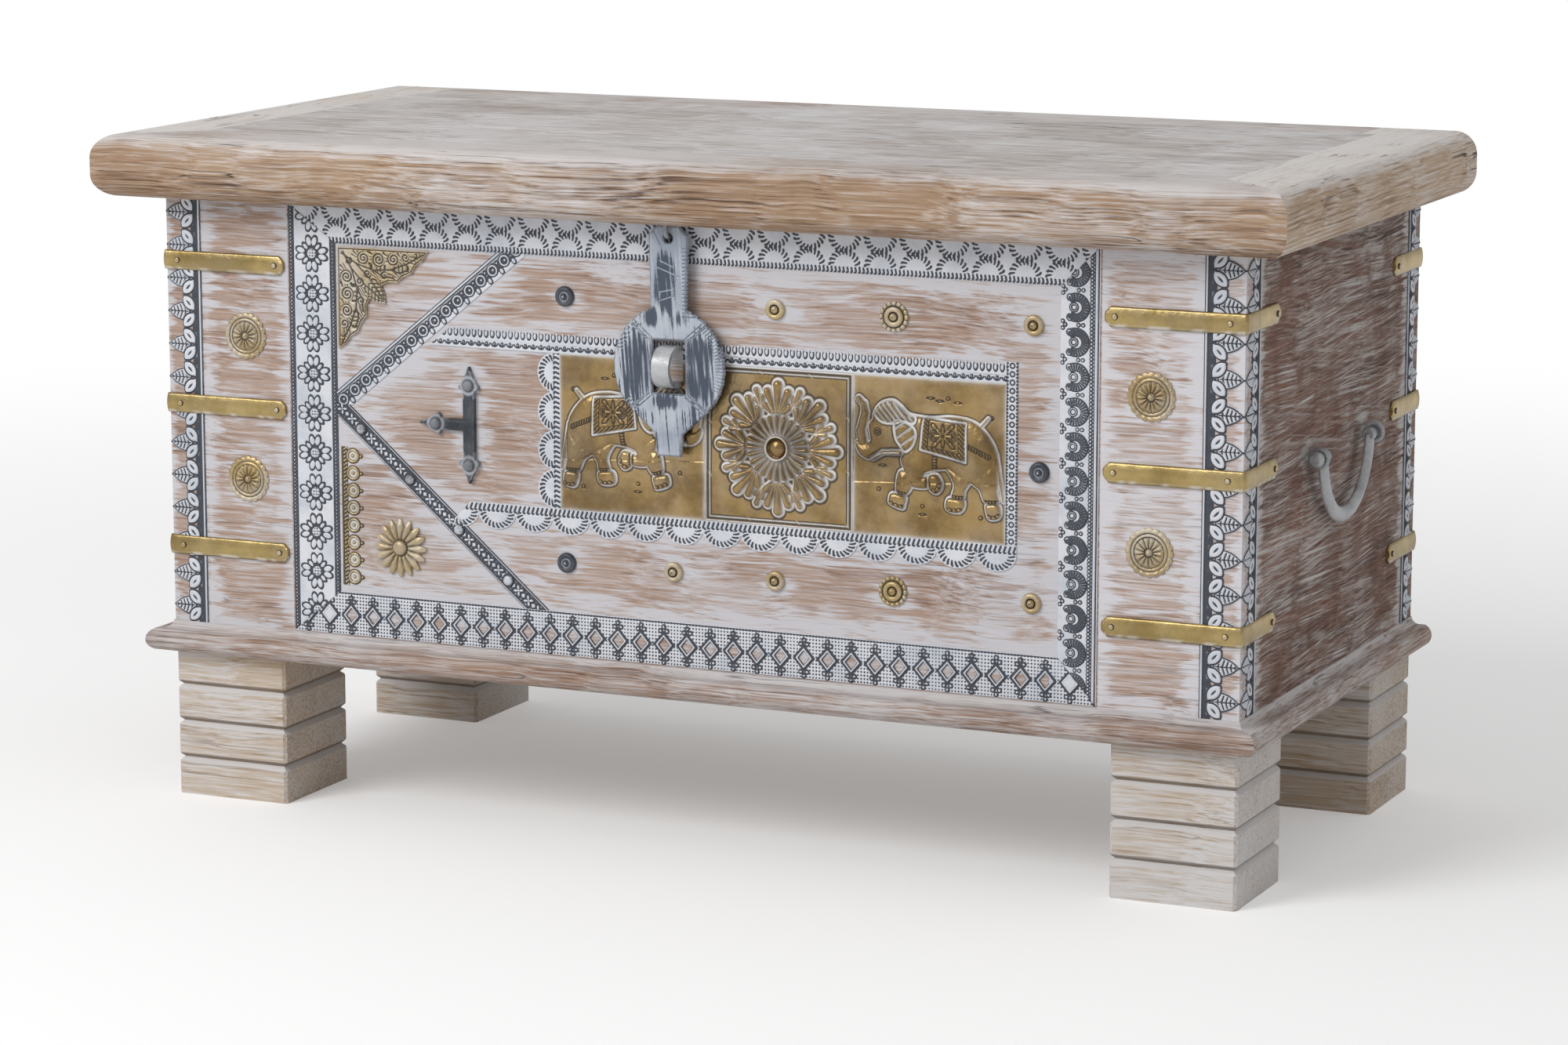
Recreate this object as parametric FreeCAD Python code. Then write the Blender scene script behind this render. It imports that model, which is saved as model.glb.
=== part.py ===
import FreeCAD, Part
import math
import os

Vector = FreeCAD.Vector

# Driving dimensions in millimetres. The chest stands on z = 0, its front faces -Y,
# and the origin lies under the middle of the lid.

# Carcass
body_width = 750.0
body_depth = 352.0
body_height = 286.0
wall = 20.0
stile_width = 91.5
bottom_thickness = 12.0
corner_post_size = 24.0
corner_post_drop = 3.0

# Feet and base moulding
foot_size = 83.0
foot_height = 100.0
foot_groove_count = 3
foot_groove_depth = 3.2
foot_groove_height = 6.0
foot_edge_round = 2.0
peg_size = 12.0
peg_inset = 24.0
peg_shift = 14.0
peg_depth = 22.0
peg_rise = 12.0
base_height = 19.0
base_overhang = 15.0
base_rail_inset = 45.0
base_nose_height = 14.0
base_nose_setback = 4.5
base_cove_width = 6.5
base_cove_lip = 0.8

# Lid
lid_thickness = 41.0
lid_side_overhang = 36.0
lid_front_overhang = 35.0
lid_back_overhang = 6.0
lid_rail_width = 66.0
lid_back_rail_width = 52.0
lid_nose_radius = 15.0
lid_panel_thickness = 20.0
lid_panel_ledge = 10.0

# Lid hinges
hinge_setback = 135.0
hinge_length = 64.0
hinge_pivot_outset = 1.0
hinge_leaf_width = 22.0
hinge_leaf_thickness = 2.0
hinge_leaf_recess = 0.1
knuckle_radius = 3.5
knuckle_gap = 0.4
hinge_pin_radius = 1.8
running_fit = 0.05
screw_head_radius = 3.2
screw_foot_radius = 1.4
screw_spacing = 42.0
screw_row_setback = 13.0

# Hasp, its wire staple on the lid and the lock staple on the front
lock_centre_x = -3.5
hasp_thickness = 3.0
hasp_wire_radius = 1.5
hasp_wire_bend = 4.8
hasp_wire_standoff = 8.0
hasp_wire_depth = 12.0
hasp_pivot_drop = 4.0
hasp_rim_rise = 2.5
hasp_hole_radius = 3.2
hasp_hole_drop = 5.5
hasp_tongue_top = 27.0
hasp_tongue_foot = 24.4
hasp_tongue_chamfer = 6.0
hasp_disc_radius = 38.5
hasp_disc_drop = 87.0
hasp_window_width = 23.0
hasp_window_height = 34.0
hasp_tab_top_width = 19.0
hasp_tab_width = 16.4
hasp_tab_rise = 43.0
hasp_tab_tip = 57.0
lock_band_width = 12.0
lock_band_thickness = 3.0
lock_band_radius = 13.0
lock_band_leg = 9.0
lock_band_depth = 16.0

# Side handles
handle_height = 144.0
eye_gap = 1.75
eye_ring_radius = 5.5
eye_wire_radius = 1.75
eye_standoff = 8.75
eye_shank_depth = 14.0
bail_half_span = 48.0
bail_drop = 44.0
bail_bar_radius = 5.0
bail_flat_offset = 2.0
bail_pin_radius = 3.2
bail_knob_radius = 5.2
bail_knob_length = 6.0
bail_knob_gap = 2.0

# Sheet metal on the front and the corners
sheet = 1.0
brass_sheet = 0.8
field_edge_gap = 1.0
top_border_height = 25.0
bottom_border_height = 28.5
left_border_width = 35.0
right_border_width = 25.5
drawn_field_width = 504.5
drawn_field_height = 230.5
apex_rise = 125.0
upper_diagonal_run = 129.0
lower_diagonal_run = 145.0
upper_diagonal_width = 14.0
lower_diagonal_width = 12.0
plaque_right_gap = 27.5
bead_strip_width = 7.5
plaque_inset = 163.0
plaque_lock_rise = 2.5
plaque_rise = 67.5
scallop_strip_width = 16.0
scallop_strip_count = 4
upper_lace_height = 13.5
lower_lace_height = 17.0
lower_lace_band = 6.0
lower_lace_pitch = 26.7
lace_diagonal_gap = 3.0
foliage_leg = 67.0
foliage_gap = 2.0
ring_strip_width = 16.0
ring_strip_height = 92.0
ring_strip_rise = 5.0
ring_strip_count = 8
rosette_petals = 8
rosette_margin = 4.0
rosette_notch = 9.0
rosette_petal_rise = 2.2
rosette_heart = 21.0
round_sides = 14
wire_sides = 6
wire_bend_steps = 10
eye_ring_steps = 14
bail_steps = 14
pin_sides = 12
screw_sides = 8
barrel_sides = 16
scallop_sides = 4
leaf_trim_width = 26.0
leaf_trim_band = 8.0
leaf_count = 13

# Corner straps
bottom_strap_rise = 52.0
top_strap_drop = 43.0
strap_crest_width = 5.0
strap_width = 12.6
strap_crest = 2.4
strap_edge = 1.5
strap_front_leg = 89.0
strap_side_leg = 59.0
strap_back_leg = 60.0
strap_end_chamfer = 3.5
nail_radius = 1.8
nail_rise = 0.9
nail_end_inset = 6.5
nail_corner_inset = 9.0

# Studs, flower and iron tee
stud_radius = 6.6
stud_rise = 4.2
stud_rim = 1.2
flower_stud_radius = 9.8
flower_stud_scallops = 12
medallion_radius = 15.5
medallion_scallops = 20
medallion_crown = 11.2
medallion_inset = 59.0
medallion_rise = 3.4
top_stud_drop = 25.5
bottom_stud_rise = 32.5
stud_setbacks = (17.5, 110.0, 190.5, 261.5, 337.5)
right_stud_rise = 114.5
right_stud_setback = 13.0
brass_flower_radius = 19.5
brass_flower_petals = 16
brass_flower_notch = 4.2
brass_flower_heart = 13.6
brass_flower_inset = 45.5
brass_flower_rise = 33.0
tee_inset = 98.0
tee_rise = 117.5
tee_bar_width = 8.0
tee_bar_half = 26.0
tee_arm = 24.0
tee_lobe_radius = 6.2
tee_tip = 12.5
tee_thickness = 4.0
tee_rivet_radius = 3.6

# Derived levels and planes
body_floor = foot_height + base_height
body_top = body_floor + body_height
half_width = body_width / 2.0
lid_width = body_width + 2.0 * lid_side_overhang
lid_depth = body_depth + lid_front_overhang + lid_back_overhang
lid_front = -lid_depth / 2.0
lid_back = lid_depth / 2.0
lid_half = lid_width / 2.0
lid_top = body_top + lid_thickness
front_y = lid_front + lid_front_overhang
back_y = lid_back - lid_back_overhang
middle_y = (front_y + back_y) / 2.0
pivot_y = back_y + hinge_pivot_outset

field_half = half_width - stile_width
outer_left = -field_half + field_edge_gap
outer_right = field_half - field_edge_gap
outer_bottom = body_floor + field_edge_gap
outer_top = body_top - field_edge_gap
inner_left = outer_left + left_border_width
inner_right = outer_right - right_border_width
inner_bottom = outer_bottom + bottom_border_height
inner_top = outer_top - top_border_height

hasp_z = body_top - hasp_pivot_drop
lock_z = hasp_z - hasp_disc_drop

# Places on the field were drawn for one size of it and stretch with it
stretch_x = (inner_right - inner_left) / drawn_field_width
stretch_z = (inner_top - inner_bottom) / drawn_field_height
bead_right = inner_right - plaque_right_gap * stretch_x
plaque_right = bead_right - bead_strip_width
plaque_left = inner_left + plaque_inset * stretch_x
plaque_width = (plaque_right - plaque_left) / 3.0
rosette_left = plaque_left + plaque_width
rosette_right = plaque_right - plaque_width
plaque_bottom = inner_bottom + plaque_rise * stretch_z
plaque_top = lock_z + plaque_lock_rise
plaque_height = plaque_top - plaque_bottom
apex_z = inner_bottom + apex_rise * stretch_z
upper_run = upper_diagonal_run * stretch_x
lower_run = lower_diagonal_run * stretch_x

bottom_strap_z = body_floor + bottom_strap_rise
top_strap_z = body_top - top_strap_drop
strap_levels = (bottom_strap_z, (bottom_strap_z + top_strap_z) / 2.0, top_strap_z)

hasp_y = front_y - hasp_wire_standoff
handle_z = body_floor + handle_height
eye_spread = bail_half_span + bail_bar_radius + eye_gap + eye_wire_radius


def block(x0, x1, y0, y1, z0, z1):
    """A box between two corners."""
    return Part.makeBox(x1 - x0, y1 - y0, z1 - z0, Vector(x0, y0, z0))


def wire_through(start, steps, place):
    """A closed wire: a step of two numbers is a line, one of four an arc through its first two."""
    edges = []
    here = start
    for step in list(steps) + [start]:
        end = step[-2:]
        if len(step) == 4:
            edges.append(Part.Arc(place(*here), place(*step[:2]), place(*end)).toShape())
        elif math.dist(here, end) > 1e-6:
            edges.append(Part.makeLine(place(*here), place(*end)))
        here = end
    return Part.Wire(edges)


def plate(start, steps, place, push):
    """A flat plate: the outline laid out by place and pushed along a vector."""
    return Part.Face(wire_through(start, steps, place)).extrude(push)


def front_plate(start, steps, thickness, lift=0.0):
    """A plate lying on the front, outlined in x and z."""
    return plate(start, steps, lambda x, z: Vector(x, front_y - lift, z), Vector(0, -thickness, 0))


def front_rectangle(x0, x1, z0, z1, thickness):
    """A straight-sided plate on the front."""
    return block(x0, x1, front_y - thickness, front_y, z0, z1)


def bar_along_x(start, steps, x0, x1):
    """A bar whose section is outlined in y and z."""
    return plate(start, steps, lambda y, z: Vector(x0, y, z), Vector(x1 - x0, 0, 0))


def bar_along_y(start, steps, y0, y1):
    """A bar whose section is outlined in x and z."""
    return plate(start, steps, lambda x, z: Vector(x, y0, z), Vector(0, y1 - y0, 0))


def column(points, z0, z1):
    """A prism standing on an outline in x and y."""
    start, steps = points[0], points[1:]
    return plate(start, steps, lambda x, y: Vector(x, y, z0), Vector(0, 0, z1 - z0))


def mirror_x(shape):
    """The same piece on the other side of the chest."""
    return shape.mirror(Vector(0, 0, 0), Vector(1, 0, 0))


def cut_all(shape, tools):
    """A shape with every tool taken out of it."""
    for tool in tools:
        shape = shape.cut(tool)
    return shape


def scallops(start, end, count, depth):
    """Steps along a line in round scallops, each bulging by depth to the left of the walk."""
    run = Vector(end[0] - start[0], end[1] - start[1], 0) / count
    out = Vector(-run.y, run.x, 0)
    out.normalize()
    steps = []
    for index in range(count):
        low = Vector(start[0], start[1], 0) + run * index
        for side in range(1, scallop_sides + 1):
            turn = math.pi * side / scallop_sides
            point = low + run * (1.0 - math.cos(turn)) / 2.0 + out * depth * math.sin(turn)
            steps.append((point.x, point.y))
    return steps


def petal_disc(x, z, radius, count, notch):
    """The outline of a round plate whose rim is a ring of round petals."""
    points = []
    for index in range(count * scallop_sides):
        turn = math.pi * (index % scallop_sides) / scallop_sides
        reach = radius - notch * (1.0 - math.sin(turn))
        angle = 2.0 * math.pi * index / (count * scallop_sides)
        points.append((x + reach * math.cos(angle), z + reach * math.sin(angle)))
    return points[0], points[1:]


def pointed_disc(x, z, radius, count, depth):
    """The outline of a round plate whose rim is a ring of points."""
    points = []
    for index in range(2 * count):
        reach = radius - depth * (index % 2)
        angle = math.pi * index / count
        points.append((x + reach * math.cos(angle), z + reach * math.sin(angle)))
    return points[0], points[1:]


def flat_face(corners):
    """A flat facet through its corners."""
    return Part.Face(Part.makePolygon(corners + corners[:1]))


def faceted(rings, closed=False):
    """A solid of flat facets through rings of points, with end caps unless the rings close a loop."""
    faces = []
    pairs = list(zip(rings, rings[1:]))
    if closed:
        pairs.append((rings[-1], rings[0]))
    else:
        faces = [flat_face(rings[0]), flat_face(rings[-1])]
    for low, high in pairs:
        for index in range(len(low)):
            faces.append(flat_face([low[index - 1], low[index], high[index], high[index - 1]]))
    shell = Part.makeShell(faces)
    shell.sewShape()
    solid = Part.makeSolid(shell)
    if solid.Volume < 0.0:
        solid.reverse()
    return solid


def ring_of(centre, first, second, radius, sides):
    """Points round a centre in the plane of two directions."""
    points = []
    for side in range(sides):
        angle = 2.0 * math.pi * side / sides
        points.append(centre + first * (radius * math.cos(angle)) + second * (radius * math.sin(angle)))
    return points


def turned_along(steps, start, along, first, second, sides):
    """A turned piece: each step is a radius and a distance from the start."""
    return faceted([ring_of(start + along * reach, first, second, radius, sides) for radius, reach in steps])


def round_on_front(rings, x, z):
    """A round piece on the front, faceted lightly: each ring is a radius and a height off the face."""
    return turned_along(rings, Vector(x, front_y, z), Vector(0, -1, 0), Vector(1, 0, 0), Vector(0, 0, 1),
                        round_sides)


def dome(radius, rise, x, z, foot=0.0):
    """A shallow round dome standing on the front."""
    rings = [(radius, foot)]
    for turn in (35.0, 65.0):
        angle = math.radians(turn)
        rings.append((radius * math.cos(angle), foot + rise * math.sin(angle)))
    rings.append((0.12 * radius, foot + rise))
    return round_on_front(rings, x, z)


def make_foot():
    """A block foot with three grooves round it, its corner at the origin."""
    tier = foot_height / (foot_groove_count + 1)
    half_groove = foot_groove_height / 2.0
    right = []
    left = []
    for index in range(1, foot_groove_count + 1):
        level = tier * index
        right.append((foot_size, level - half_groove))
        right.append((foot_size - foot_groove_depth, level))
        right.append((foot_size, level + half_groove))
    for u, level in reversed(right):
        left.append((foot_size - u, level))
    outline = right + [(foot_size, foot_height), (0.0, foot_height)] + left
    across = bar_along_y((foot_size, 0.0), outline + [(0.0, 0.0)], 0.0, foot_size)
    along = bar_along_x((foot_size, 0.0), outline + [(0.0, 0.0)], 0.0, foot_size)
    cut = foot_edge_round
    far = foot_size - cut
    edges = [(cut, 0.0), (far, 0.0), (foot_size, cut), (foot_size, far), (far, foot_size), (cut, foot_size),
             (0.0, far), (0.0, cut)]
    return across.common(along).common(column(edges, 0.0, foot_height))


def foot_corners():
    """Where each foot stands: its low corner, by name."""
    right = half_width - foot_size
    rear = back_y - foot_size
    return {
        "foot_front_left": (-half_width, front_y),
        "foot_front_right": (right, front_y),
        "foot_back_left": (-half_width, rear),
        "foot_back_right": (right, rear),
    }


def make_pegs():
    """One square peg up from each foot into the base rail above it."""
    half = peg_size / 2.0
    across = half_width - peg_inset - peg_shift
    pegs = []
    for x in (-across, across):
        for y in (front_y + peg_inset, back_y - peg_inset):
            pegs.append(block(x - half, x + half, y - half, y + half,
                              foot_height - peg_depth, foot_height + peg_rise))
    return pegs


def base_section(face, outward):
    """The base moulding's section at a body face, with outward -1 or 1 along its axis."""
    nose = face + outward * base_overhang
    shoulder = nose - outward * base_nose_setback
    cove = face + outward * base_cove_width
    lip = face + outward * base_cove_lip
    inside = face - outward * base_rail_inset
    nose_top = foot_height + base_nose_height
    nose_middle = foot_height + base_nose_height / 2.0
    cove_rise = base_height - base_nose_height
    bend = (lip + 0.3 * (cove - lip), nose_top + 0.3 * cove_rise)
    start = (inside, foot_height)
    steps = [
        (shoulder, foot_height),
        (nose, nose_middle, shoulder, nose_top),
        (cove, nose_top),
        bend + (lip, body_floor),
        (inside, body_floor),
    ]
    return start, steps


def make_base(pegs):
    """The mitred base moulding on three sides and the plain rail behind."""
    reach = half_width + base_overhang
    inside = half_width - base_rail_inset
    nose = front_y - base_overhang
    start, steps = base_section(front_y, -1)
    front = bar_along_x(start, steps, -reach, reach)
    mitre = [(-reach, nose), (reach, nose), (inside, front_y + base_rail_inset),
             (-inside, front_y + base_rail_inset)]
    front = front.common(column(mitre, foot_height, body_floor))
    start, steps = base_section(half_width, 1)
    right = bar_along_y(start, steps, nose, back_y)
    side = [(reach, nose), (reach, back_y), (inside, back_y), (inside, front_y + base_rail_inset)]
    right = right.common(column(side, foot_height, body_floor))
    back = block(-inside, inside, back_y - base_rail_inset, back_y, foot_height, body_floor)
    return {
        "base_front_moulding": cut_all(front, pegs),
        "base_right_moulding": cut_all(right, pegs),
        "base_left_moulding": cut_all(mirror_x(right), pegs),
        "base_back_rail": cut_all(back, pegs),
    }


def make_carcass():
    """The boards of the box, the bottom and the corner posts that join them."""
    inner_x = half_width - wall
    post_foot = body_floor + bottom_thickness
    posts = []
    for x in (-inner_x, inner_x - corner_post_size):
        for y in (front_y + wall, back_y - wall - corner_post_size):
            posts.append(block(x, x + corner_post_size, y, y + corner_post_size,
                               post_foot, body_top - corner_post_drop))
    side = block(inner_x, half_width, front_y + wall, back_y - wall, body_floor, body_top)
    stile = block(field_half, half_width, front_y, front_y + wall, body_floor, body_top)
    return {
        "front_panel": block(-field_half, field_half, front_y, front_y + wall, body_floor, body_top),
        "front_right_stile": stile,
        "front_left_stile": mirror_x(stile),
        "right_side_panel": side,
        "left_side_panel": mirror_x(side),
        "back_panel": block(-half_width, half_width, back_y - wall, back_y, body_floor, body_top),
        "bottom_panel": block(-inner_x, inner_x, front_y + wall, back_y - wall, body_floor, post_foot),
        "inner_corner_posts": Part.makeCompound(posts),
    }


def lid_section(edge, inward):
    """A lid rail's section from its rounded outer edge, with inward -1 or 1 along its axis."""
    radius = lid_nose_radius
    bend = radius * (1.0 - math.sqrt(0.5))
    tangent = edge + inward * radius
    inside = edge + inward * lid_rail_width
    start = (inside, body_top)
    steps = [
        (tangent, body_top),
        (edge + inward * bend, body_top + bend, edge, body_top + radius),
        (edge, lid_top - radius),
        (edge + inward * bend, lid_top - bend, tangent, lid_top),
        (inside, lid_top),
    ]
    return start, steps


def make_lid():
    """The lid: a frame of rails, mitred at the front, round a panel let in flush with the top."""
    inner_x = lid_half - lid_rail_width
    inner_front = lid_front + lid_rail_width
    inner_back = lid_back - lid_back_rail_width
    panel = block(-inner_x - lid_panel_ledge, inner_x + lid_panel_ledge, inner_front - lid_panel_ledge,
                  inner_back + lid_panel_ledge, lid_top - lid_panel_thickness, lid_top)
    start, steps = lid_section(lid_front, 1)
    front = bar_along_x(start, steps, -lid_half, lid_half)
    mitre = [(-lid_half, lid_front), (lid_half, lid_front), (inner_x, inner_front), (-inner_x, inner_front)]
    front = front.common(column(mitre, body_top, lid_top))
    start, steps = lid_section(lid_half, -1)
    right = bar_along_y(start, steps, lid_front, lid_back)
    side = [(lid_half, lid_front), (lid_half, lid_back), (inner_x, lid_back), (inner_x, inner_front)]
    right = right.common(column(side, body_top, lid_top)).cut(panel)
    back = block(-inner_x, inner_x, inner_back, lid_back, body_top, lid_top)
    return {
        "lid_panel": panel,
        "lid_front_rail": front.cut(panel),
        "lid_right_rail": right,
        "lid_left_rail": mirror_x(right),
        "lid_back_rail": back.cut(panel),
    }


def along_hinge(radius, x0, x1):
    """A cylinder on the lid's hinge line."""
    return Part.makeCylinder(radius, x1 - x0, Vector(x0, pivot_y, body_top), Vector(1, 0, 0))


def hinge_barrel(radius, x0, x1):
    """A faceted barrel on the lid's hinge line."""
    return turned_along([(radius, 0.0), (radius, x1 - x0)], Vector(x0, pivot_y, body_top), Vector(1, 0, 0),
                        Vector(0, 1, 0), Vector(0, 0, 1), barrel_sides)


def make_screw(x, rise):
    """The countersunk head of a leaf screw, driven down for rise -1 and up for rise 1."""
    face = body_top + rise * hinge_leaf_recess
    at = Vector(x, pivot_y - screw_row_setback, face)
    steps = [(screw_head_radius, 0.0), (screw_foot_radius, hinge_leaf_thickness)]
    return turned_along(steps, at, Vector(0, 0, rise), Vector(1, 0, 0), Vector(0, 1, 0), screw_sides)


def make_hinge(x):
    """One butt hinge at x: leaves, pin, screws and the room each leaf needs in the wood."""
    half = hinge_length / 2.0
    third = hinge_length / 3.0
    low, high = x - half, x + half
    inner = (low + third, high - third)
    gap = knuckle_gap / 2.0
    clear = knuckle_radius + knuckle_gap
    bore = along_hinge(hinge_pin_radius + running_fit, low, high)
    pieces = {"pin": along_hinge(hinge_pin_radius, low, high)}
    spans = {-1: [(low, inner[0] - gap), (inner[1] + gap, high)], 1: [(inner[0] + gap, inner[1] - gap)]}
    for rise, leaf, screws, room in ((-1, "body_leaf", "body_screws", "body_room"),
                                     (1, "lid_leaf", "lid_screws", "lid_room")):
        near = body_top + rise * hinge_leaf_recess
        far = near + rise * hinge_leaf_thickness
        flat = block(low, high, pivot_y - hinge_leaf_width, pivot_y, min(near, far), max(near, far))
        body = flat
        for span in spans[-rise]:
            body = body.cut(hinge_barrel(clear, span[0] - knuckle_gap, span[1] + knuckle_gap))
        for span in spans[rise]:
            body = body.fuse(hinge_barrel(knuckle_radius, span[0], span[1]))
        driven = [make_screw(x + step * screw_spacing, rise) for step in (-0.5, 0.5)]
        pieces[leaf] = cut_all(body.removeSplitter().cut(bore), driven)
        pieces[screws] = driven
        deep = body_top + rise * clear
        mouth = block(low, high, pivot_y - hinge_leaf_width, pivot_y, min(body_top, far), max(body_top, far))
        barrel = block(low, high, pivot_y - clear, lid_back + clear,
                       min(body_top, deep), max(body_top, deep))
        pieces[room] = mouth.fuse(barrel)
    return pieces


def make_hinges():
    """Both hinges, gathered by kind."""
    across = half_width - hinge_setback
    pairs = [make_hinge(-across), make_hinge(across)]
    return {
        "body_leaves": [pair["body_leaf"] for pair in pairs],
        "lid_leaves": [pair["lid_leaf"] for pair in pairs],
        "pins": [pair["pin"] for pair in pairs],
        "body_screws": [screw for pair in pairs for screw in pair["body_screws"]],
        "lid_screws": [screw for pair in pairs for screw in pair["lid_screws"]],
        "body_rooms": [pair["body_room"] for pair in pairs],
        "lid_rooms": [pair["lid_room"] for pair in pairs],
    }


def make_hasp_staple():
    """The bent wire under the lid that the hasp hangs from."""
    reach = Vector(0, 0, body_top + hasp_wire_depth - hasp_z)
    pivot = Vector(lock_centre_x, hasp_y, hasp_z)
    rings = []
    for step in range(wire_bend_steps + 1):
        turn = math.pi * step / wire_bend_steps
        away = Vector(0, -math.cos(turn), -math.sin(turn))
        rings.append(ring_of(pivot + away * hasp_wire_bend, Vector(1, 0, 0), away, hasp_wire_radius, wire_sides))
    first = [point + reach for point in rings[0]]
    last = [point + reach for point in rings[-1]]
    return faceted([first] + rings + [last])


def make_hasp():
    """The iron hasp: tongue, round plate with its window, and finger tab."""
    x = lock_centre_x
    top = hasp_z + hasp_rim_rise
    half_top = hasp_tongue_top / 2.0
    half_foot = hasp_tongue_foot / 2.0
    join = lock_z + math.sqrt(hasp_disc_radius ** 2 - half_foot ** 2)
    low = hasp_disc_radius * math.sqrt(0.5)
    right = [
        (x + half_top - hasp_tongue_chamfer, top),
        (x + half_top, top - hasp_tongue_chamfer),
        (x + half_foot, join),
        (x + hasp_disc_radius, lock_z, x + low, lock_z - low),
        (x + hasp_tab_top_width / 2.0, lock_z - hasp_tab_rise),
        (x + hasp_tab_width / 2.0, lock_z - hasp_tab_tip),
    ]
    left = [
        (x - hasp_tab_width / 2.0, lock_z - hasp_tab_tip),
        (x - hasp_tab_top_width / 2.0, lock_z - hasp_tab_rise),
        (x - low, lock_z - low),
        (x - hasp_disc_radius, lock_z, x - half_foot, join),
        (x - half_top, top - hasp_tongue_chamfer),
        (x - half_top + hasp_tongue_chamfer, top),
    ]
    face_y = front_y - hasp_y - hasp_thickness / 2.0
    body = front_plate(right[0], right[1:] + left, hasp_thickness, face_y)
    near = hasp_y - hasp_thickness
    far = hasp_y + hasp_thickness
    window = block(x - hasp_window_width / 2.0, x + hasp_window_width / 2.0, near, far,
                   lock_z - hasp_window_height / 2.0, lock_z + hasp_window_height / 2.0)
    hole_at = Vector(x, near, hasp_z - hasp_hole_drop)
    hole = Part.makeCylinder(hasp_hole_radius, far - near, hole_at, Vector(0, 1, 0))
    return cut_all(body, [window, hole])


def make_lock_staple():
    """The flat band, bent to a loop and driven through the front, that the hasp drops over."""
    outer = lock_band_radius
    inner = lock_band_radius - lock_band_thickness
    root = front_y + lock_band_depth
    bend = front_y - lock_band_leg
    start = (root, lock_z - outer)
    steps = [
        (bend, lock_z - outer),
        (bend - outer, lock_z, bend, lock_z + outer),
        (root, lock_z + outer),
        (root, lock_z + inner),
        (bend, lock_z + inner),
        (bend - inner, lock_z, bend, lock_z - inner),
        (root, lock_z - inner),
    ]
    return bar_along_x(start, steps, lock_centre_x - lock_band_width / 2.0,
                       lock_centre_x + lock_band_width / 2.0)


def make_eyes():
    """The two ring eyes screwed into the right side."""
    axis_x = half_width + eye_standoff
    eyes = []
    for y in (middle_y - eye_spread, middle_y + eye_spread):
        centre = Vector(axis_x, y, handle_z)
        rings = []
        for step in range(eye_ring_steps):
            turn = 2.0 * math.pi * step / eye_ring_steps
            away = Vector(math.cos(turn), 0, math.sin(turn))
            rings.append(ring_of(centre + away * eye_ring_radius, away, Vector(0, 1, 0), eye_wire_radius, wire_sides))
        root = Vector(half_width - eye_shank_depth, y, handle_z)
        reach = eye_standoff + eye_shank_depth - eye_ring_radius
        stem = turned_along([(eye_wire_radius, 0.0), (eye_wire_radius, reach)], root, Vector(1, 0, 0),
                            Vector(0, 0, 1), Vector(0, 1, 0), wire_sides)
        eyes.append(faceted(rings, True).fuse(stem).removeSplitter())
    return eyes


def make_bail():
    """The half-round bail on the right side, with its headed ends in the eyes."""
    axis_x = half_width + eye_standoff
    radius = (bail_half_span ** 2 + bail_drop ** 2) / (2.0 * bail_drop)
    centre_z = handle_z - bail_drop + radius
    flat_x = axis_x - bail_flat_offset
    tilt = math.asin((radius - bail_drop) / radius)
    rings = []
    for step in range(bail_steps + 1):
        turn = tilt + (math.pi - 2.0 * tilt) * step / bail_steps
        ring = []
        for lean in (-90.0, -45.0, 0.0, 45.0, 90.0):
            angle = math.radians(lean)
            arm = radius - bail_bar_radius * math.sin(angle)
            ring.append(Vector(flat_x + bail_bar_radius * math.cos(angle), middle_y - arm * math.cos(turn),
                               centre_z - arm * math.sin(turn)))
        rings.append(ring)
    bail = faceted(rings)
    knob_near = eye_spread + eye_wire_radius + bail_knob_gap
    for way in (-1.0, 1.0):
        along = Vector(0, way, 0)
        start = Vector(axis_x, middle_y + way * (bail_half_span - bail_bar_radius), handle_z)
        reach = knob_near - bail_half_span + bail_bar_radius
        steps = [(bail_pin_radius, 0.0), (bail_pin_radius, reach), (bail_knob_radius, reach),
                 (bail_pin_radius, reach + bail_knob_length)]
        bail = bail.fuse(turned_along(steps, start, along, Vector(1, 0, 0), Vector(0, 0, 1), pin_sides))
    return bail.removeSplitter()


def band_between(start, end, width, below):
    """A straight band whose centre line joins two points of the inner field, cut to its edges."""
    run = Vector(end[0] - start[0], 0, end[1] - start[1])
    run.normalize()
    side = Vector(-run.z, 0, run.x) * (width / 2.0)
    first = Vector(start[0], 0, start[1]) - run * width * 2.0
    last = Vector(end[0], 0, end[1]) + run * width * 2.0
    corners = [first + side, last + side, last - side, first - side]
    points = [(corner.x, corner.z) for corner in corners]
    band = front_plate(points[0], points[1:], sheet)
    half = (inner_bottom, apex_z) if below else (apex_z, inner_top)
    return band.common(front_rectangle(inner_left, inner_right, half[0], half[1], sheet))


def make_diagonal(below, spread=0.0):
    """The lower or the upper diagonal strip, widened by spread on each side."""
    if below:
        end = (inner_left + lower_run, inner_bottom)
        width = lower_diagonal_width
    else:
        end = (inner_left + upper_run, inner_top)
        width = upper_diagonal_width
    return band_between((inner_left, apex_z), end, width + 2.0 * spread, below)


def diagonal_x(z):
    """Where the centre line of a diagonal strip stands at a height of the field."""
    if z < apex_z:
        return inner_left + lower_run * (apex_z - z) / (apex_z - inner_bottom)
    return inner_left + upper_run * (z - apex_z) / (inner_top - apex_z)


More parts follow.
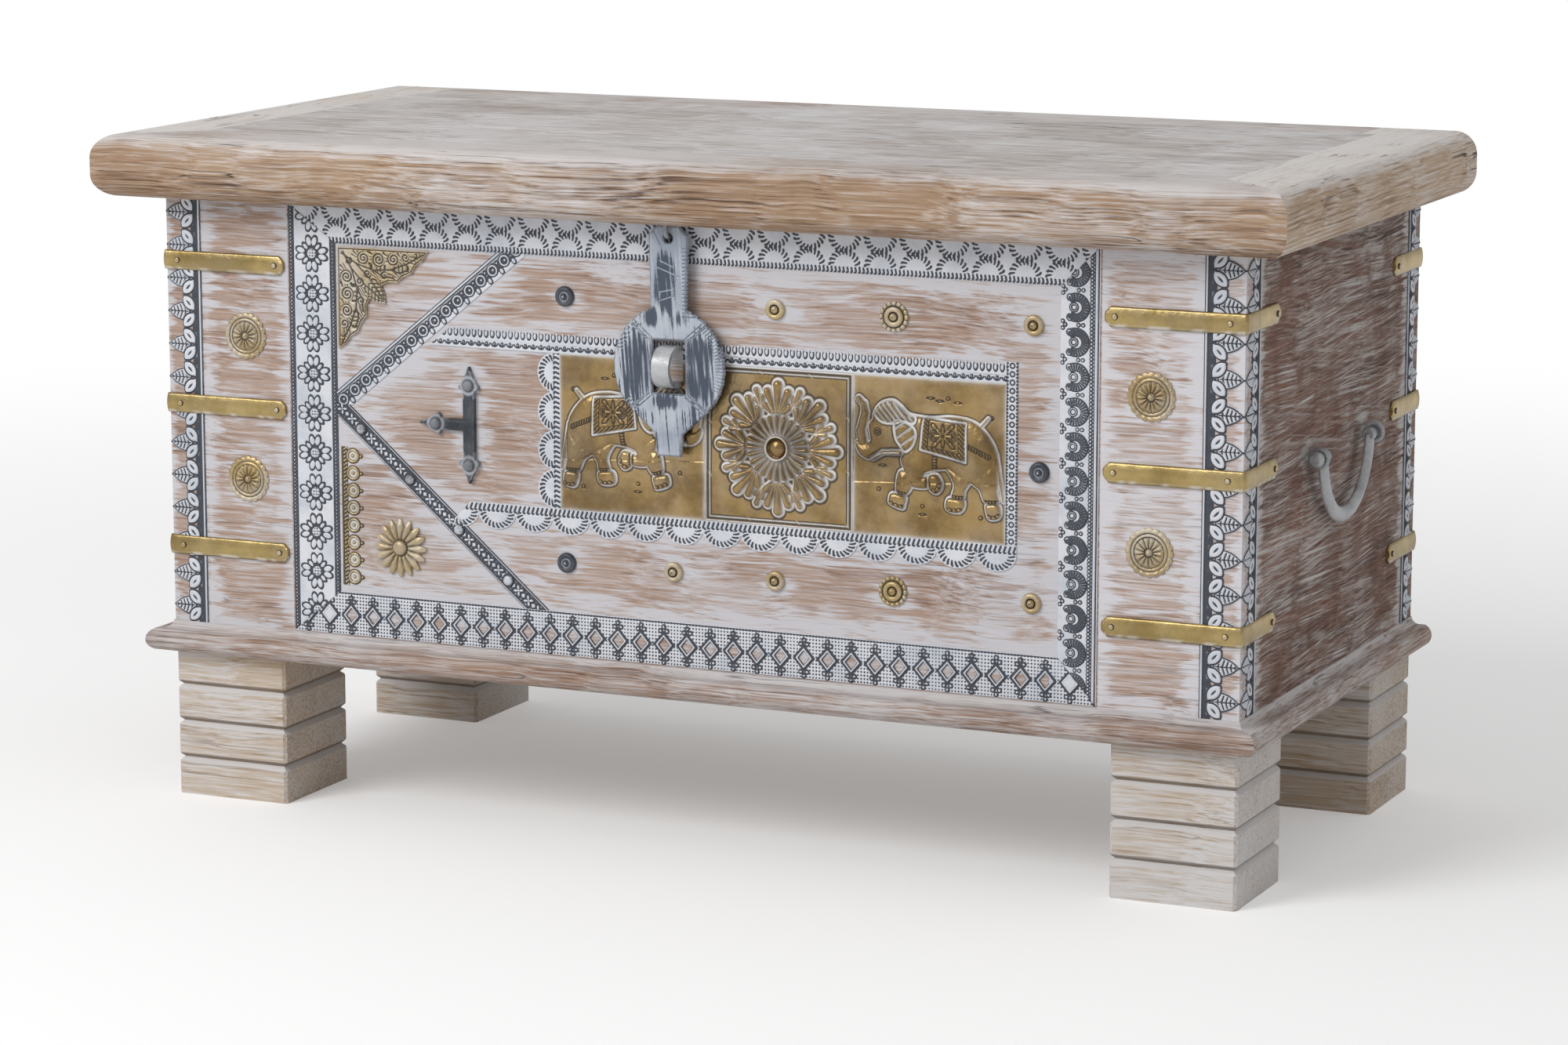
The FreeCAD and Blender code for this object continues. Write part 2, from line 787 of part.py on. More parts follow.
def make_borders():
    """The four embossed border strips, mitred into each other."""
    outer = [(outer_left, outer_bottom), (outer_right, outer_bottom), (outer_right, outer_top),
             (outer_left, outer_top)]
    inner = [(inner_left, inner_bottom), (inner_right, inner_bottom), (inner_right, inner_top),
             (inner_left, inner_top)]
    names = ("bottom_border_strip", "right_border_strip", "top_border_strip", "left_border_strip")
    strips = {}
    for index, name in enumerate(names):
        after = (index + 1) % len(names)
        strips[name] = front_plate(outer[index], [outer[after], inner[after], inner[index]], sheet)
    return strips


def make_lace():
    """The pierced strips round the row of plaques."""
    top = plaque_top + upper_lace_height
    upper_left = diagonal_x((plaque_top + top) / 2.0)
    upper = front_rectangle(upper_left, plaque_right, plaque_top, top, sheet)
    lower_left = diagonal_x(plaque_bottom - lower_lace_height / 2.0)
    band = plaque_bottom - lower_lace_band
    drop = lower_lace_height - lower_lace_band
    start = (lower_left, plaque_bottom)
    count = round((bead_right - lower_left) / lower_lace_pitch)
    lower = front_plate(start, [(lower_left, band)]
                        + scallops((lower_left, band), (bead_right, band), count, -drop)
                        + [(bead_right, plaque_bottom)], sheet)
    edge = plaque_left - scallop_strip_width / 2.0
    scalloped = front_plate((plaque_left, plaque_bottom), [(plaque_left, plaque_top), (edge, plaque_top)]
                            + scallops((edge, plaque_top), (edge, plaque_bottom), scallop_strip_count,
                                       -scallop_strip_width / 2.0), sheet)
    return {
        "upper_lace_strip": upper.cut(make_diagonal(False, lace_diagonal_gap)),
        "lower_lace_strip": lower.cut(make_diagonal(True, lace_diagonal_gap)),
        "plaque_scallop_strip": scalloped,
        "plaque_bead_strip": front_rectangle(plaque_right, bead_right, plaque_bottom, top, sheet),
    }


def make_rosette():
    """The middle plaque: a sheet with a domed heart and a ring of pressed petals."""
    x = (rosette_left + rosette_right) / 2.0
    z = plaque_bottom + plaque_height / 2.0
    plaque = front_rectangle(rosette_left, rosette_right, plaque_bottom, plaque_top, brass_sheet)
    reach = min(plaque_width, plaque_height) / 2.0 - rosette_margin
    outline = petal_disc(x, z, reach, rosette_petals, rosette_notch)
    petals = front_plate(outline[0], outline[1], rosette_petal_rise)
    heart = dome(rosette_heart, rosette_petal_rise, x, z, rosette_petal_rise)
    return plaque.fuse([petals, heart]).removeSplitter()


def make_front_pieces():
    """The plaques, diagonals, corner pieces and edging laid on the front field."""
    foliage_x = inner_left + foliage_gap
    foliage_z = inner_top - foliage_gap
    foliage_mid = 0.62 * foliage_leg
    foliage = front_plate((foliage_x, foliage_z), [
        (foliage_x, foliage_z - foliage_leg),
        (foliage_x + 0.38 * foliage_leg, foliage_z - 0.52 * foliage_leg),
        (foliage_x + 0.5 * foliage_mid + 0.22 * foliage_leg, foliage_z - foliage_mid),
        (foliage_x + 0.56 * foliage_leg, foliage_z - 0.4 * foliage_leg),
        (foliage_x + foliage_leg, foliage_z),
    ], brass_sheet)
    ring_left = inner_left + foliage_gap
    ring_low = inner_bottom + ring_strip_rise
    ring_high = ring_low + ring_strip_height * stretch_z
    ring_bulge = 0.46 * (ring_high - ring_low) / ring_strip_count
    spine = ring_left + ring_strip_width * stretch_x - ring_bulge
    rings = front_plate((ring_left, ring_low), [(spine, ring_low)]
                        + scallops((spine, ring_low), (spine, ring_high), ring_strip_count, -ring_bulge)
                        + [(ring_left, ring_high)], brass_sheet)
    flower_x = inner_left + brass_flower_inset * stretch_x
    flower_z = inner_bottom + brass_flower_rise * stretch_z
    petals = pointed_disc(flower_x, flower_z, brass_flower_radius, brass_flower_petals,
                          brass_flower_notch)
    flower = front_plate(petals[0], petals[1], sheet)
    flower = flower.fuse(dome(brass_flower_heart, stud_rise, flower_x, flower_z, sheet))
    return {
        "upper_diagonal_strip": make_diagonal(False),
        "lower_diagonal_strip": make_diagonal(True),
        "elephant_plaque_left": front_rectangle(plaque_left, rosette_left, plaque_bottom, plaque_top,
                                                brass_sheet),
        "elephant_plaque_right": front_rectangle(rosette_right, plaque_right, plaque_bottom, plaque_top,
                                                 brass_sheet),
        "rosette_plaque": make_rosette(),
        "foliage_plaque": foliage,
        "ring_edging_strip": rings,
        "brass_flower": flower.removeSplitter(),
    }


def make_tee():
    """The iron tee with its three pointed lobes and their rivets."""
    x = inner_left + tee_inset * stretch_x
    z = inner_bottom + tee_rise * stretch_z
    half = tee_bar_width / 2.0
    bar = front_rectangle(x - half, x + half, z - tee_bar_half, z + tee_bar_half, tee_thickness)
    arm = front_rectangle(x - tee_arm, x, z - half, z + half, tee_thickness)
    pieces = [arm]
    for lobe_x, lobe_z, way_x, way_z in ((x, z + tee_bar_half, 0, 1), (x, z - tee_bar_half, 0, -1),
                                         (x - tee_arm, z, -1, 0)):
        rings = [(tee_lobe_radius, 0.0), (tee_lobe_radius, tee_thickness)]
        pieces.append(round_on_front(rings, lobe_x, lobe_z))
        tip = (lobe_x + way_x * tee_tip, lobe_z + way_z * tee_tip)
        side_x, side_z = way_z * half, way_x * half
        pieces.append(front_plate((lobe_x + side_x, lobe_z + side_z),
                                  [tip, (lobe_x - side_x, lobe_z - side_z)], tee_thickness))
        pieces.append(dome(tee_rivet_radius, tee_rivet_radius / 2.0, lobe_x, lobe_z, tee_thickness))
    return bar.fuse(pieces).removeSplitter()


def make_stud(x, z):
    """A round-headed stud with a flat rim."""
    rim = round_on_front([(stud_radius, 0.0), (stud_radius, stud_rim)], x, z)
    head = dome(stud_radius - stud_rim, stud_rise - stud_rim, x, z, stud_rim)
    return rim.fuse(head).removeSplitter()


def make_flower_stud(x, z):
    """A stud on a scalloped rose."""
    outline = pointed_disc(x, z, flower_stud_radius, flower_stud_scallops, stud_rim)
    rose = front_plate(outline[0], outline[1], stud_rim)
    return rose.fuse(dome(stud_radius, stud_rise - stud_rim, x, z, stud_rim)).removeSplitter()


def make_medallion(x, z):
    """A pressed round medallion: scalloped rim, raised ring and a domed flower."""
    outline = pointed_disc(x, z, medallion_radius, medallion_scallops, stud_rim)
    rim = front_plate(outline[0], outline[1], stud_rim)
    crown = dome(medallion_crown, medallion_rise - stud_rim, x, z, stud_rim)
    return rim.fuse(crown).removeSplitter()


def make_studs():
    """Studs in two rows and medallions on the stiles, gathered by kind."""
    columns = [inner_right - setback * stretch_x for setback in stud_setbacks]
    top = inner_top - top_stud_drop
    bottom = inner_bottom + bottom_stud_rise * stretch_z
    right_x = inner_right - right_stud_setback * stretch_x
    right_z = inner_bottom + right_stud_rise * stretch_z
    iron = [(columns[4], top), (columns[4], bottom), (right_x, right_z)]
    brass = [(columns[0], top), (columns[2], top), (columns[0], bottom), (columns[2], bottom),
             (columns[3], bottom)]
    flowers = [(columns[1], top), (columns[1], bottom)]
    levels = [(low + high) / 2.0 for low, high in zip(strap_levels, strap_levels[1:])]
    rounds = [(side * (half_width - medallion_inset), z) for side in (-1, 1) for z in levels]
    return {
        "iron_studs": Part.makeCompound([make_stud(x, z) for x, z in iron]),
        "brass_studs": Part.makeCompound([make_stud(x, z) for x, z in brass]),
        "flower_studs": Part.makeCompound([make_flower_stud(x, z) for x, z in flowers]),
        "medallions": Part.makeCompound([make_medallion(x, z) for x, z in rounds]),
    }


def leaf_outline(inner, outward):
    """A leaf trim's outline: straight inside edge, a row of pointed leaves outside."""
    pitch = body_height / leaf_count
    root = inner + outward * leaf_trim_band
    tip = inner + outward * leaf_trim_width
    swell = inner + outward * (leaf_trim_band + 0.62 * (leaf_trim_width - leaf_trim_band))
    steps = [(root, body_floor)]
    for index in range(leaf_count):
        low = body_floor + pitch * index
        steps += [(swell, low + 0.2 * pitch), (tip, low + 0.5 * pitch), (swell, low + 0.8 * pitch),
                  (root, low + pitch)]
    return (inner, body_floor), steps + [(inner, body_top)]


def make_leaf_trims():
    """Leaf trims along the upright edges, on the front and on both sides."""
    start, steps = leaf_outline(half_width - leaf_trim_width, 1)
    front_right = front_plate(start, steps, sheet)
    on_side = lambda y, z: Vector(half_width, y, z)
    out = Vector(sheet, 0, 0)
    start, steps = leaf_outline(front_y + leaf_trim_width, -1)
    near = plate(start, steps, on_side, out)
    start, steps = leaf_outline(back_y - leaf_trim_width, 1)
    far = plate(start, steps, on_side, out)
    return {
        "leaf_trims_front": [front_right, mirror_x(front_right)],
        "leaf_trims_right_side": [near, far],
        "leaf_trims_left_side": [mirror_x(near), mirror_x(far)],
    }


def strap_leg(length):
    """One leg of a strap along +X from the corner, lying on y = 0 with its face to -Y."""
    half = strap_width / 2.0
    start = (0.0, -half)
    crest = strap_crest_width / 2.0
    steps = [(-strap_edge, -half), (-strap_crest, -crest), (-strap_crest, crest), (-strap_edge, half),
             (0.0, half)]
    leg = bar_along_x(start, steps, -strap_crest, length)
    chamfer = strap_end_chamfer
    outline = [(-strap_crest, -half), (length - chamfer, -half), (length, chamfer - half),
               (length, half - chamfer), (length - chamfer, half), (-strap_crest, half)]
    trim = plate(outline[0], outline[1:], lambda x, z: Vector(x, 0, z), Vector(0, -strap_crest, 0))
    return leg.common(trim)


def make_strap(first_leg, second_leg):
    """A strap bent round a corner at the origin: legs along +X and +Y, faces to -Y and -X."""
    first = strap_leg(first_leg)
    second = strap_leg(second_leg).mirror(Vector(0, 0, 0), Vector(1, -1, 0))
    deep = strap_crest * 2.0
    half = strap_width / 2.0
    keep_first = [(-deep, -deep), (0.0, 0.0), (first_leg, 0.0), (first_leg, -deep)]
    keep_second = [(-deep, -deep), (-deep, second_leg), (0.0, second_leg), (0.0, 0.0)]
    first = first.common(column(keep_first, -half, half))
    second = second.common(column(keep_second, -half, half))
    return first.fuse(second).removeSplitter()


def make_nail(reach, along, out):
    """A square-cut nail head on a strap's crest, a reach along one leg from the corner."""
    first = Part.Face(nail_ring(along * reach + out * strap_crest, along, nail_radius))
    return first.extrude(out * nail_rise)


def nail_ring(centre, along, radius):
    """The six-sided outline of a nail head."""
    corners = []
    for side in range(7):
        angle = math.pi * side / 3.0
        corners.append(centre + along * (radius * math.cos(angle)) + Vector(0, 0, radius * math.sin(angle)))
    return Part.makePolygon(corners)


def make_straps(trims):
    """The three straps at each corner and their nail heads, seated over the leaf trims."""
    under = [solid for group in trims.values() for solid in group]
    front = make_strap(strap_front_leg, strap_side_leg)
    rear = make_strap(strap_back_leg, strap_side_leg)
    rear = rear.mirror(Vector(0, 0, 0), Vector(0, 1, 0))
    first = (Vector(1, 0, 0), Vector(0, -1, 0))
    second = (Vector(0, 1, 0), Vector(-1, 0, 0))
    side_nail = make_nail(strap_side_leg - nail_end_inset, *second)
    front_nails = [make_nail(nail_corner_inset, *first), make_nail(strap_front_leg - nail_end_inset, *first),
                   side_nail]
    rear_nails = [make_nail(strap_back_leg - nail_end_inset, *first), side_nail]
    rear_nails = [nail.mirror(Vector(0, 0, 0), Vector(0, 1, 0)) for nail in rear_nails]
    fronts, backs, nails = [], [], []
    for level in strap_levels:
        for solids, strap, heads, y in ((fronts, front, front_nails, front_y),
                                        (backs, rear, rear_nails, back_y)):
            at = Vector(-half_width, y, level)
            left = cut_all(strap.translated(at), under)
            solids.extend([left, mirror_x(left)])
            for head in heads:
                placed = head.translated(at)
                nails.extend([placed, mirror_x(placed)])
    return {
        "corner_straps_front": Part.makeCompound(fronts),
        "corner_straps_back": Part.makeCompound(backs),
        "strap_nails": Part.makeCompound(nails),
    }


def build():
    """Every piece of the chest, by name."""
    pegs = make_pegs()
    hinges = make_hinges()
    wire_staple = make_hasp_staple()
    lock = make_lock_staple()
    eyes = make_eyes()
    left_eyes = [mirror_x(eye) for eye in eyes]
    bail = make_bail()
    trims = make_leaf_trims()

    pieces = make_carcass()
    pieces["front_panel"] = pieces["front_panel"].cut(lock)
    pieces["right_side_panel"] = cut_all(pieces["right_side_panel"], eyes)
    pieces["left_side_panel"] = cut_all(pieces["left_side_panel"], left_eyes)
    pieces["back_panel"] = cut_all(pieces["back_panel"], hinges["body_rooms"] + hinges["body_screws"])

    foot = make_foot()
    for name, (x, y) in foot_corners().items():
        pieces[name] = cut_all(foot.translated(Vector(x, y, 0)), pegs)
    pieces["foot_pegs"] = Part.makeCompound(pegs)
    pieces.update(make_base(pegs))

    lid = make_lid()
    lid["lid_front_rail"] = lid["lid_front_rail"].cut(wire_staple)
    lid["lid_back_rail"] = cut_all(lid["lid_back_rail"], hinges["lid_rooms"] + hinges["lid_screws"])
    pieces.update(lid)
    pieces["hinge_leaves_body"] = Part.makeCompound(hinges["body_leaves"])
    pieces["hinge_leaves_lid"] = Part.makeCompound(hinges["lid_leaves"])
    pieces["hinge_pins"] = Part.makeCompound(hinges["pins"])
    pieces["hinge_screws_body"] = Part.makeCompound(hinges["body_screws"])
    pieces["hinge_screws_lid"] = Part.makeCompound(hinges["lid_screws"])

    overlay = make_borders()
    overlay.update(make_lace())
    overlay.update(make_front_pieces())
    for name, solid in overlay.items():
        pieces[name] = solid.cut(lock)
    pieces["iron_tee"] = make_tee()
    pieces.update(make_studs())
    for name, solids in trims.items():
        pieces[name] = Part.makeCompound(solids)
    pieces.update(make_straps(trims))

    pieces["hasp_staple"] = wire_staple
    pieces["hasp"] = make_hasp()
    pieces["lock_staple"] = lock
    pieces["handle_eyes"] = Part.makeCompound(eyes + left_eyes)
    pieces["right_handle"] = bail
    pieces["left_handle"] = mirror_x(bail)
    return pieces


os.makedirs("parts", exist_ok=True)
for node, shape in build().items():
    shape.exportStep(os.path.join("parts", node + ".step"))
    print(node, len(shape.Solids), "solids", round(shape.Volume), "mm3", "valid", shape.isValid())
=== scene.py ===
"""The looks of a whitewashed wooden chest with embossed metal inlay, built round its CAD frame."""

import logging
import math
from dataclasses import dataclass
from enum import Enum
from typing import Any, Callable, Optional, Sequence, Union

import bpy
import numpy as np
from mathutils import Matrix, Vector


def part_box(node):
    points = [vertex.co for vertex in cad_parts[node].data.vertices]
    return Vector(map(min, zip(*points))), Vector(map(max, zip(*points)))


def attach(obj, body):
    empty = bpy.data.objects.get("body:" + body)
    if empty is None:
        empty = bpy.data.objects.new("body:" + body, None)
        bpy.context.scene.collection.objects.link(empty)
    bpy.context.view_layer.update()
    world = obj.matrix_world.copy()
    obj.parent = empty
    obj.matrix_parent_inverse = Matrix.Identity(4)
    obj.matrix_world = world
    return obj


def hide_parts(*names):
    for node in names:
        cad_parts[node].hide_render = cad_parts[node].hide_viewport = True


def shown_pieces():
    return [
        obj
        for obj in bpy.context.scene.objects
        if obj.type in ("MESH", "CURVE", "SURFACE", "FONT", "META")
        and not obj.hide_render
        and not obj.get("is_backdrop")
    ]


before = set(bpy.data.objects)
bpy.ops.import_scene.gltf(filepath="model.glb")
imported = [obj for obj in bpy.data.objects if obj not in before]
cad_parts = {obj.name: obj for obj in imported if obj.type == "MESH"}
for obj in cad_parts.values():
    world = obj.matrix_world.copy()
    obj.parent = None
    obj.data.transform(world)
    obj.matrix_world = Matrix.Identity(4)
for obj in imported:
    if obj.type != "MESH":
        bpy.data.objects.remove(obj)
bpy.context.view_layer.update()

log = logging.getLogger("chest")

MM = 0.001
FAR = 9.0  # millimetres, farther than any stamped pattern reaches
WHITE = (1.0, 1.0, 1.0, 1.0)
Array = np.ndarray
Field = Callable[[Array, Array], Array]
Point = tuple[float, float]
Place = tuple[float, float, float]
Span = tuple[float, float, float, float]
Colour = tuple[float, float, float]
Socket = bpy.types.NodeSocket
Input = Union[float, Sequence[float], Socket]


class Body(str, Enum):
    """The moving bodies of the chest."""

    CHEST = "chest"
    LID = "lid"
    HASP = "hasp"
    LEFT_HANDLE = "left_handle"
    RIGHT_HANDLE = "right_handle"


class Slot(str, Enum):
    """Material slots that new pieces are passed with; nothing reads them."""

    ZINC = "white_metal"
    BRASS = "brass"
    IRON = "iron"


class Grain(Enum):
    """The axis that a board's fibres follow, as texture scales per metre."""

    ALONG_X = (8.0, 470.0, 470.0)
    ALONG_Y = (470.0, 8.0, 470.0)


# Node trees


class Graph:
    """A thin writer of shader nodes for a material or a node group."""

    def __init__(self, tree: bpy.types.NodeTree) -> None:
        """Start on an empty tree."""
        self.tree = tree
        tree.nodes.clear()

    def feed(self, socket: Socket, value: Input) -> None:
        """Link a socket, or set it where the value is constant.

        Args:
            socket: The input to feed.
            value: A number, a vector, a colour or another node's output.
        """
        if isinstance(value, bpy.types.NodeSocket):
            self.tree.links.new(value, socket)
        elif isinstance(value, (int, float)):
            socket.default_value = value
        else:
            numbers = tuple(value)
            if socket.type == "RGBA" and len(numbers) == 3:
                numbers += (1.0,)
            socket.default_value = numbers

    def add(self, kind: str, **settings: object) -> bpy.types.Node:
        """Add a node.

        Args:
            kind: The node's type name.
            settings: Properties to set on it.

        Returns:
            The new node.
        """
        node = self.tree.nodes.new(kind)
        for name, value in settings.items():
            setattr(node, name, value)
        return node

    def math(self, operation: str, first: Input, second: Input = 0.0, clamp: bool = False) -> Socket:
        """One arithmetic step.

        Args:
            operation: The Math node's operation.
            first: Its first operand.
            second: Its second operand.
            clamp: Keep the result between 0 and 1.

        Returns:
            The result's socket.
        """
        node = self.add("ShaderNodeMath", operation=operation, use_clamp=clamp)
        self.feed(node.inputs[0], first)
        self.feed(node.inputs[1], second)
        return node.outputs[0]

    def vector(self, operation: str, first: Input, second: Input = (0.0, 0.0, 0.0)) -> Socket:
        """One vector step.

        Args:
            operation: The Vector Math node's operation.
            first: Its first operand.
            second: Its second operand.

        Returns:
            A number for a length or a dot product, and otherwise a vector.
        """
        node = self.add("ShaderNodeVectorMath", operation=operation)
        self.feed(node.inputs[0], first)
        self.feed(node.inputs[1], second)
        return node.outputs["Value" if operation in ("LENGTH", "DOT_PRODUCT") else "Vector"]

    def plus(self, first: Input, second: Input, clamp: bool = False) -> Socket:
        """The sum of two values."""
        return self.math("ADD", first, second, clamp)

    def minus(self, first: Input, second: Input) -> Socket:
        """The difference of two values."""
        return self.math("SUBTRACT", first, second)

    def times(self, first: Input, second: Input) -> Socket:
        """The product of two values."""
        return self.math("MULTIPLY", first, second)

    def most(self, first: Input, *others: Input) -> Socket:
        """The largest of several values.

        Args:
            first: The first value.
            others: The values to hold against it.

        Returns:
            The result's socket.
        """
        for other in others:
            first = self.math("MAXIMUM", first, other)
        return first

    def scaled(self, vector: Input, scale: float) -> Socket:
        """A vector times a number."""
        return self.vector("MULTIPLY", vector, (scale, scale, scale))

    def span(self, value: Input, low: float, high: float, start: float = 0.0, end: float = 1.0) -> Socket:
        """A smooth ramp between two values.

        Args:
            value: The driver.
            low: Where the ramp starts.
            high: Where the ramp ends.
            start: The result at the ramp's start.
            end: The result at the ramp's end.

        Returns:
            The result's socket.
        """
        node = self.add("ShaderNodeMapRange", interpolation_type="SMOOTHSTEP")
        for socket, number in zip(node.inputs[:5], (value, low, high, start, end)):
            self.feed(socket, number)
        return node.outputs[0]

    def mix(self, factor: Input, first: Input, second: Input, blend: str = "MIX") -> Socket:
        """A blend of two colours.

        Args:
            factor: How much of the second.
            first: The first colour.
            second: The second colour.
            blend: The blend mode.

        Returns:
            The blended colour.
        """
        node = self.add("ShaderNodeMix", data_type="RGBA", blend_type=blend)
        self.feed(node.inputs[0], factor)
        self.feed(node.inputs[6], first)
        self.feed(node.inputs[7], second)
        return node.outputs[2]

    def noise(self, vector: Input, scale: float, detail: float = 4.0, rough: float = 0.55,
              bend: float = 0.0) -> Socket:
        """Fractal noise.

        Args:
            vector: Where to read it.
            scale: Its scale.
            detail: Its octaves.
            rough: How strong the fine octaves are.
            bend: Its distortion.

        Returns:
            A value around a half.
        """
        node = self.add("ShaderNodeTexNoise")
        self.feed(node.inputs["Vector"], vector)
        settings = {"Scale": scale, "Detail": detail, "Roughness": rough, "Distortion": bend}
        for name, number in settings.items():
            node.inputs[name].default_value = number
        return node.outputs[0]

    def place(self) -> Socket:
        """Where a point stands on its object, in metres."""
        return self.add("ShaderNodeTexCoord").outputs["Object"]

    def attribute(self, name: str) -> Socket:
        """A number kept on the mesh."""
        return self.add("ShaderNodeAttribute", attribute_name=name).outputs["Fac"]

    def roughen(self, surface: bpy.types.Node, height: Socket, strength: float, depth: float) -> None:
        """Give a surface fine relief.

        Args:
            surface: The Principled node.
            height: The relief.
            strength: How much of it shows.
            depth: Its depth in metres.
        """
        bump = self.add("ShaderNodeBump")
        bump.inputs["Strength"].default_value = strength
        bump.inputs["Distance"].default_value = depth
        self.feed(bump.inputs["Height"], height)
        self.feed(surface.inputs["Normal"], bump.outputs["Normal"])

    def group(self, tree: bpy.types.NodeTree, **inputs: Input) -> bpy.types.Node:
        """Place a node group.

        Args:
            tree: The group.
            inputs: Its inputs by name.

        Returns:
            The group node.
        """
        node = self.add("ShaderNodeGroup")
        node.node_tree = tree
        for name, value in inputs.items():
            self.feed(node.inputs[name], value)
        return node


def new_group(name: str, inputs: dict[str, str], outputs: dict[str, str]) -> tuple[bpy.types.NodeTree, Graph]:
    """An empty node group with its interface.

    Args:
        name: The group's name.
        inputs: Socket kinds by input name.
        outputs: Socket kinds by output name.

    Returns:
        The group and a writer for it.
    """
    tree = bpy.data.node_groups.new(name, "ShaderNodeTree")
    graph = Graph(tree)
    for label, kind in inputs.items():
        tree.interface.new_socket(label, in_out="INPUT", socket_type="NodeSocket" + kind)
    for label, kind in outputs.items():
        tree.interface.new_socket(label, in_out="OUTPUT", socket_type="NodeSocket" + kind)
    return tree, graph


def grain_group() -> bpy.types.NodeTree:
    """Fibres, broad figure, brush strokes and cracks of a brushed board.

    Returns:
        A group that turns stretched coordinates into those values.
    """
    tree, graph = new_group(
        "board_grain", {"Position": "Vector", "Stretch": "Vector"},
        {"Fibre": "Float", "Figure": "Float", "Brush": "Float", "Crack": "Float"})
    ins = graph.add("NodeGroupInput")
    outs = graph.add("NodeGroupOutput")
    place = ins.outputs["Position"]
    along = graph.vector("MULTIPLY", place, ins.outputs["Stretch"])
    sway = graph.times(graph.minus(graph.noise(place, 8.0, 2.0), 0.5), 6.0)
    along = graph.vector("ADD", along, sway)
    fibre = graph.noise(along, 1.3, 6.0, 0.66)
    broad = graph.vector("ADD", graph.scaled(along, 0.075), graph.scaled(place, 4.0))
    figure = graph.noise(broad, 1.0, 4.0, 0.6)
    short = graph.vector("ADD", graph.scaled(along, 1.7), graph.scaled(place, 22.0))
    brush = graph.noise(short, 1.0, 4.0, 0.62)
    line = graph.noise(graph.vector("ADD", graph.scaled(along, 0.16), (11.0, 2.0, 5.0)), 1.0, 3.0, 0.5)
    crack = graph.span(graph.math("ABSOLUTE", graph.minus(line, 0.5)), 0.0, 0.009, 1.0, 0.0)
    crack = graph.times(crack, graph.span(graph.noise(place, 14.0, 2.0), 0.5, 0.62))
    for label, socket in (("Fibre", fibre), ("Figure", figure), ("Brush", brush), ("Crack", crack)):
        graph.feed(outs.inputs[label], socket)
    return tree


def halo_group() -> bpy.types.NodeTree:
    """A soft mask round a straight line, or round a point where both ends are one.

    Returns:
        A group that is 1 on the line and falls to 0 at the reach, give or take a wobble.
    """
    tree, graph = new_group(
        "line_halo", {"Position": "Vector", "Start": "Vector", "Along": "Vector", "Reach": "Float",
                      "Wobble": "Float"}, {"Mask": "Float"})
    ins = graph.add("NodeGroupInput")
    outs = graph.add("NodeGroupOutput")
    offset = graph.vector("SUBTRACT", ins.outputs["Position"], ins.outputs["Start"])
    along = ins.outputs["Along"]
    share = graph.math("DIVIDE", graph.vector("DOT_PRODUCT", offset, along),
                       graph.plus(graph.vector("DOT_PRODUCT", along, along), 1e-9), True)
    nearest = graph.add("ShaderNodeVectorMath", operation="SCALE")
    graph.feed(nearest.inputs[0], along)
    graph.feed(nearest.inputs["Scale"], share)
    gap = graph.vector("LENGTH", graph.vector("SUBTRACT", offset, nearest.outputs[0]))
    near = graph.minus(1.0, graph.math("DIVIDE", gap, ins.outputs["Reach"]))
    mask = graph.plus(near, ins.outputs["Wobble"], True)
    graph.feed(outs.inputs["Mask"], mask)
    return tree


def patina_group() -> bpy.types.NodeTree:
    """Dirt in the grooves, with the painted shade that some plaques store there, and white residue left on
    pressed metal.

    Returns:
        A group that turns the groove attribute and a place into masks.
    """
    tree, graph = new_group("pressed_patina", {"Groove": "Float", "Position": "Vector"},
                            {"Dirt": "Float", "Wash": "Float", "Grit": "Float"})
    ins = graph.add("NodeGroupInput")
    outs = graph.add("NodeGroupOutput")
    place = ins.outputs["Position"]
    fine = graph.noise(place, 900.0, 3.0, 0.6)
    broad = graph.noise(place, 38.0, 4.0, 0.6)
    dirt_and_shade = graph.plus(ins.outputs["Groove"], graph.times(graph.minus(fine, 0.5), 0.45))
    dirt_and_shade = graph.plus(dirt_and_shade, graph.times(graph.minus(broad, 0.5), 0.6))
    wash = graph.plus(graph.times(broad, 0.9), graph.times(fine, 0.35))
    graph.feed(outs.inputs["Dirt"], graph.span(dirt_and_shade, 0.24, 0.62))
    graph.feed(outs.inputs["Wash"], graph.span(wash, 0.48, 0.78))
    graph.feed(outs.inputs["Grit"], fine)
    return tree


GRAIN = grain_group()
HALO = halo_group()
PATINA = patina_group()


@dataclass(frozen=True)
class Halo:
    """A line of white residue on the wood, in millimetres."""

    start: Place
    end: Place
    reach: float


def new_material(name: str) -> tuple[bpy.types.Material, Graph, bpy.types.Node]:
    """A material with an empty Principled surface.

    Args:
        name: The material's name.

    Returns:
        The material, a writer for it and its Principled node.
    """
    material = bpy.data.materials.new(name)
    material.use_nodes = True
    graph = Graph(material.node_tree)
    surface = graph.add("ShaderNodeBsdfPrincipled")
    output = graph.add("ShaderNodeOutputMaterial")
    graph.feed(output.inputs["Surface"], surface.outputs["BSDF"])
    return material, graph, surface


@dataclass(frozen=True)
class Palette:
    """A board's colours, from its dark fibres to its pale ones, and the white wash on it."""

    dark: Colour
    mid: Colour
    pale: Colour
    wash: Colour

    def lit(self, factor: float) -> "Palette":
        """The same colours, brighter by a factor."""
        colours = (self.dark, self.mid, self.pale, self.wash)
        return Palette(*(tuple(factor * c for c in colour) for colour in colours))


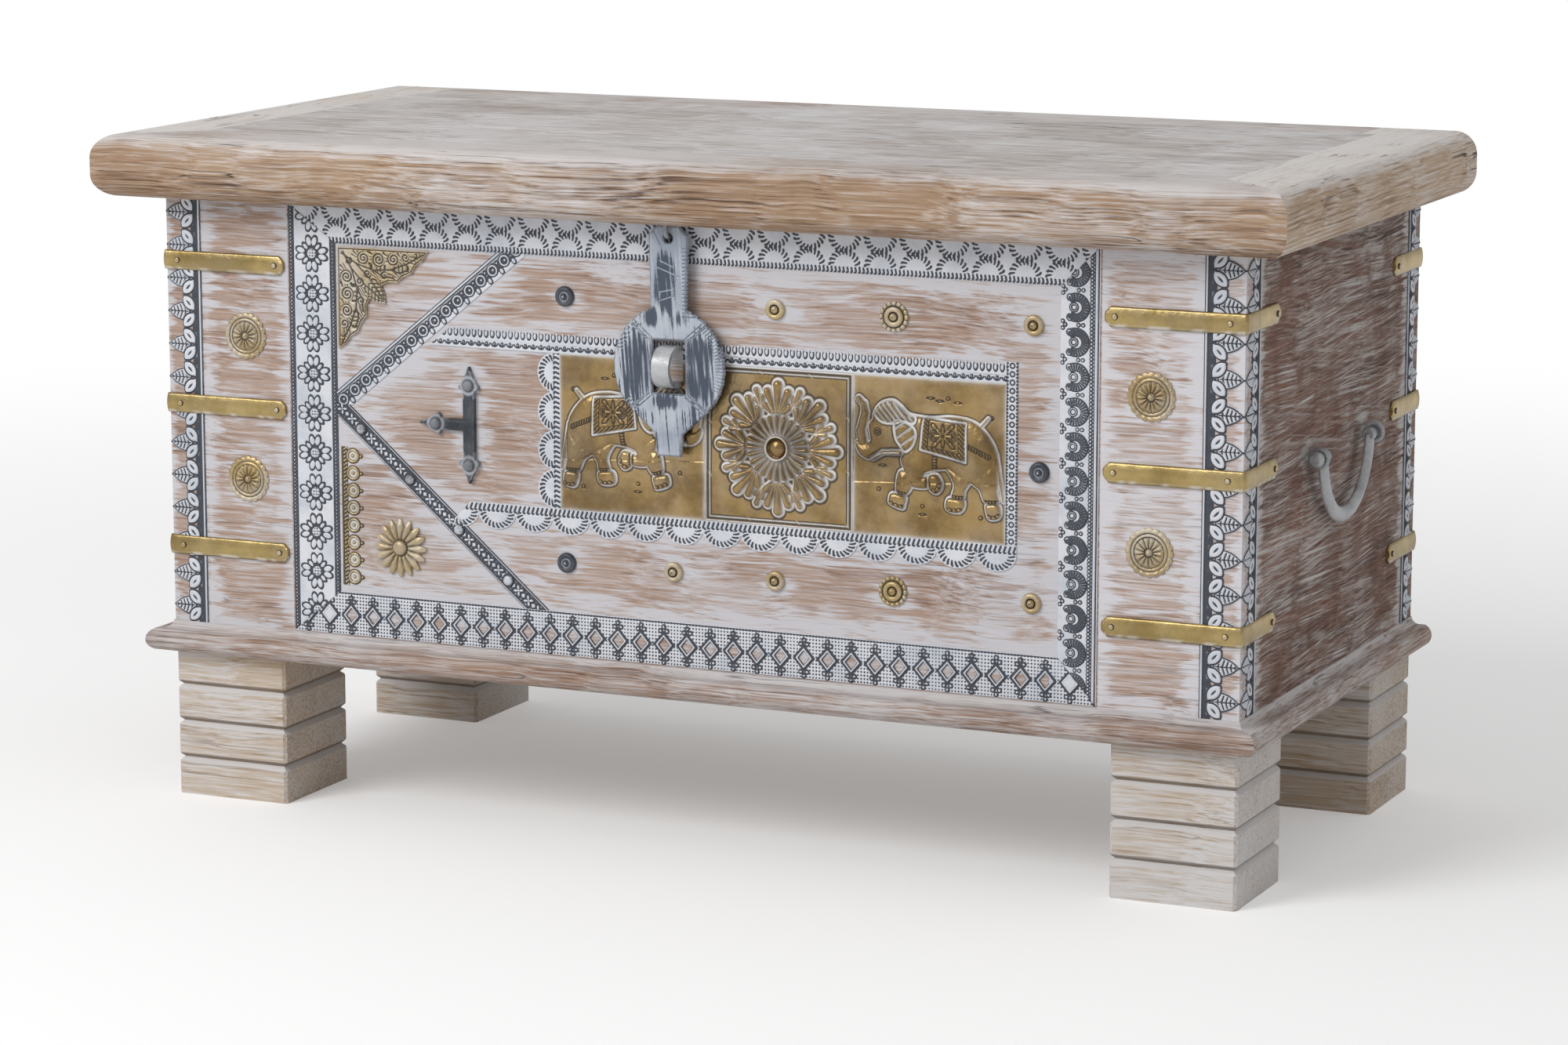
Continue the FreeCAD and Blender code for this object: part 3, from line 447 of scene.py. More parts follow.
@dataclass(frozen=True)
class WoodFinish:
    """A brushed board with a thin white wash left in its pores and along its edges."""

    name: str
    palette: Palette
    grain: Grain
    wash_level: float = 0.5
    patch_level: float = 1.1
    scratch_level: float = 0.0
    crack_level: float = 0.6
    crown: float = 0.0
    halos: tuple[Halo, ...] = ()
    # Foot groove levels: above each, a dark line of painted shade; below it, white paint and painted light on
    # the bevel.
    grooves: tuple[float, ...] = ()
    seed: float = 0.0
    specular: float = 0.3
    bump_strength: float = 0.55
    bump_depth: float = 0.0007

    def build(self) -> bpy.types.Material:
        """Write the material.

        Returns:
            The finished material.
        """
        material, graph, surface = new_material(self.name)
        place = graph.place()
        shifted = graph.vector("ADD", place, (self.seed, self.seed * 0.37, self.seed * 0.71))
        board = graph.group(GRAIN, Position=shifted, Stretch=self.grain.value)
        fibre, figure, brush = (board.outputs[label] for label in ("Fibre", "Figure", "Brush"))
        tone = graph.plus(graph.times(fibre, 0.62), graph.times(figure, 0.38))
        paint = self.palette.wash
        colour = graph.mix(graph.span(tone, 0.36, 0.5), self.palette.dark, self.palette.mid)
        colour = graph.mix(graph.span(tone, 0.5, 0.64), colour, self.palette.pale)
        halo: Input = 0.0
        drag = graph.noise(graph.vector("MULTIPLY", place, (18.0, 18.0, 170.0)), 1.0, 3.0, 0.6)
        wobble = graph.span(drag, 0.3, 0.7, -0.75, 0.55)
        for line in self.halos:
            start = tuple(c * MM for c in line.start)
            run = tuple((b - a) * MM for a, b in zip(line.start, line.end))
            reach = line.reach * MM
            ring = graph.group(HALO, Position=place, Start=start, Along=run, Reach=reach, Wobble=wobble)
            halo = graph.most(halo, ring.outputs["Mask"])
        wash = self.summed(graph, self.wash_level, (
            (graph.noise(shifted, 8.0, 4.0, 0.62), self.patch_level), (brush, 1.5), (fibre, 1.0)))
        wash = graph.plus(wash, graph.times(halo, graph.span(brush, 0.3, 0.7, 0.5, 1.15)))
        split = graph.add("ShaderNodeSeparateXYZ")
        graph.feed(split.inputs[0], place)
        height = split.outputs[2]
        if self.crown > 0.0:
            wash = graph.plus(wash, graph.span(height, self.crown, self.crown + 0.008, 0.0, 0.45))
        wash = graph.times(graph.span(wash, 0.12, 0.92), 0.95)
        colour = graph.mix(wash, colour, paint)
        if self.scratch_level > 0.0:
            mark = self.scratches(graph, shifted)
            colour = graph.mix(graph.times(mark, self.scratch_level), colour, paint)
        crack = graph.times(board.outputs["Crack"], self.crack_level)
        colour = graph.mix(crack, colour, tuple(0.3 * c for c in self.palette.dark))
        # Painted shade on each groove's upper face, and white paint with painted light on its lower bevel.
        for level in self.grooves:
            up = graph.minus(height, level)
            white = graph.times(graph.span(up, -0.0036, -0.0026, 0.0, 0.75),
                                graph.span(up, -0.0004, 0.0, 1.0, 0.0))
            dirt_and_shade = graph.times(graph.span(up, -0.0003, 0.0003, 0.0, 0.7),
                               graph.span(up, 0.0016, 0.0036, 1.0, 0.0))
            painted_groove_shade = tuple(0.35 * c for c in self.palette.dark)
            colour = graph.mix(dirt_and_shade, graph.mix(white, colour, paint), painted_groove_shade)
        graph.feed(surface.inputs["Base Color"], colour)
        graph.feed(surface.inputs["Roughness"], graph.span(fibre, 0.3, 0.7, 0.74, 0.58))
        surface.inputs["Specular IOR Level"].default_value = self.specular
        relief = graph.plus(graph.times(fibre, 0.7), graph.times(brush, 0.45))
        relief = graph.minus(relief, graph.times(crack, 0.9))
        graph.roughen(surface, relief, self.bump_strength, self.bump_depth)
        return material

    @staticmethod
    def summed(graph: Graph, base: float, waves: Sequence[tuple[Socket, float]]) -> Socket:
        """A level with noises swung round it.

        Args:
            graph: The material's writer.
            base: The level.
            waves: Noises round a half, each with its swing.

        Returns:
            The sum.
        """
        total: Input = base
        for wave, swing in waves:
            total = graph.plus(total, graph.times(graph.minus(wave, 0.5), swing))
        return total

    @staticmethod
    def scratches(graph: Graph, place: Socket) -> Socket:
        """Pale brush strokes that run nearly level along the board's side.

        Args:
            graph: The material's writer.
            place: Where to read them.

        Returns:
            A mask of the strokes.
        """
        masks = []
        kinds = ((0.05, (60.0, 8.0, 560.0)), (-0.06, (60.0, 12.0, 800.0)), (0.14, (60.0, 6.0, 420.0)))
        for slant, stretch in kinds:
            turn = graph.add("ShaderNodeMapping")
            turn.inputs["Rotation"].default_value = (slant, 0.0, 0.0)
            graph.feed(turn.inputs["Vector"], place)
            fine = graph.noise(graph.vector("MULTIPLY", turn.outputs[0], stretch), 1.0, 4.0, 0.66)
            patch = graph.noise(graph.vector("ADD", place, (slant, slant, 0.0)), 16.0, 4.0, 0.62)
            masks.append(graph.times(graph.span(fine, 0.47, 0.66), graph.span(patch, 0.4, 0.62)))
        return graph.most(masks[0], masks[1], graph.times(masks[2], 0.5))


@dataclass(frozen=True)
class MetalFinish:
    """Pressed metal with grime and some painted shade in its grooves, and a white wash rubbed over it."""

    name: str
    bright: Colour
    dull: Colour
    dirt_and_shade: Colour
    wash: Colour
    wash_level: float
    metallic: float
    roughness: float
    dent: float = 0.25
    bump_depth: float = 0.0012

    def build(self) -> bpy.types.Material:
        """Write the material.

        Returns:
            The finished material.
        """
        material, graph, surface = new_material(self.name)
        place = graph.place()
        groove = graph.attribute("groove")
        rise = graph.attribute("rise")
        masks = graph.group(PATINA, Groove=groove, Position=place)
        tone = graph.noise(place, 26.0, 5.0, 0.62)
        colour = graph.mix(graph.span(tone, 0.36, 0.64), self.dull, self.bright)
        wash = graph.times(masks.outputs["Wash"], self.wash_level)
        wash = graph.times(wash, graph.span(rise, 0.35, 1.0, 1.0, 0.6))
        residue = graph.attribute("residue")
        residue = graph.times(residue, graph.span(tone, 0.3, 0.55, 0.45, 1.0))
        dirt_and_shade = graph.times(masks.outputs["Dirt"], 0.95)
        colour = graph.mix(dirt_and_shade, graph.mix(wash, colour, self.wash), self.dirt_and_shade)
        colour = graph.mix(residue, colour, self.wash)
        graph.feed(surface.inputs["Base Color"], colour)
        dry = graph.most(residue, wash, dirt_and_shade)
        graph.feed(surface.inputs["Metallic"], graph.span(dry, 0.1, 0.9, self.metallic, 0.0))
        worn = graph.plus(dry, masks.outputs["Grit"])
        graph.feed(surface.inputs["Roughness"],
                   graph.span(worn, 0.3, 1.3, self.roughness, self.roughness + 0.25))
        graph.roughen(surface, graph.noise(place, 120.0, 4.0, 0.55), self.dent, self.bump_depth)
        return material


# Distance fields for the stamped patterns, in millimetres, negative inside a shape


def bell(value: Array, centre: float, width: float) -> Array:
    """A smooth bump of height 1 where a value meets its centre."""
    return np.exp(-((value - centre) / width) ** 2)


def unit(value: Array) -> Array:
    """A value kept between 0 and 1."""
    return np.clip(value, 0.0, 1.0)


def dome(reach: Array, radius: float) -> Array:
    """A half round of height 1, and 0 past its radius."""
    return np.sqrt(unit(1.0 - (reach / radius) ** 2))


def shoulder(gap: Array, soft: float) -> Array:
    """A flat top of height 1 that rounds off towards a shape's edge."""
    return np.sqrt(1.0 - (1.0 - unit(-gap / soft)) ** 2)


def union(*shapes: Array) -> Array:
    """Distance to the nearest of several shapes."""
    return np.minimum.reduce(shapes)


def highest(*values: Array) -> Array:
    """The largest of several values at each point."""
    return np.maximum.reduce(values)


def blank(u: Array, v: Array) -> Array:
    """The distance to no pattern at all."""
    return np.full(u.shape, FAR)


def remembered(work: Callable[[Array, Array], Any]) -> Callable[[Array, Array], Any]:
    """Work out a field once for each grid, since outline, stamp and swell share it.

    Args:
        work: The field.

    Returns:
        The field with a memory.
    """
    known: dict[tuple[float, float], Any] = {}

    def recall(u: Array, v: Array) -> Any:
        """What the field gives for a grid.

        Args:
            u: Places along the sheet.
            v: Places across it.

        Returns:
            The field's values.
        """
        key = (float(u.sum()), float(v.sum()))
        if key not in known:
            known[key] = work(u, v)
        return known[key]

    return recall


def cell(along: Array, pitch: float) -> Array:
    """How far a point stands from the middle of its repeat."""
    return np.mod(along, pitch) - pitch / 2.0


def disc(x: Array, y: Array, radius: float) -> Array:
    """Distance to a disc at the origin."""
    return np.hypot(x, y) - radius


def ring(x: Array, y: Array, radius: float, half: float) -> Array:
    """Distance to a ring of a given half width at the origin."""
    return np.abs(np.hypot(x, y) - radius) - half


def oval(x: Array, y: Array, a: float, b: float) -> Array:
    """Rough distance to an ellipse with semi-axes a and b."""
    return (np.hypot(x / a, y / b) - 1.0) * np.minimum(a, b)


def turned(x: Array, y: Array, angle: float) -> tuple[Array, Array]:
    """The same point in axes turned by an angle in radians."""
    c, s = math.cos(angle), math.sin(angle)
    return x * c + y * s, y * c - x * s


def line(x: Array, y: Array, start: Sequence[float], end: Sequence[float], half: float) -> Array:
    """Distance to a straight stroke of a given half width.

    Args:
        x: Places along x.
        y: Places along y.
        start: Where it starts.
        end: Where it ends.
        half: Half the stroke's width.

    Returns:
        The distance.
    """
    dx, dy = end[0] - start[0], end[1] - start[1]
    share = unit(((x - start[0]) * dx + (y - start[1]) * dy) / (dx * dx + dy * dy + 1e-9))
    return np.hypot(x - start[0] - share * dx, y - start[1] - share * dy) - half


def stroke(x: Array, y: Array, points: Sequence[Sequence[float]], half: float, end_half: float) -> Array:
    """Distance to a tapering stroke through points.

    Args:
        x: Places along x.
        y: Places along y.
        points: The points it runs through.
        half: Half the stroke's width.
        end_half: Half the width at its end.

    Returns:
        The distance.
    """
    count = len(points) - 1
    parts = []
    for index in range(count):
        middle = half + (end_half - half) * (index + 0.5) / count
        parts.append(line(x, y, points[index], points[index + 1], middle))
    return union(*parts)


def polygon(x: Array, y: Array, points: Sequence[Sequence[float]]) -> Array:
    """Signed distance to a closed outline.

    Args:
        x: Places along x.
        y: Places along y.
        points: Its corners.

    Returns:
        The distance, below 0 inside.
    """
    gap = np.full(x.shape, 1e9)
    sign = np.ones(x.shape)
    for (ax, ay), (bx, by) in zip(points, [*points[1:], points[0]]):
        gap = np.minimum(gap, line(x, y, (ax, ay), (bx, by), 0.0))
        crosses = (ay > y) != (by > y)
        at = ax + (bx - ax) * (y - ay) / (by - ay if abs(by - ay) > 1e-9 else 1e-9)
        sign = np.where(crosses & (x < at), -sign, sign)
    return gap * sign


def smooth_outline(points: Sequence[Sequence[float]], steps: int = 4) -> list[tuple[float, float]]:
    """A closed outline rounded through its corners.

    Args:
        points: The corners.
        steps: How many points stand for each side.

    Returns:
        The rounded outline.
    """
    corners = np.array(points, float)
    before, after, beyond = np.roll(corners, 1, 0), np.roll(corners, -1, 0), np.roll(corners, -2, 0)
    rounded = []
    for index in range(steps):
        t = index / steps
        rounded.append(0.5 * (2 * corners + (after - before) * t
                              + (2 * before - 5 * corners + 4 * after - beyond) * t * t
                              + (3 * corners - before - 3 * after + beyond) * t ** 3))
    return [tuple(p) for p in np.stack(rounded, 1).reshape(-1, 2)]


def beads(s: Array, t: Array, pitch: float, radius: float) -> Array:
    """A row of beads along s, centred on t = 0."""
    return disc(cell(s, pitch), t, radius)


def curl(a: Array, b: Array, length: float) -> Array:
    """Distance to an engraved comma: a stem along a with a hooked head.

    Args:
        a: Places along the stem.
        b: Places across it.
        length: Its length.

    Returns:
        The distance.
    """
    stem = line(a, b, (-length, 0.0), (0.6 * length, 0.0), 0.0)
    head = np.where(a > 0.6 * length - 0.1, ring(a - 0.6 * length, b - 0.65, 0.65, 0.0), FAR)
    return np.maximum(np.minimum(stem, np.abs(head)) - 0.16, 0.0)


def commas(s: Array, t: Array, pitch: float, length: float = 1.7, tilt: float = 1.2) -> Array:
    """A row of slanted commas along s, centred on t = 0."""
    a, b = turned(cell(s, pitch), t, tilt)
    return curl(a, b, length)


def tapered(x: Array, y: Array, base: float, tilt: float, length: float, start: float,
            end: float) -> Array:
    """Distance to a petal that leaves a point on the x axis at a tilt and widens to its tip.

    Args:
        x: Places along x.
        y: Places along y.
        base: Where it leaves the x axis.
        tilt: Its angle to that axis.
        length: Its length.
        start: Half its width at the start.
        end: Half its width at the tip.

    Returns:
        The distance.
    """
    a, b = turned(x - base, y, tilt)
    share = unit(a / length)
    return np.hypot(a - share * length, b) - start - (end - start) * share


def folded(x: Array, y: Array, count: int, turn: float = 0.0) -> tuple[Array, Array]:
    """The same point brought into the first of a number of equal sectors, which lies along x.

    Args:
        x: Places along x.
        y: Places along y.
        count: How many there are.
        turn: The angle of the first.

    Returns:
        The point's place in that sector.
    """
    pitch = 2.0 * math.pi / count
    angle = np.mod(np.arctan2(y, x) - turn + pitch / 2.0, pitch) - pitch / 2.0
    reach = np.hypot(x, y)
    return reach * np.cos(angle), reach * np.sin(angle)


def engraved(solid: Array, cut: Array, within: Array) -> Array:
    """A stamp with lines cut into one of its raised shapes."""
    return np.where((within < -0.7) & (cut < 0.6), cut, solid)


def comma_arc(x: Array, y: Array, radius: float, count: int, length: float = 1.8) -> Array:
    """Commas set side by side round the upper half of a circle.

    Args:
        x: Places along x.
        y: Places along y.
        radius: The circle's radius.
        count: How many there are.
        length: A comma's length.

    Returns:
        The distance.
    """
    pitch = math.pi / count
    along = (np.mod(np.arctan2(y, x), pitch) - pitch / 2.0) * radius
    a, b = turned(np.hypot(x, y) - radius, along, 0.35)
    return np.where(y > -0.6, curl(a, b, length), FAR)


def petals(x: Array, y: Array, count: int, middle: float, length: float, width: float,
           turn: float = 0.0) -> Array:
    """Oval petals round the origin."""
    a, b = folded(x, y, count, turn)
    return oval(a - middle, b, length, width)


def box_distance(x: Array, y: Array, x0: float, x1: float, y0: float, y1: float) -> Array:
    """Signed distance to an upright rectangle."""
    return np.maximum(np.maximum(x0 - x, x - x1), np.maximum(y0 - y, y - y1))


# Meshes


@dataclass(frozen=True)
class Plane:
    """A flat work plane: lengths in millimetres along u, v and out of the face."""

    origin: Place
    along: Place
    up: Place
    out: Place

    def points(self, u: Array, v: Array, height: Array) -> Array:
        """Places in metres."""
        across = np.array(self.origin) + u[..., None] * np.array(self.along)
        return (across + v[..., None] * np.array(self.up) + height[..., None] * np.array(self.out)) * MM

    def mirrored(self) -> bool:
        """Whether its directions are left-handed, so that faces turn the other way."""
        return np.dot(np.cross(self.along, self.up), self.out) < 0


def new_mesh(name: str, points: Array, faces: Sequence[Array], smooth: Sequence[bool]) -> bpy.types.Object:
    """An object from arrays of faces.

    Args:
        name: The object's name.
        points: Its vertices.
        faces: Arrays of three or four indices a row.
        smooth: Whether each array is shaded smooth.

    Returns:
        The linked object.
    """
    mesh = bpy.data.meshes.new(name)
    sizes = np.concatenate([np.full(len(part), part.shape[1]) for part in faces])
    corners = np.concatenate([part.ravel() for part in faces]).astype(np.int32)
    mesh.vertices.add(len(points))
    mesh.vertices.foreach_set("co", points.astype(np.float32).ravel())
    mesh.loops.add(len(corners))
    mesh.loops.foreach_set("vertex_index", corners)
    mesh.polygons.add(len(sizes))
    mesh.polygons.foreach_set("loop_start", np.concatenate([[0], np.cumsum(sizes)[:-1]]).astype(np.int32))
    mesh.polygons.foreach_set("use_smooth", np.concatenate(
        [np.full(len(part), flag) for part, flag in zip(faces, smooth)]))
    mesh.update(calc_edges=True)
    mesh.validate()
    thing = bpy.data.objects.new(name, mesh)
    bpy.context.scene.collection.objects.link(thing)
    return thing


def store(thing: bpy.types.Object, name: str, values: Array) -> None:
    """Keep a number on each vertex for the material."""
    layer = thing.data.attributes.new(name, "FLOAT", "POINT")
    layer.data.foreach_set("value", values.astype(np.float32))


def flat_map(thing: bpy.types.Object, uv: Array) -> None:
    """Keep a flat texture map on the piece.

    Args:
        thing: The object.
        uv: A place between 0 and 1 for each vertex.
    """
    layer = thing.data.uv_layers.new(name="OFBake")
    index = np.zeros(len(thing.data.loops), np.int32)
    thing.data.loops.foreach_get("vertex_index", index)
    layer.data.foreach_set("uv", uv[index].astype(np.float32).ravel())


def rim_of(quads: Array) -> Array:
    """The edges that bound a patch of quads, in walking order of their faces.

    Args:
        quads: The patch's faces.

    Returns:
        Pairs of corners.
    """
    edges = np.concatenate([quads[:, [0, 1]], quads[:, [1, 2]], quads[:, [2, 3]], quads[:, [3, 0]]])
    key = np.sort(edges, 1)
    code = key[:, 0].astype(np.int64) * (quads.max() + 1) + key[:, 1]
    _, first, count = np.unique(code, return_index=True, return_counts=True)
    return edges[first[count == 1]]


@dataclass(frozen=True)
class Relief:
    """A pressed sheet: an outline, a stamped pattern and the plane it lies on."""

    name: str
    plane: Plane
    span: Span
    outline: Field
    stamp: Field
    sheet: float = 0.55
    rise: float = 0.65
    step: float = 0.42
    groove_width: float = 0.42
    groove_place: float = 0.12
    groove_depth: float = 0.35
    least_height: float = 0.08
    least_slope: float = 0.2
    dome: float = 0.9
    swell: Optional[Field] = None
    shade: Optional[Field] = None
    residue: Optional[Field] = None
    backed: bool = False

    def build(self) -> bpy.types.Object:
        """Press the sheet.

        Returns:
            The sheet's object, with its groove and rise stored.
        """
        u0, u1, v0, v1 = self.span
        count_u = max(3, int(round((u1 - u0) / self.step)) + 1)
        count_v = max(3, int(round((v1 - v0) / self.step)) + 1)
        u, v = np.meshgrid(np.linspace(u0, u1, count_u), np.linspace(v0, v1, count_v), indexing="ij")
        gap = self.outline(u, v)
        slope_u, slope_v = np.gradient(gap, (u1 - u0) / (count_u - 1), (v1 - v0) / (count_v - 1))
        steep = np.maximum(slope_u ** 2 + slope_v ** 2, self.least_slope)
        near = np.abs(gap) < 0.5 * self.step
        u = np.where(near, u - gap * slope_u / steep, u)
        v = np.where(near, v - gap * slope_v / steep, v)
        kept = gap < 0.5 * self.step
        field = self.stamp(u, v)
        up = np.sqrt(unit(-field / self.dome))
        groove = bell(field, self.groove_place, self.groove_width)
        # The shade field joins the groove attribute that the finish turns dark; on the elephants and the
        # rosette it includes painted shade.
        if self.shade is not None:
            groove = unit(groove + self.shade(u, v))
        height = self.sheet + self.rise * up - self.groove_depth * groove
        if self.swell is not None:
            height = height + self.swell(u, v)
        height = np.maximum(height, self.least_height)
        index = np.full(u.shape, -1)
        index[kept] = np.arange(int(kept.sum()))
        quads = np.stack([index[:-1, :-1], index[1:, :-1], index[1:, 1:], index[:-1, 1:]], -1).reshape(-1, 4)
        quads = quads[(quads >= 0).all(1)]
        top = self.plane.points(u[kept], v[kept], height[kept])
        low = self.plane.points(u[kept], v[kept], np.zeros(int(kept.sum())))
        if self.plane.mirrored():
            quads = quads[:, ::-1]
        rim = rim_of(quads)
        size = len(top)
        walls = np.stack([rim[:, 1], rim[:, 0], rim[:, 0] + size, rim[:, 1] + size], 1)
        faces, smooth = [quads, walls], [True, False]
        if self.backed:
            faces.append(quads[:, ::-1] + size)
            smooth.append(False)
            points = np.concatenate([top, low])
        else:
            used = np.unique(rim)
            place = np.full(size, -1)
            place[used] = np.arange(len(used)) + size
            walls[:, 2:] = place[walls[:, 2:] - size]
            points = np.concatenate([top, low[used]])
        thing = new_mesh(self.name, points, faces, smooth)
        below = len(points) - size
        pick = slice(None) if self.backed else np.unique(rim)
        layers = {"groove": groove, "rise": up}
        if self.residue is not None:
            layers["residue"] = unit(self.residue(u, v))
        for label, layer in layers.items():
            values = layer[kept]
            store(thing, label, np.concatenate([values, values[pick][:below]]))
        uv = np.stack([(u[kept] - u0) / (u1 - u0), (v[kept] - v0) / (v1 - v0)], 1)
        flat_map(thing, unit(np.concatenate([uv, uv[pick][:below]])))
        return thing


@dataclass(frozen=True)
class Boss:
    """A round pressed piece: its height and groove by radius and angle."""

    name: str
    plane: Plane
    radius: float
    height: Field
    groove: Field
    notch: float = 0.0
    lobes: int = 0
    rings: int = 30
    spokes: int = 96
    point: float = 0.7

    def build(self) -> bpy.types.Object:
        """Press the piece.

        Returns:
            Its object, with its groove and rise stored.
        """
        angle = np.arange(self.spokes) * 2.0 * math.pi / self.spokes
        edge = np.full(self.spokes, self.radius)
        if self.lobes:
            edge = self.radius - self.notch * (1.0 - np.abs(np.cos(self.lobes * angle / 2.0)) ** self.point)
        share = np.linspace(0.0, 1.0, self.rings + 1)[1:]
        reach = share[:, None] * edge[None, :]
        theta = np.broadcast_to(angle, reach.shape)
        middle = self.height(np.zeros(1), np.zeros(1))
        height = np.concatenate([middle, self.height(reach, theta).ravel()])
        groove = np.concatenate([[0.0], self.groove(reach, theta).ravel()])
        x = np.concatenate([[0.0], (reach * np.cos(theta)).ravel()])
        y = np.concatenate([[0.0], (reach * np.sin(theta)).ravel()])
        rim = 1 + (self.rings - 1) * self.spokes + np.arange(self.spokes)
        foot = self.plane.points(x[rim], y[rim], np.zeros(self.spokes))
        points = np.concatenate([self.plane.points(x, y, height), foot])
        here = np.arange(self.spokes)
        after = (here + 1) % self.spokes
        fan = np.stack([np.zeros(self.spokes, int), 1 + here, 1 + after], 1)
        bands = []
        for index in range(self.rings - 1):
            low = 1 + index * self.spokes
            high = low + self.spokes
            bands.append(np.stack([low + here, high + here, high + after, low + after], 1))
        base = len(x)
        wall = np.stack([rim[here], base + here, base + after, rim[after]], 1)
        faces = [fan, np.concatenate(bands), wall]
        if self.plane.mirrored():
            faces = [part[:, ::-1] for part in faces]
        thing = new_mesh(self.name, points, faces, [True, True, False])
        top = max(float(height.max()), 1e-6)
        store(thing, "groove", np.concatenate([groove, groove[rim]]))
        store(thing, "rise", np.concatenate([height / top, height[rim] / top]))
        flat = np.stack([x, y], 1) / (2.0 * self.radius) + 0.5
        flat_map(thing, unit(np.concatenate([flat, flat[rim]])))
        return thing


def sweep(name: str, path: Array, side: Array, out: Array, section: Array,
          closed: bool = False) -> bpy.types.Object:
    """A bar along a path.

    Args:
        name: The object's name.
        path: Points in millimetres.
        side: A direction across the bar at each point.
        out: A direction out of it at each point.
        section: Offsets along side and out, for each point or shared by all.
        closed: Whether the path closes on itself.

    Returns:
        The bar's object.
    """
    count = len(path)
    sections = np.broadcast_to(section, (count, *section.shape[-2:]))
    points = path[:, None] + sections[..., :1] * side[:, None] + sections[..., 1:] * out[:, None]
    around = points.shape[1]
    here = np.arange(around)
    after = (here + 1) % around
    bands = []
    for index in range(count if closed else count - 1):
        low, high = index * around, ((index + 1) % count) * around
        bands.append(np.stack([low + here, low + after, high + after, high + here], 1))
    faces, smooth = [np.concatenate(bands)], [True]
    points = points.reshape(-1, 3)
    if not closed:
        ends = np.stack([points[:around].mean(0), points[-around:].mean(0)])
        size = len(points)
        last = size - around
        points = np.concatenate([points, ends])
        faces.append(np.stack([np.full(around, size), after, here], 1))
        faces.append(np.stack([np.full(around, size + 1), last + here, last + after], 1))
        smooth += [False, False]
    return new_mesh(name, points * MM, faces, smooth)


def circle_section(radius: float, sides: int = 16) -> Array:
    """A round section."""
    angle = np.arange(sides) * 2.0 * math.pi / sides
    return radius * np.stack([np.cos(angle), np.sin(angle)], 1)


def join(name: str, things: Sequence[bpy.types.Object]) -> bpy.types.Object:
    """One object out of several.

    Args:
        name: The new object's name.
        things: The objects to join.

    Returns:
        The joined object.
    """
    bpy.ops.object.select_all(action="DESELECT")
    for thing in things:
        thing.select_set(True)
    bpy.context.view_layer.objects.active = things[0]
    if len(things) > 1:
        bpy.ops.object.join()
    things[0].name = name
    return things[0]


def dress(thing: bpy.types.Object, material: bpy.types.Material) -> None:
    """Give an object one finish in place of any other."""
    thing.data.materials.clear()
    thing.data.materials.append(material)


def mount(thing: bpy.types.Object, material: bpy.types.Material, slot: Slot, *nodes: str,
          body: Body = Body.CHEST) -> bpy.types.Object:
    """Dress a new piece and let it stand for CAD nodes.

    Args:
        thing: The piece.
        material: Its finish.
        slot: A material slot for it; not used.
        nodes: The CAD nodes it stands for.
        body: The body it moves with.

    Returns:
        The piece.
    """
    dress(thing, material)
    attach(thing, body.value)
    if nodes:
        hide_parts(*nodes)
    return thing


def bounds_mm(node: str) -> tuple[float, float, float, float, float, float]:
    """A CAD node's box in millimetres: low and high x, y, z in turn."""
    low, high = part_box(node)
    return low.x / MM, high.x / MM, low.y / MM, high.y / MM, low.z / MM, high.z / MM


FRONT_Y = bounds_mm("front_panel")[2]
HALF_WIDTH = bounds_mm("right_side_panel")[1]
BACK_Y = bounds_mm("back_panel")[3]


def front_plane(x: float = 0.0, z: float = 0.0, lift: float = 0.0, turn: float = 0.0) -> Plane:
    """A plane on the chest's front, its u turned up from +X by an angle in radians."""
    c, s = math.cos(turn), math.sin(turn)
    return Plane((x, FRONT_Y - lift, z), (c, 0.0, s), (-s, 0.0, c), (0.0, -1.0, 0.0))


def strip_plane(x: float, z: float, along: Point, up: Point) -> Plane:
    """A plane on the chest's front, its directions given in x and z."""
    return Plane((x, FRONT_Y, z), (along[0], 0.0, along[1]), (up[0], 0.0, up[1]), (0.0, -1.0, 0.0))


def lock_slot(x: Array, z: Array, play: float = 0.1) -> Array:
    """Distance to the room that the lock staple's legs need in the sheet metal."""
    left, right, _, _, low, high = bounds_mm("lock_staple")
    return box_distance(x, z, left - play, right + play, low - play, high + play)


@dataclass
class Finishes:
    """Every material of the chest."""

    zinc: bpy.types.Material
    brass: bpy.types.Material
    strap: bpy.types.Material
    pale: bpy.types.Material
    iron: bpy.types.Material
    painted_iron: bpy.types.Material
    steel: bpy.types.Material
    hidden: bpy.types.Material


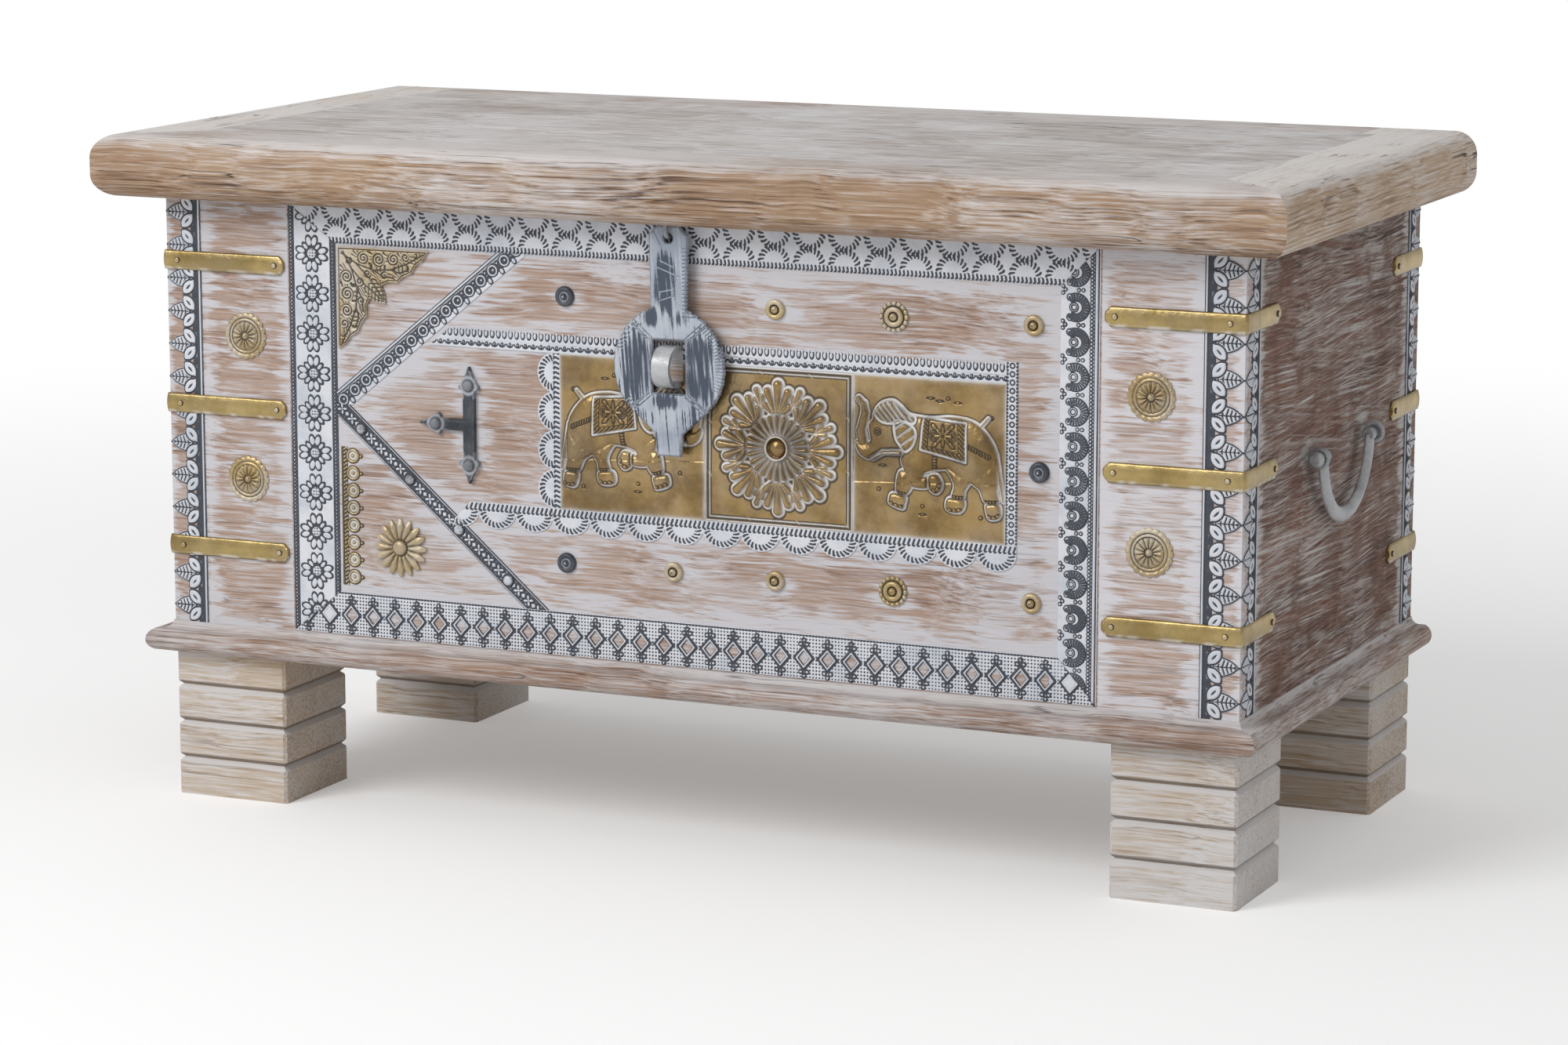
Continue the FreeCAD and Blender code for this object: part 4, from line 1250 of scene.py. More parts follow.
def make_finishes() -> Finishes:
    """Write the metal finishes.

    Returns:
        The materials by name.
    """
    return Finishes(
        zinc=MetalFinish("whitened_zinc", (0.66, 0.68, 0.73), (0.52, 0.55, 0.61), (0.022, 0.028, 0.042),
                         (0.72, 0.73, 0.77), 0.85, 0.12, 0.46).build(),
        brass=MetalFinish("antique_brass", (0.37, 0.25, 0.105), (0.19, 0.122, 0.046), (0.04, 0.024, 0.008),
                          (0.77, 0.765, 0.76), 0.08, 0.85, 0.31, 0.9).build(),
        strap=MetalFinish("strap_brass", (0.43, 0.315, 0.125), (0.28, 0.2, 0.076), (0.08, 0.056, 0.022),
                          (0.64, 0.6, 0.52), 0.12, 0.9, 0.3, 0.4).build(),
        pale=MetalFinish("whitened_brass", (0.5, 0.385, 0.2), (0.37, 0.265, 0.12), (0.045, 0.03, 0.014),
                         (0.68, 0.66, 0.62), 0.55, 0.6, 0.36, 0.3).build(),
        iron=MetalFinish("black_iron", (0.028, 0.035, 0.05), (0.014, 0.018, 0.027), (0.008, 0.009, 0.012),
                         (0.55, 0.57, 0.62), 0.1, 0.1, 0.42).build(),
        painted_iron=MetalFinish("painted_iron", (0.035, 0.043, 0.06), (0.018, 0.023, 0.034),
                                 (0.46, 0.48, 0.53), (0.55, 0.57, 0.62), 0.12, 0.1, 0.36).build(),
        steel=MetalFinish("worn_steel", (0.42, 0.43, 0.44), (0.24, 0.25, 0.26), (0.04, 0.04, 0.045),
                          (0.62, 0.63, 0.65), 0.7, 0.5, 0.42, 0.5).build(),
        hidden=MetalFinish("hinge_steel", (0.2, 0.2, 0.2), (0.12, 0.12, 0.12), (0.03, 0.03, 0.03),
                           (0.3, 0.3, 0.3), 0.2, 0.8, 0.42).build(),
    )


FRONT_WOOD = Palette((0.24, 0.15, 0.108), (0.4, 0.28, 0.218), (0.5, 0.395, 0.335), (0.6, 0.592, 0.625))
SIDE_WOOD = Palette((0.055, 0.026, 0.018), (0.15, 0.068, 0.043), (0.27, 0.15, 0.105), (0.55, 0.525, 0.505))
LID_WOOD = Palette((0.13, 0.085, 0.065), (0.36, 0.28, 0.23), (0.53, 0.455, 0.4), (0.75, 0.745, 0.755))
NOSE_WOOD = Palette((0.1, 0.055, 0.036), (0.35, 0.225, 0.138), (0.5, 0.36, 0.245), (0.66, 0.63, 0.625))
END_WOOD = Palette((0.23, 0.145, 0.1), (0.52, 0.375, 0.255), (0.66, 0.52, 0.395), (0.74, 0.71, 0.69))
BASE_WOOD = Palette((0.1, 0.055, 0.038), (0.29, 0.18, 0.125), (0.42, 0.3, 0.23), (0.58, 0.56, 0.565))
FOOT_WOOD = Palette((0.34, 0.235, 0.15), (0.5, 0.385, 0.275), (0.58, 0.47, 0.36), (0.67, 0.655, 0.655))
INNER_WOOD = Palette((0.2, 0.13, 0.08), (0.38, 0.27, 0.18), (0.47, 0.36, 0.25), (0.5, 0.42, 0.33))


@dataclass
class Carcass:
    """The wooden pieces, which keep their CAD shapes."""

    field: Span = (-247.5, 257.0, 148.5, 379.0)
    halo_reach: float = 17.0
    diagonal_halo: float = 21.0
    stud_halo: float = 16.0
    tee_halo: float = 15.0
    tee_edge: float = 6.0
    stile_lines: tuple[Point, ...] = ((346.0, 11.0), (284.0, 13.0), (375.0, 6.0))
    stile_levels: tuple[float, ...] = (119.0, 171.0, 266.5, 362.0, 405.0)
    stile_reach: Point = (375.0, 288.0)
    strap_halo: float = 11.0
    medallion_halo: float = 27.0
    side_inset: float = 29.0
    side_halo: float = 10.0
    eye_level: float = 263.0
    eye_halo: float = 15.0
    lid_crown: float = 0.437
    base_crown: float = 0.112
    # Painted light: how much brighter the right stile's copy of the front wood is, to make up for dimmer
    # light on that side.
    right_stile_painted_light: float = 1.13

    def halos(self) -> tuple[Halo, ...]:
        """White residue along the metal on the front.

        Returns:
            Lines and points in millimetres.
        """
        x0, x1, z0, z1 = self.field
        y = FRONT_Y
        apex = (x0, y, bounds_mm("lower_diagonal_strip")[5])
        lines = [((x0, z0), (x1, z0)), ((x0, z1), (x1, z1)), ((x0, z0), (x0, z1)), ((x1, z0), (x1, z1))]
        for node in ("upper_lace_strip", "lower_lace_strip"):
            a, b, _, _, low, high = bounds_mm(node)
            middle = (low + high) / 2.0
            lines.append(((a, middle), (b, middle)))
        found = [Halo((a[0], y, a[1]), (b[0], y, b[1]), self.halo_reach) for a, b in lines]
        for node, level in (("upper_diagonal_strip", z1), ("lower_diagonal_strip", z0)):
            found.append(Halo(apex, (bounds_mm(node)[1] - 8.0, y, level), self.diagonal_halo))
        found += [Halo((x, y, z), (x, y, z), self.stud_halo) for x, z in StudWork.field_places()]
        _, right, _, _, low, high = bounds_mm("iron_tee")
        stem = right - self.tee_edge
        found.append(Halo((stem, y, low + self.tee_edge), (stem, y, high - self.tee_edge), self.tee_halo))
        return tuple(found)

    def stile_halos(self, side: float) -> tuple[Halo, ...]:
        """White residue on a stile, along its edges, under its straps and round its medallions.

        Args:
            side: The stile's side, -1 or 1.

        Returns:
            Lines and points in millimetres.
        """
        y = FRONT_Y
        low, high = self.stile_levels[0], self.stile_levels[-1]
        outer, inner = (side * x for x in self.stile_reach)
        found = [Halo((side * x, y, low), (side * x, y, high), reach) for x, reach in self.stile_lines]
        found += [Halo((outer, y, z), (inner, y, z), self.strap_halo) for z in self.stile_levels]
        found += [Halo((x, y, z), (x, y, z), self.medallion_halo)
                  for x, z in reversed(StudWork.medallions) if x * side > 0.0]
        return tuple(found)

    def side_halos(self) -> tuple[Halo, ...]:
        """White residue along the leaf trims of the sides and round the handles' eyes.

        Returns:
            Lines and points in millimetres.
        """
        low, high = self.stile_levels[0], self.stile_levels[-1]
        _, _, eye_front, eye_back, _, _ = bounds_mm("handle_eyes")
        trims = [Halo((x, y, low), (x, y, high), self.side_halo) for x in (-HALF_WIDTH, HALF_WIDTH)
                 for y in (FRONT_Y + self.side_inset, BACK_Y - self.side_inset)]
        eyes = [Halo((x, y, self.eye_level), (x, y, self.eye_level), self.eye_halo)
                for x in (-HALF_WIDTH, HALF_WIDTH) for y in (eye_front, eye_back)]
        return tuple(trims + eyes)

    def dress(self) -> None:
        """Give every board its finish."""
        x, y = Grain.ALONG_X, Grain.ALONG_Y
        # Painted light: the right stile gets a brighter copy of the front wood.
        bright = FRONT_WOOD.lit(self.right_stile_painted_light)
        cuts = tuple(tier * bounds_mm("foot_front_left")[5] / 4.0 * MM for tier in (1, 2, 3))
        lid_edge = dict(patch_level=1.5, crack_level=0.95, crown=self.lid_crown)
        base = dict(wash_level=0.42, patch_level=1.6, crown=self.base_crown)
        foot = dict(patch_level=1.4, crack_level=0.4, grooves=cuts)
        plan = (
            (WoodFinish("front_field_wood", FRONT_WOOD, x, 0.37, crack_level=0.3, halos=self.halos()),
             "front_panel"),
            (WoodFinish("left_stile_wood", FRONT_WOOD, x, 0.26, crack_level=0.4, seed=1.3,
                        halos=self.stile_halos(-1.0)), "front_left_stile"),
            (WoodFinish("right_stile_wood", bright, x, 0.4, crack_level=0.4, seed=2.9,
                        halos=self.stile_halos(1.0)), "front_right_stile"),
            (WoodFinish("side_wood", SIDE_WOOD, y, 0.16, patch_level=1.8, scratch_level=1.0,
                        halos=self.side_halos()), "left_side_panel", "right_side_panel"),
            (WoodFinish("back_wood", SIDE_WOOD, x, 0.3, scratch_level=0.4, seed=4.0), "back_panel"),
            (WoodFinish("lid_top_wood", LID_WOOD, x, 0.56, patch_level=1.0, crack_level=0.7), "lid_panel"),
            (WoodFinish("lid_rail_wood", NOSE_WOOD, x, 0.3, **lid_edge, seed=5.1),
             "lid_front_rail", "lid_back_rail"),
            (WoodFinish("lid_end_wood", END_WOOD, y, 0.36, **lid_edge, seed=6.3),
             "lid_left_rail", "lid_right_rail"),
            (WoodFinish("base_wood", BASE_WOOD, x, **base, seed=7.7),
             "base_front_moulding", "base_back_rail"),
            (WoodFinish("base_end_wood", BASE_WOOD, y, **base, seed=8.2),
             "base_left_moulding", "base_right_moulding"),
            (WoodFinish("foot_wood", FOOT_WOOD, x, 0.45, **foot, seed=9.0),
             "foot_front_left", "foot_back_right"),
            (WoodFinish("foot_wood_pale", FOOT_WOOD, x, 0.62, **foot, seed=3.4),
             "foot_front_right", "foot_back_left"),
            (WoodFinish("inner_wood", INNER_WOOD, x, 0.05, patch_level=0.4),
             "bottom_panel", "inner_corner_posts", "foot_pegs"),
        )
        for finish, *nodes in plan:
            material = finish.build()
            for node in nodes:
                dress(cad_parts[node], material)


@dataclass
class StripWork:
    """The embossed strips round and across the front field."""

    finishes: Finishes
    arc_pitch: float = 24.0
    flower_pitch: float = 26.3
    hook_pitch: float = 21.4
    diamond_pitch: float = 16.3
    ring_pitch: float = 11.0
    scallop_pitch: float = 26.69
    stud_pitch: float = 47.0
    flower_start: float = 1.5
    flower_line: float = 17.5
    diamond_start: float = 2.0
    diamond_line: float = 13.2
    leaf_width: float = 26.0
    leaf_count: int = 13

    def lay(self, node: str, plane: Plane, span: Span, outline: Field, stamp: Field,
            **more: object) -> bpy.types.Object:
        """Press one zinc strip in place of a CAD strip."""
        thing = Relief("pressed_" + node, plane, span, outline, stamp, **more).build()
        return mount(thing, self.finishes.zinc, Slot.ZINC, node)

    def borders(self) -> None:
        """The four border strips, mitred at the corners."""
        left, inner_left, _, _, bottom, top = bounds_mm("left_border_strip")
        inner_right, right, *_ = bounds_mm("right_border_strip")
        inner_bottom, inner_top = bounds_mm("bottom_border_strip")[5], bounds_mm("top_border_strip")[4]
        low, high = inner_bottom - bottom, top - inner_top
        near, far = inner_left - left, right - inner_right
        width, tall = right - left, top - bottom

        def trapezium(length: float, depth: float, low_cut: float, high_cut: float) -> Field:
            """A strip whose inner edge, at v = depth, is shorter by the cuts.

            Args:
                length: Its outer length.
                depth: Its width.
                low_cut: What the start's mitre takes.
                high_cut: What the end's mitre takes.

            Returns:
                The outline's distance.
            """
            def outline(u: Array, v: Array) -> Array:
                """The strip's distance.

                Args:
                    u: Places along the sheet.
                    v: Places across it.

                Returns:
                    Distance to the outline.
                """
                a = (low_cut * v / depth - u) / math.hypot(1.0, low_cut / depth)
                b = (u - length + high_cut * v / depth) / math.hypot(1.0, high_cut / depth)
                return highest(a, b, -v, v - depth)
            return outline

        whole = trapezium(width, low, near, far)
        self.lay("top_border_strip", strip_plane(left, top, (1.0, 0.0), (0.0, -1.0)), (0.0, width, 0.0, high),
                 trapezium(width, high, near, far), self.arcs, groove_width=0.43)
        self.lay("bottom_border_strip", strip_plane(left, bottom, (1.0, 0.0), (0.0, 1.0)),
                 (0.0, width, 0.0, low), lambda u, v: np.maximum(whole(u, v), -self.diamond_hole(u, v)),
                 self.diamonds, shade=self.dot_ground)
        self.lay("left_border_strip", strip_plane(left, bottom, (0.0, 1.0), (1.0, 0.0)),
                 (0.0, tall, 0.0, near), trapezium(tall, near, low, high), self.flowers, groove_width=0.5,
                 shade=self.flower_shade)
        self.lay("right_border_strip", strip_plane(right, bottom, (0.0, 1.0), (-1.0, 0.0)),
                 (0.0, tall, 0.0, far), trapezium(tall, far, low, high), self.hooks, shade=self.hook_shade)

    def arcs(self, u: Array, v: Array) -> Array:
        """Facing rows of arcs made of commas, with a bead edge and a comma edge.

        Args:
            u: Places along the sheet.
            v: Places across it.

        Returns:
            Distance to the pattern.
        """
        du = cell(u, self.arc_pitch)
        high = comma_arc(du, v - 1.2, 9.4, 10, 1.7)
        low = comma_arc(du, 20.6 - v, 9.0, 10, 1.7)
        edge = np.minimum(beads(u, v - 0.4, 2.6, 0.4), commas(u, v - 22.9, 2.7, 1.3, 1.35))
        return union(low, high, edge)

    def blossom(self, u: Array, v: Array) -> tuple[Array, Array, Array, Array]:
        """A flower's own axes, its four heart-shaped petals and its four small ones.

        Args:
            u: Places along the sheet.
            v: Places across it.

        Returns:
            Two axes and two distances.
        """
        du, dv = cell(u - self.flower_start, self.flower_pitch), v - self.flower_line
        hearts = np.minimum(*(petals(du, dv, 4, 8.3, 3.5, 2.1, turn) for turn in (0.25, -0.25)))
        return du, dv, hearts, petals(du, dv, 4, 6.4, 2.7, 1.5, math.pi / 4.0)

    def flowers(self, u: Array, v: Array) -> Array:
        """Flowers with pricked hearts between beaded edges.

        Args:
            u: Places along the sheet.
            v: Places across it.

        Returns:
            Distance to the pattern.
        """
        du, dv, hearts, small = self.blossom(u, v)
        heart = engraved(disc(du, dv, 3.5), disc(cell(u, 1.9), cell(v, 1.9), 0.0), disc(du, dv, 3.5))
        side = np.abs(dv)
        rope = union(beads(u, side - 15.5, 2.4, 0.8), np.abs(side - 13.8), np.abs(side - 17.2))
        return union(hearts, small, heart, rope)

    def flower_shade(self, u: Array, v: Array) -> Array:
        """Dark ground close round the petals.

        Args:
            u: Places along the sheet.
            v: Places across it.

        Returns:
            How dark each place is.
        """
        du, dv, hearts, small = self.blossom(u, v)
        reach = np.hypot(du, dv)
        return 0.7 * ((np.minimum(hearts, small) > 0.0) & (reach < 8.6) & (reach > 3.7))

    def hooks(self, u: Array, v: Array) -> Array:
        """Hooked leaves in a row beside a bead line and two ridges.

        Args:
            u: Places along the sheet.
            v: Places across it.

        Returns:
            Distance to the pattern.
        """
        du = cell(u, self.hook_pitch)
        curl = disc(np.abs(du) - 6.1, v - 19.6, 1.9)
        heart = ring(du, v - 17.0, 2.2, 0.5)
        gap = cell(u + self.hook_pitch / 2.0, self.hook_pitch)
        dots = union(*(disc(gap - a, v - b, 0.95) for a, b in
                       ((0, 11.0), (0, 14.0), (0, 22.6), (-2.1, 24.2), (2.1, 24.2))))
        edge = np.minimum(beads(u, v - 5.4, 2.3, 0.9), np.abs(v - 2.2) - 1.1)
        return union(self.hook(u, v), curl, heart, dots, edge)

    def hook(self, u: Array, v: Array) -> Array:
        """The dark horseshoe of the right strip, open away from the ridges.

        Args:
            u: Places along the sheet.
            v: Places across it.

        Returns:
            Distance to the pattern.
        """
        du, dv = cell(u, self.hook_pitch), v - 15.6
        angle = np.arctan2(du, dv)
        return np.where(np.abs(angle) < 0.75, FAR, ring(du, dv, 6.3, 2.3))

    def hook_shade(self, u: Array, v: Array) -> Array:
        """The horseshoes' dark inside, ribbed."""
        ribs = 0.75 + 0.25 * np.cos(np.arctan2(cell(u, self.hook_pitch), v - 15.6) * 26.0)
        return 0.9 * unit(-self.hook(u, v) / 0.8) * ribs

    def diamond_axes(self, u: Array, v: Array) -> tuple[Array, Array]:
        """How far a point stands from the middle of its diamond, along and across the strip."""
        return np.abs(cell(u - self.diamond_start, self.diamond_pitch)), np.abs(v - self.diamond_line)

    def diamond_hole(self, u: Array, v: Array) -> Array:
        """Open diamonds cut through the bottom strip."""
        du, dv = self.diamond_axes(u, v)
        return np.maximum((du / 3.7 + dv / 4.5 - 1.0) * 2.8, box_distance(u, v, 32.0, 534.0, -1.0, 40.0))

    def diamond_frame(self, u: Array, v: Array) -> Array:
        """The outer edge of the raised frames."""
        du, dv = self.diamond_axes(u, v)
        return (du / 6.3 + dv / 7.2 - 1.0) * 4.7

    def diamonds(self, u: Array, v: Array) -> Array:
        """Raised frames round the open diamonds, with trefoils at their tips and a line along the top.

        Args:
            u: Places along the sheet.
            v: Places across it.

        Returns:
            Distance to the pattern.
        """
        du, dv = self.diamond_axes(u, v)
        frames = np.maximum(self.diamond_frame(u, v), -self.diamond_hole(u, v) - 0.1)
        dots = [disc(du - a, dv - b, 1.2) for a, b in ((0.0, 11.7), (2.2, 9.0))]
        edge = np.abs(v - 27.7) + 0.15
        return union(frames, *dots, edge)

    def dot_ground(self, u: Array, v: Array) -> Array:
        """A fine pricked ground, and the dark valleys beside the diamonds.

        Args:
            u: Places along the sheet.
            v: Places across it.

        Returns:
            How dark each place is.
        """
        rhomb = self.diamond_frame(u, v)
        pricks = 0.95 * bell(disc(cell(u, 2.2), cell(v, 2.2), 0.0), 0.0, 0.66) * (rhomb > 1.0)
        return pricks + 0.9 * bell(rhomb, 0.4, 0.75) + 0.5 * bell(rhomb, -1.6, 0.35)

    def diagonals(self) -> None:
        """The two slanting strips that make the arrow on the left."""
        self.diagonal("upper_diagonal_strip", 1.0, 129.0, 7.0, self.pendants)
        self.diagonal("lower_diagonal_strip", -1.0, 145.0, 6.0, self.squares, 0.4, 2.2)

    def diagonal(self, node: str, way: float, reach: float, half: float, stamp: Field,
                 stud_shade: float = 0.0, stud_height: float = 0.0) -> None:
        """One slanting strip.

        Args:
            node: The CAD strip.
            way: 1 where it climbs from the apex, -1 where it falls.
            reach: How far its middle line runs along x.
            half: Half its width.
            stamp: Its pattern.
            stud_shade: How dark its studs are.
            stud_height: How high its studs stand.
        """
        x0, x1, _, _, z0, z1 = bounds_mm(node)
        rise = z1 - z0
        turn = math.atan2(way * rise, reach)
        length = math.hypot(reach, rise)

        def outline(u: Array, v: Array) -> Array:
            """The band, cut by the field's edges.

            Args:
                u: Places along the sheet.
                v: Places across it.

            Returns:
                Distance to the outline.
            """
            x = u * math.cos(turn) - v * math.sin(turn)
            z = (u * math.sin(turn) + v * math.cos(turn)) * way
            return highest(np.abs(v) - half, -x, x - (x1 - x0), -z, z - rise)

        def shade(u: Array, v: Array) -> Array:
            """Dark ground between the ridges, and dark studs."""
            ground = (stamp(u, v) > 0.3) & (v < 4.0) & (v > -4.0)
            return 0.5 * ground + stud_shade * (disc(cell(u, self.stud_pitch), v, 3.4) < 0.0)

        def swell(u: Array, v: Array) -> Array:
            """Domed studs."""
            return stud_height * np.sqrt(unit(1.0 - (cell(u, self.stud_pitch) ** 2 + v ** 2) / 13.7))

        plane = front_plane(x0, z0 if way > 0.0 else z1, 0.0, turn)
        self.lay(node, plane, (-half, length + half, -half, half), outline, stamp, shade=shade, swell=swell)

    def pendants(self, u: Array, v: Array) -> Array:
        """A row of rings with drops below and a ridge above.

        Args:
            u: Places along the sheet.
            v: Places across it.

        Returns:
            Distance to the pattern.
        """
        du, between = cell(u, self.ring_pitch), cell(u + self.ring_pitch / 2.0, self.ring_pitch)
        rings = np.minimum(ring(du, v + 0.4, 3.1, 0.75), disc(du - 0.5, v + 0.4, 1.0))
        drop = np.minimum(oval(between, v + 4.6, 1.4, 2.1), disc(between, v - 1.6, 0.9))
        return union(rings, drop, np.abs(v - 5.6) - 0.9)

    def squares(self, u: Array, v: Array) -> Array:
        """Petalled squares between ridges, with a round stud now and then.

        Args:
            u: Places along the sheet.
            v: Places across it.

        Returns:
            Distance to the pattern.
        """
        du = cell(u, 9.4)
        flower = np.minimum(petals(du, v, 4, 2.1, 1.9, 1.0, math.pi / 4.0), disc(du, v, 0.8))
        lozenge = np.abs(cell(u + 4.7, 9.4)) + np.abs(v) - 1.9
        stud = disc(cell(u, self.stud_pitch), v, 3.7)
        inner = np.where(stud < 1.0, FAR, np.minimum(flower, lozenge))
        return union(inner, stud, np.abs(np.abs(v) - 5.1) - 0.55)

    def lace(self) -> None:
        """The pierced strips round the plaques."""
        self.upper_lace()
        self.lower_lace()
        x0, x1, _, _, z0, z1 = bounds_mm("plaque_scallop_strip")
        tall, wide = z1 - z0, x1 - x0
        scallops = (tall / 4.0, 5.0, wide - 5.0)
        self.lay("plaque_scallop_strip", strip_plane(x1, z0, (0.0, 1.0), (-1.0, 0.0)), (0.0, tall, 0.0, wide),
                 lambda u, v: np.maximum(self.fan_outline(u, v, *scallops), u - tall),
                 lambda u, v: self.fans(u, v, *scallops), groove_width=0.5)
        x0, x1, _, _, z0, z1 = bounds_mm("plaque_bead_strip")
        size, across = z1 - z0, x1 - x0
        self.lay("plaque_bead_strip", strip_plane(x0, z0, (0.0, 1.0), (1.0, 0.0)), (0.0, size, 0.0, across),
                 lambda u, v: box_distance(u, v, 0.0, size, 0.0, across), self.crosses)

    def upper_lace(self) -> None:
        """The strip of fleurs above the plaques."""
        x0, x1, _, _, z0, z1 = bounds_mm("upper_lace_strip")
        size, tall = x1 - x0, z1 - z0
        slant = tall * 1.22

        def outline(u: Array, v: Array) -> Array:
            """A strip with fleur tips along its top and room for the lock staple.

            Args:
                u: Places along the sheet.
                v: Places across it.

            Returns:
                Distance to the outline.
            """
            tips = tall - 0.4 - 1.7 * np.abs(np.sin(math.pi * u / 4.4))
            body = highest((slant * v / tall - u) * 0.63, u - size, -v, (v - tips) * 0.8)
            return np.maximum(body, -lock_slot(u + x0, v + z0))

        def stamp(u: Array, v: Array) -> Array:
            """Fleurs over small scallops.

            Args:
                u: Places along the sheet.
                v: Places across it.

            Returns:
                Distance to the pattern.
            """
            tip = oval(cell(u, 4.4), v - 10.0, 1.25, 2.3)
            arc = np.where(v < 4.2, np.abs(ring(cell(u, 5.6), v - 4.0, 2.3, 0.0)), FAR)
            return union(tip, arc, disc(cell(u, 5.6), v - 3.4, 0.7))

        self.lay("upper_lace_strip", front_plane(x0, z0), (0.0, size, 0.0, tall), outline, stamp,
                 shade=lambda u, v: 0.35 * bell(v, 5.2, 0.8))

    def lower_lace(self) -> None:
        """The scalloped strip below the plaques, cut at a slant."""
        x0, x1, _, _, z0, z1 = bounds_mm("lower_lace_strip")
        size, tall = x1 - x0, z1 - z0
        scallops = (self.scallop_pitch, 6.0, tall - 6.0)
        self.lay("lower_lace_strip", strip_plane(x1, z1, (-1.0, 0.0), (0.0, -1.0)), (0.0, size, 0.0, tall),
                 lambda u, v: np.maximum(self.fan_outline(u, v, *scallops), (u - size + (tall - v)) * 0.7),
                 lambda u, v: self.fans(u, v, *scallops), groove_width=0.5)

    @staticmethod
    def fan_outline(u: Array, v: Array, pitch: float, band: float, drop: float) -> Array:
        """A band with round scallops hanging from it.

        Args:
            u: Places along the sheet.
            v: Places across it.
            pitch: The scallops' spacing.
            band: The band's width.
            drop: How far the scallops hang.

        Returns:
            Distance to the outline.
        """
        du = cell(u, pitch)
        hang = np.maximum(v - band, 0.0) / drop
        return highest((np.hypot(du / (pitch / 2.0), hang) - 1.0) * drop, -v, -u)

    @staticmethod
    def fans(u: Array, v: Array, pitch: float, band: float, drop: float) -> Array:
        """Commas along the band and round each scallop.

        Args:
            u: Places along the sheet.
            v: Places across it.
            pitch: The scallops' spacing.
            band: The band's width.
            drop: How far the scallops hang.

        Returns:
            Distance to the pattern.
        """
        du = cell(u, pitch)
        deep = (v - band) * (pitch / 2.0) / drop
        rim = comma_arc(du, deep, pitch / 2.0 - 3.0, 11, 1.9)
        return np.minimum(rim, commas(u, v - 0.5 * band, 3.2, 0.33 * band, 1.2))

    @staticmethod
    def crosses(u: Array, v: Array) -> Array:
        """Rings between dotted edges."""
        du, dv = cell(u, 5.2), v - 3.75
        return np.minimum(np.abs(disc(du, dv, 1.5)), beads(u, np.abs(dv) - 3.3, 2.2, 0.4))

    def leaves(self) -> None:
        """Leaf trims on the upright edges of the front and the sides."""
        x0, x1, _, _, z0, z1 = bounds_mm("leaf_trims_front")
        _, _, side_low, side_high, _, _ = bounds_mm("leaf_trims_right_side")
        wide, tall = self.leaf_width, z1 - z0
        pitch = tall / self.leaf_count

        def parts(u: Array, v: Array) -> tuple[Array, Array, Array]:
            """The middle leaf, the two round leaves behind it and the offset along the trim.

            Args:
                u: Places along the sheet.
                v: Places across it.

            Returns:
                Two distances and the offset.
            """
            c = cell(v, pitch)
            share = unit((u - 9.5) / (wide - 10.3))
            leaf = np.maximum((np.abs(c) - 6.0 * (1.0 - share ** 2.6)) * 0.85, 9.5 - u)
            a, b = turned(u - 9.8, np.abs(c) - 5.7, 0.8)
            return leaf, np.hypot(a, np.abs(b) + 3.0) - 6.7, c

        def outline(u: Array, v: Array) -> Array:
            """A straight edge with pointed and round leaves on the other side.

            Args:
                u: Places along the sheet.
                v: Places across it.

            Returns:
                Distance to the outline.
            """
            leaf, small, _ = parts(u, v)
            body = union(leaf - 0.7, small - 0.7, u - 7.5)
            return np.maximum(body, box_distance(u, v, 0.0, wide, 0.0, tall))

        def stamp(u: Array, v: Array) -> Array:
            """A ribbed leaf in front of two round ones, over rings and a ridge.

            Args:
                u: Places along the sheet.
                v: Places across it.

            Returns:
                Distance to the pattern.
            """
            leaf, small, c = parts(u, v)
            leaf = np.maximum(leaf, 0.5 - small)
            rings = np.minimum(ring(u - 5.9, c, 1.3, 0.4), ring(u - 5.9, np.abs(c) - pitch / 2.0, 1.3, 0.4))
            solid = union(leaf, small, rings, np.abs(u - 1.4) - 0.9)
            ribs = np.minimum(np.abs(cell(u - 0.35 * np.abs(c), 2.7)), np.abs(c) + 0.15)
            return engraved(solid, ribs, leaf)

        def shade(u: Array, v: Array) -> Array:
            """The dark line inside the ridge, dark gaps and the round leaves' dark spots.

            Args:
                u: Places along the sheet.
                v: Places across it.

            Returns:
                How dark each place is.
            """
            leaf, small, c = parts(u, v)
            ground = 0.55 * ((np.minimum(leaf, small) > 0.3) & (u > 4.6) & (u < 15.0))
            a, b = turned(u - 9.8, np.abs(c) - 5.7, 0.8)
            spot = 0.95 * np.exp(-(a / 2.6) ** 2 - (b / 0.75) ** 2)
            return highest(0.95 * bell(u, 3.6, 1.0), ground, spot)

        plans = {
            "leaf_trims_front": [((x1 - wide, FRONT_Y), (1.0, 0.0), (0.0, -1.0)),
                                 ((x0 + wide, FRONT_Y), (-1.0, 0.0), (0.0, -1.0))],
            "leaf_trims_right_side": [((HALF_WIDTH, side_low + wide), (0.0, -1.0), (1.0, 0.0)),
                                      ((HALF_WIDTH, side_high - wide), (0.0, 1.0), (1.0, 0.0))],
            "leaf_trims_left_side": [((-HALF_WIDTH, side_low + wide), (0.0, -1.0), (-1.0, 0.0)),
                                     ((-HALF_WIDTH, side_high - wide), (0.0, 1.0), (-1.0, 0.0))],
        }
        for node, places in plans.items():
            for number, (at, along, out) in enumerate(places):
                plane = Plane((*at, z0), (*along, 0.0), (0.0, 0.0, 1.0), (*out, 0.0))
                relief = Relief(f"pressed_{node}_{number}", plane, (0.0, wide, 0.0, tall), outline, stamp,
                                rise=0.7, shade=shade)
                mount(relief.build(), self.finishes.zinc, Slot.ZINC, node)

    def build(self) -> None:
        """Press every strip."""
        self.borders()
        self.diagonals()
        self.lace()
        self.leaves()


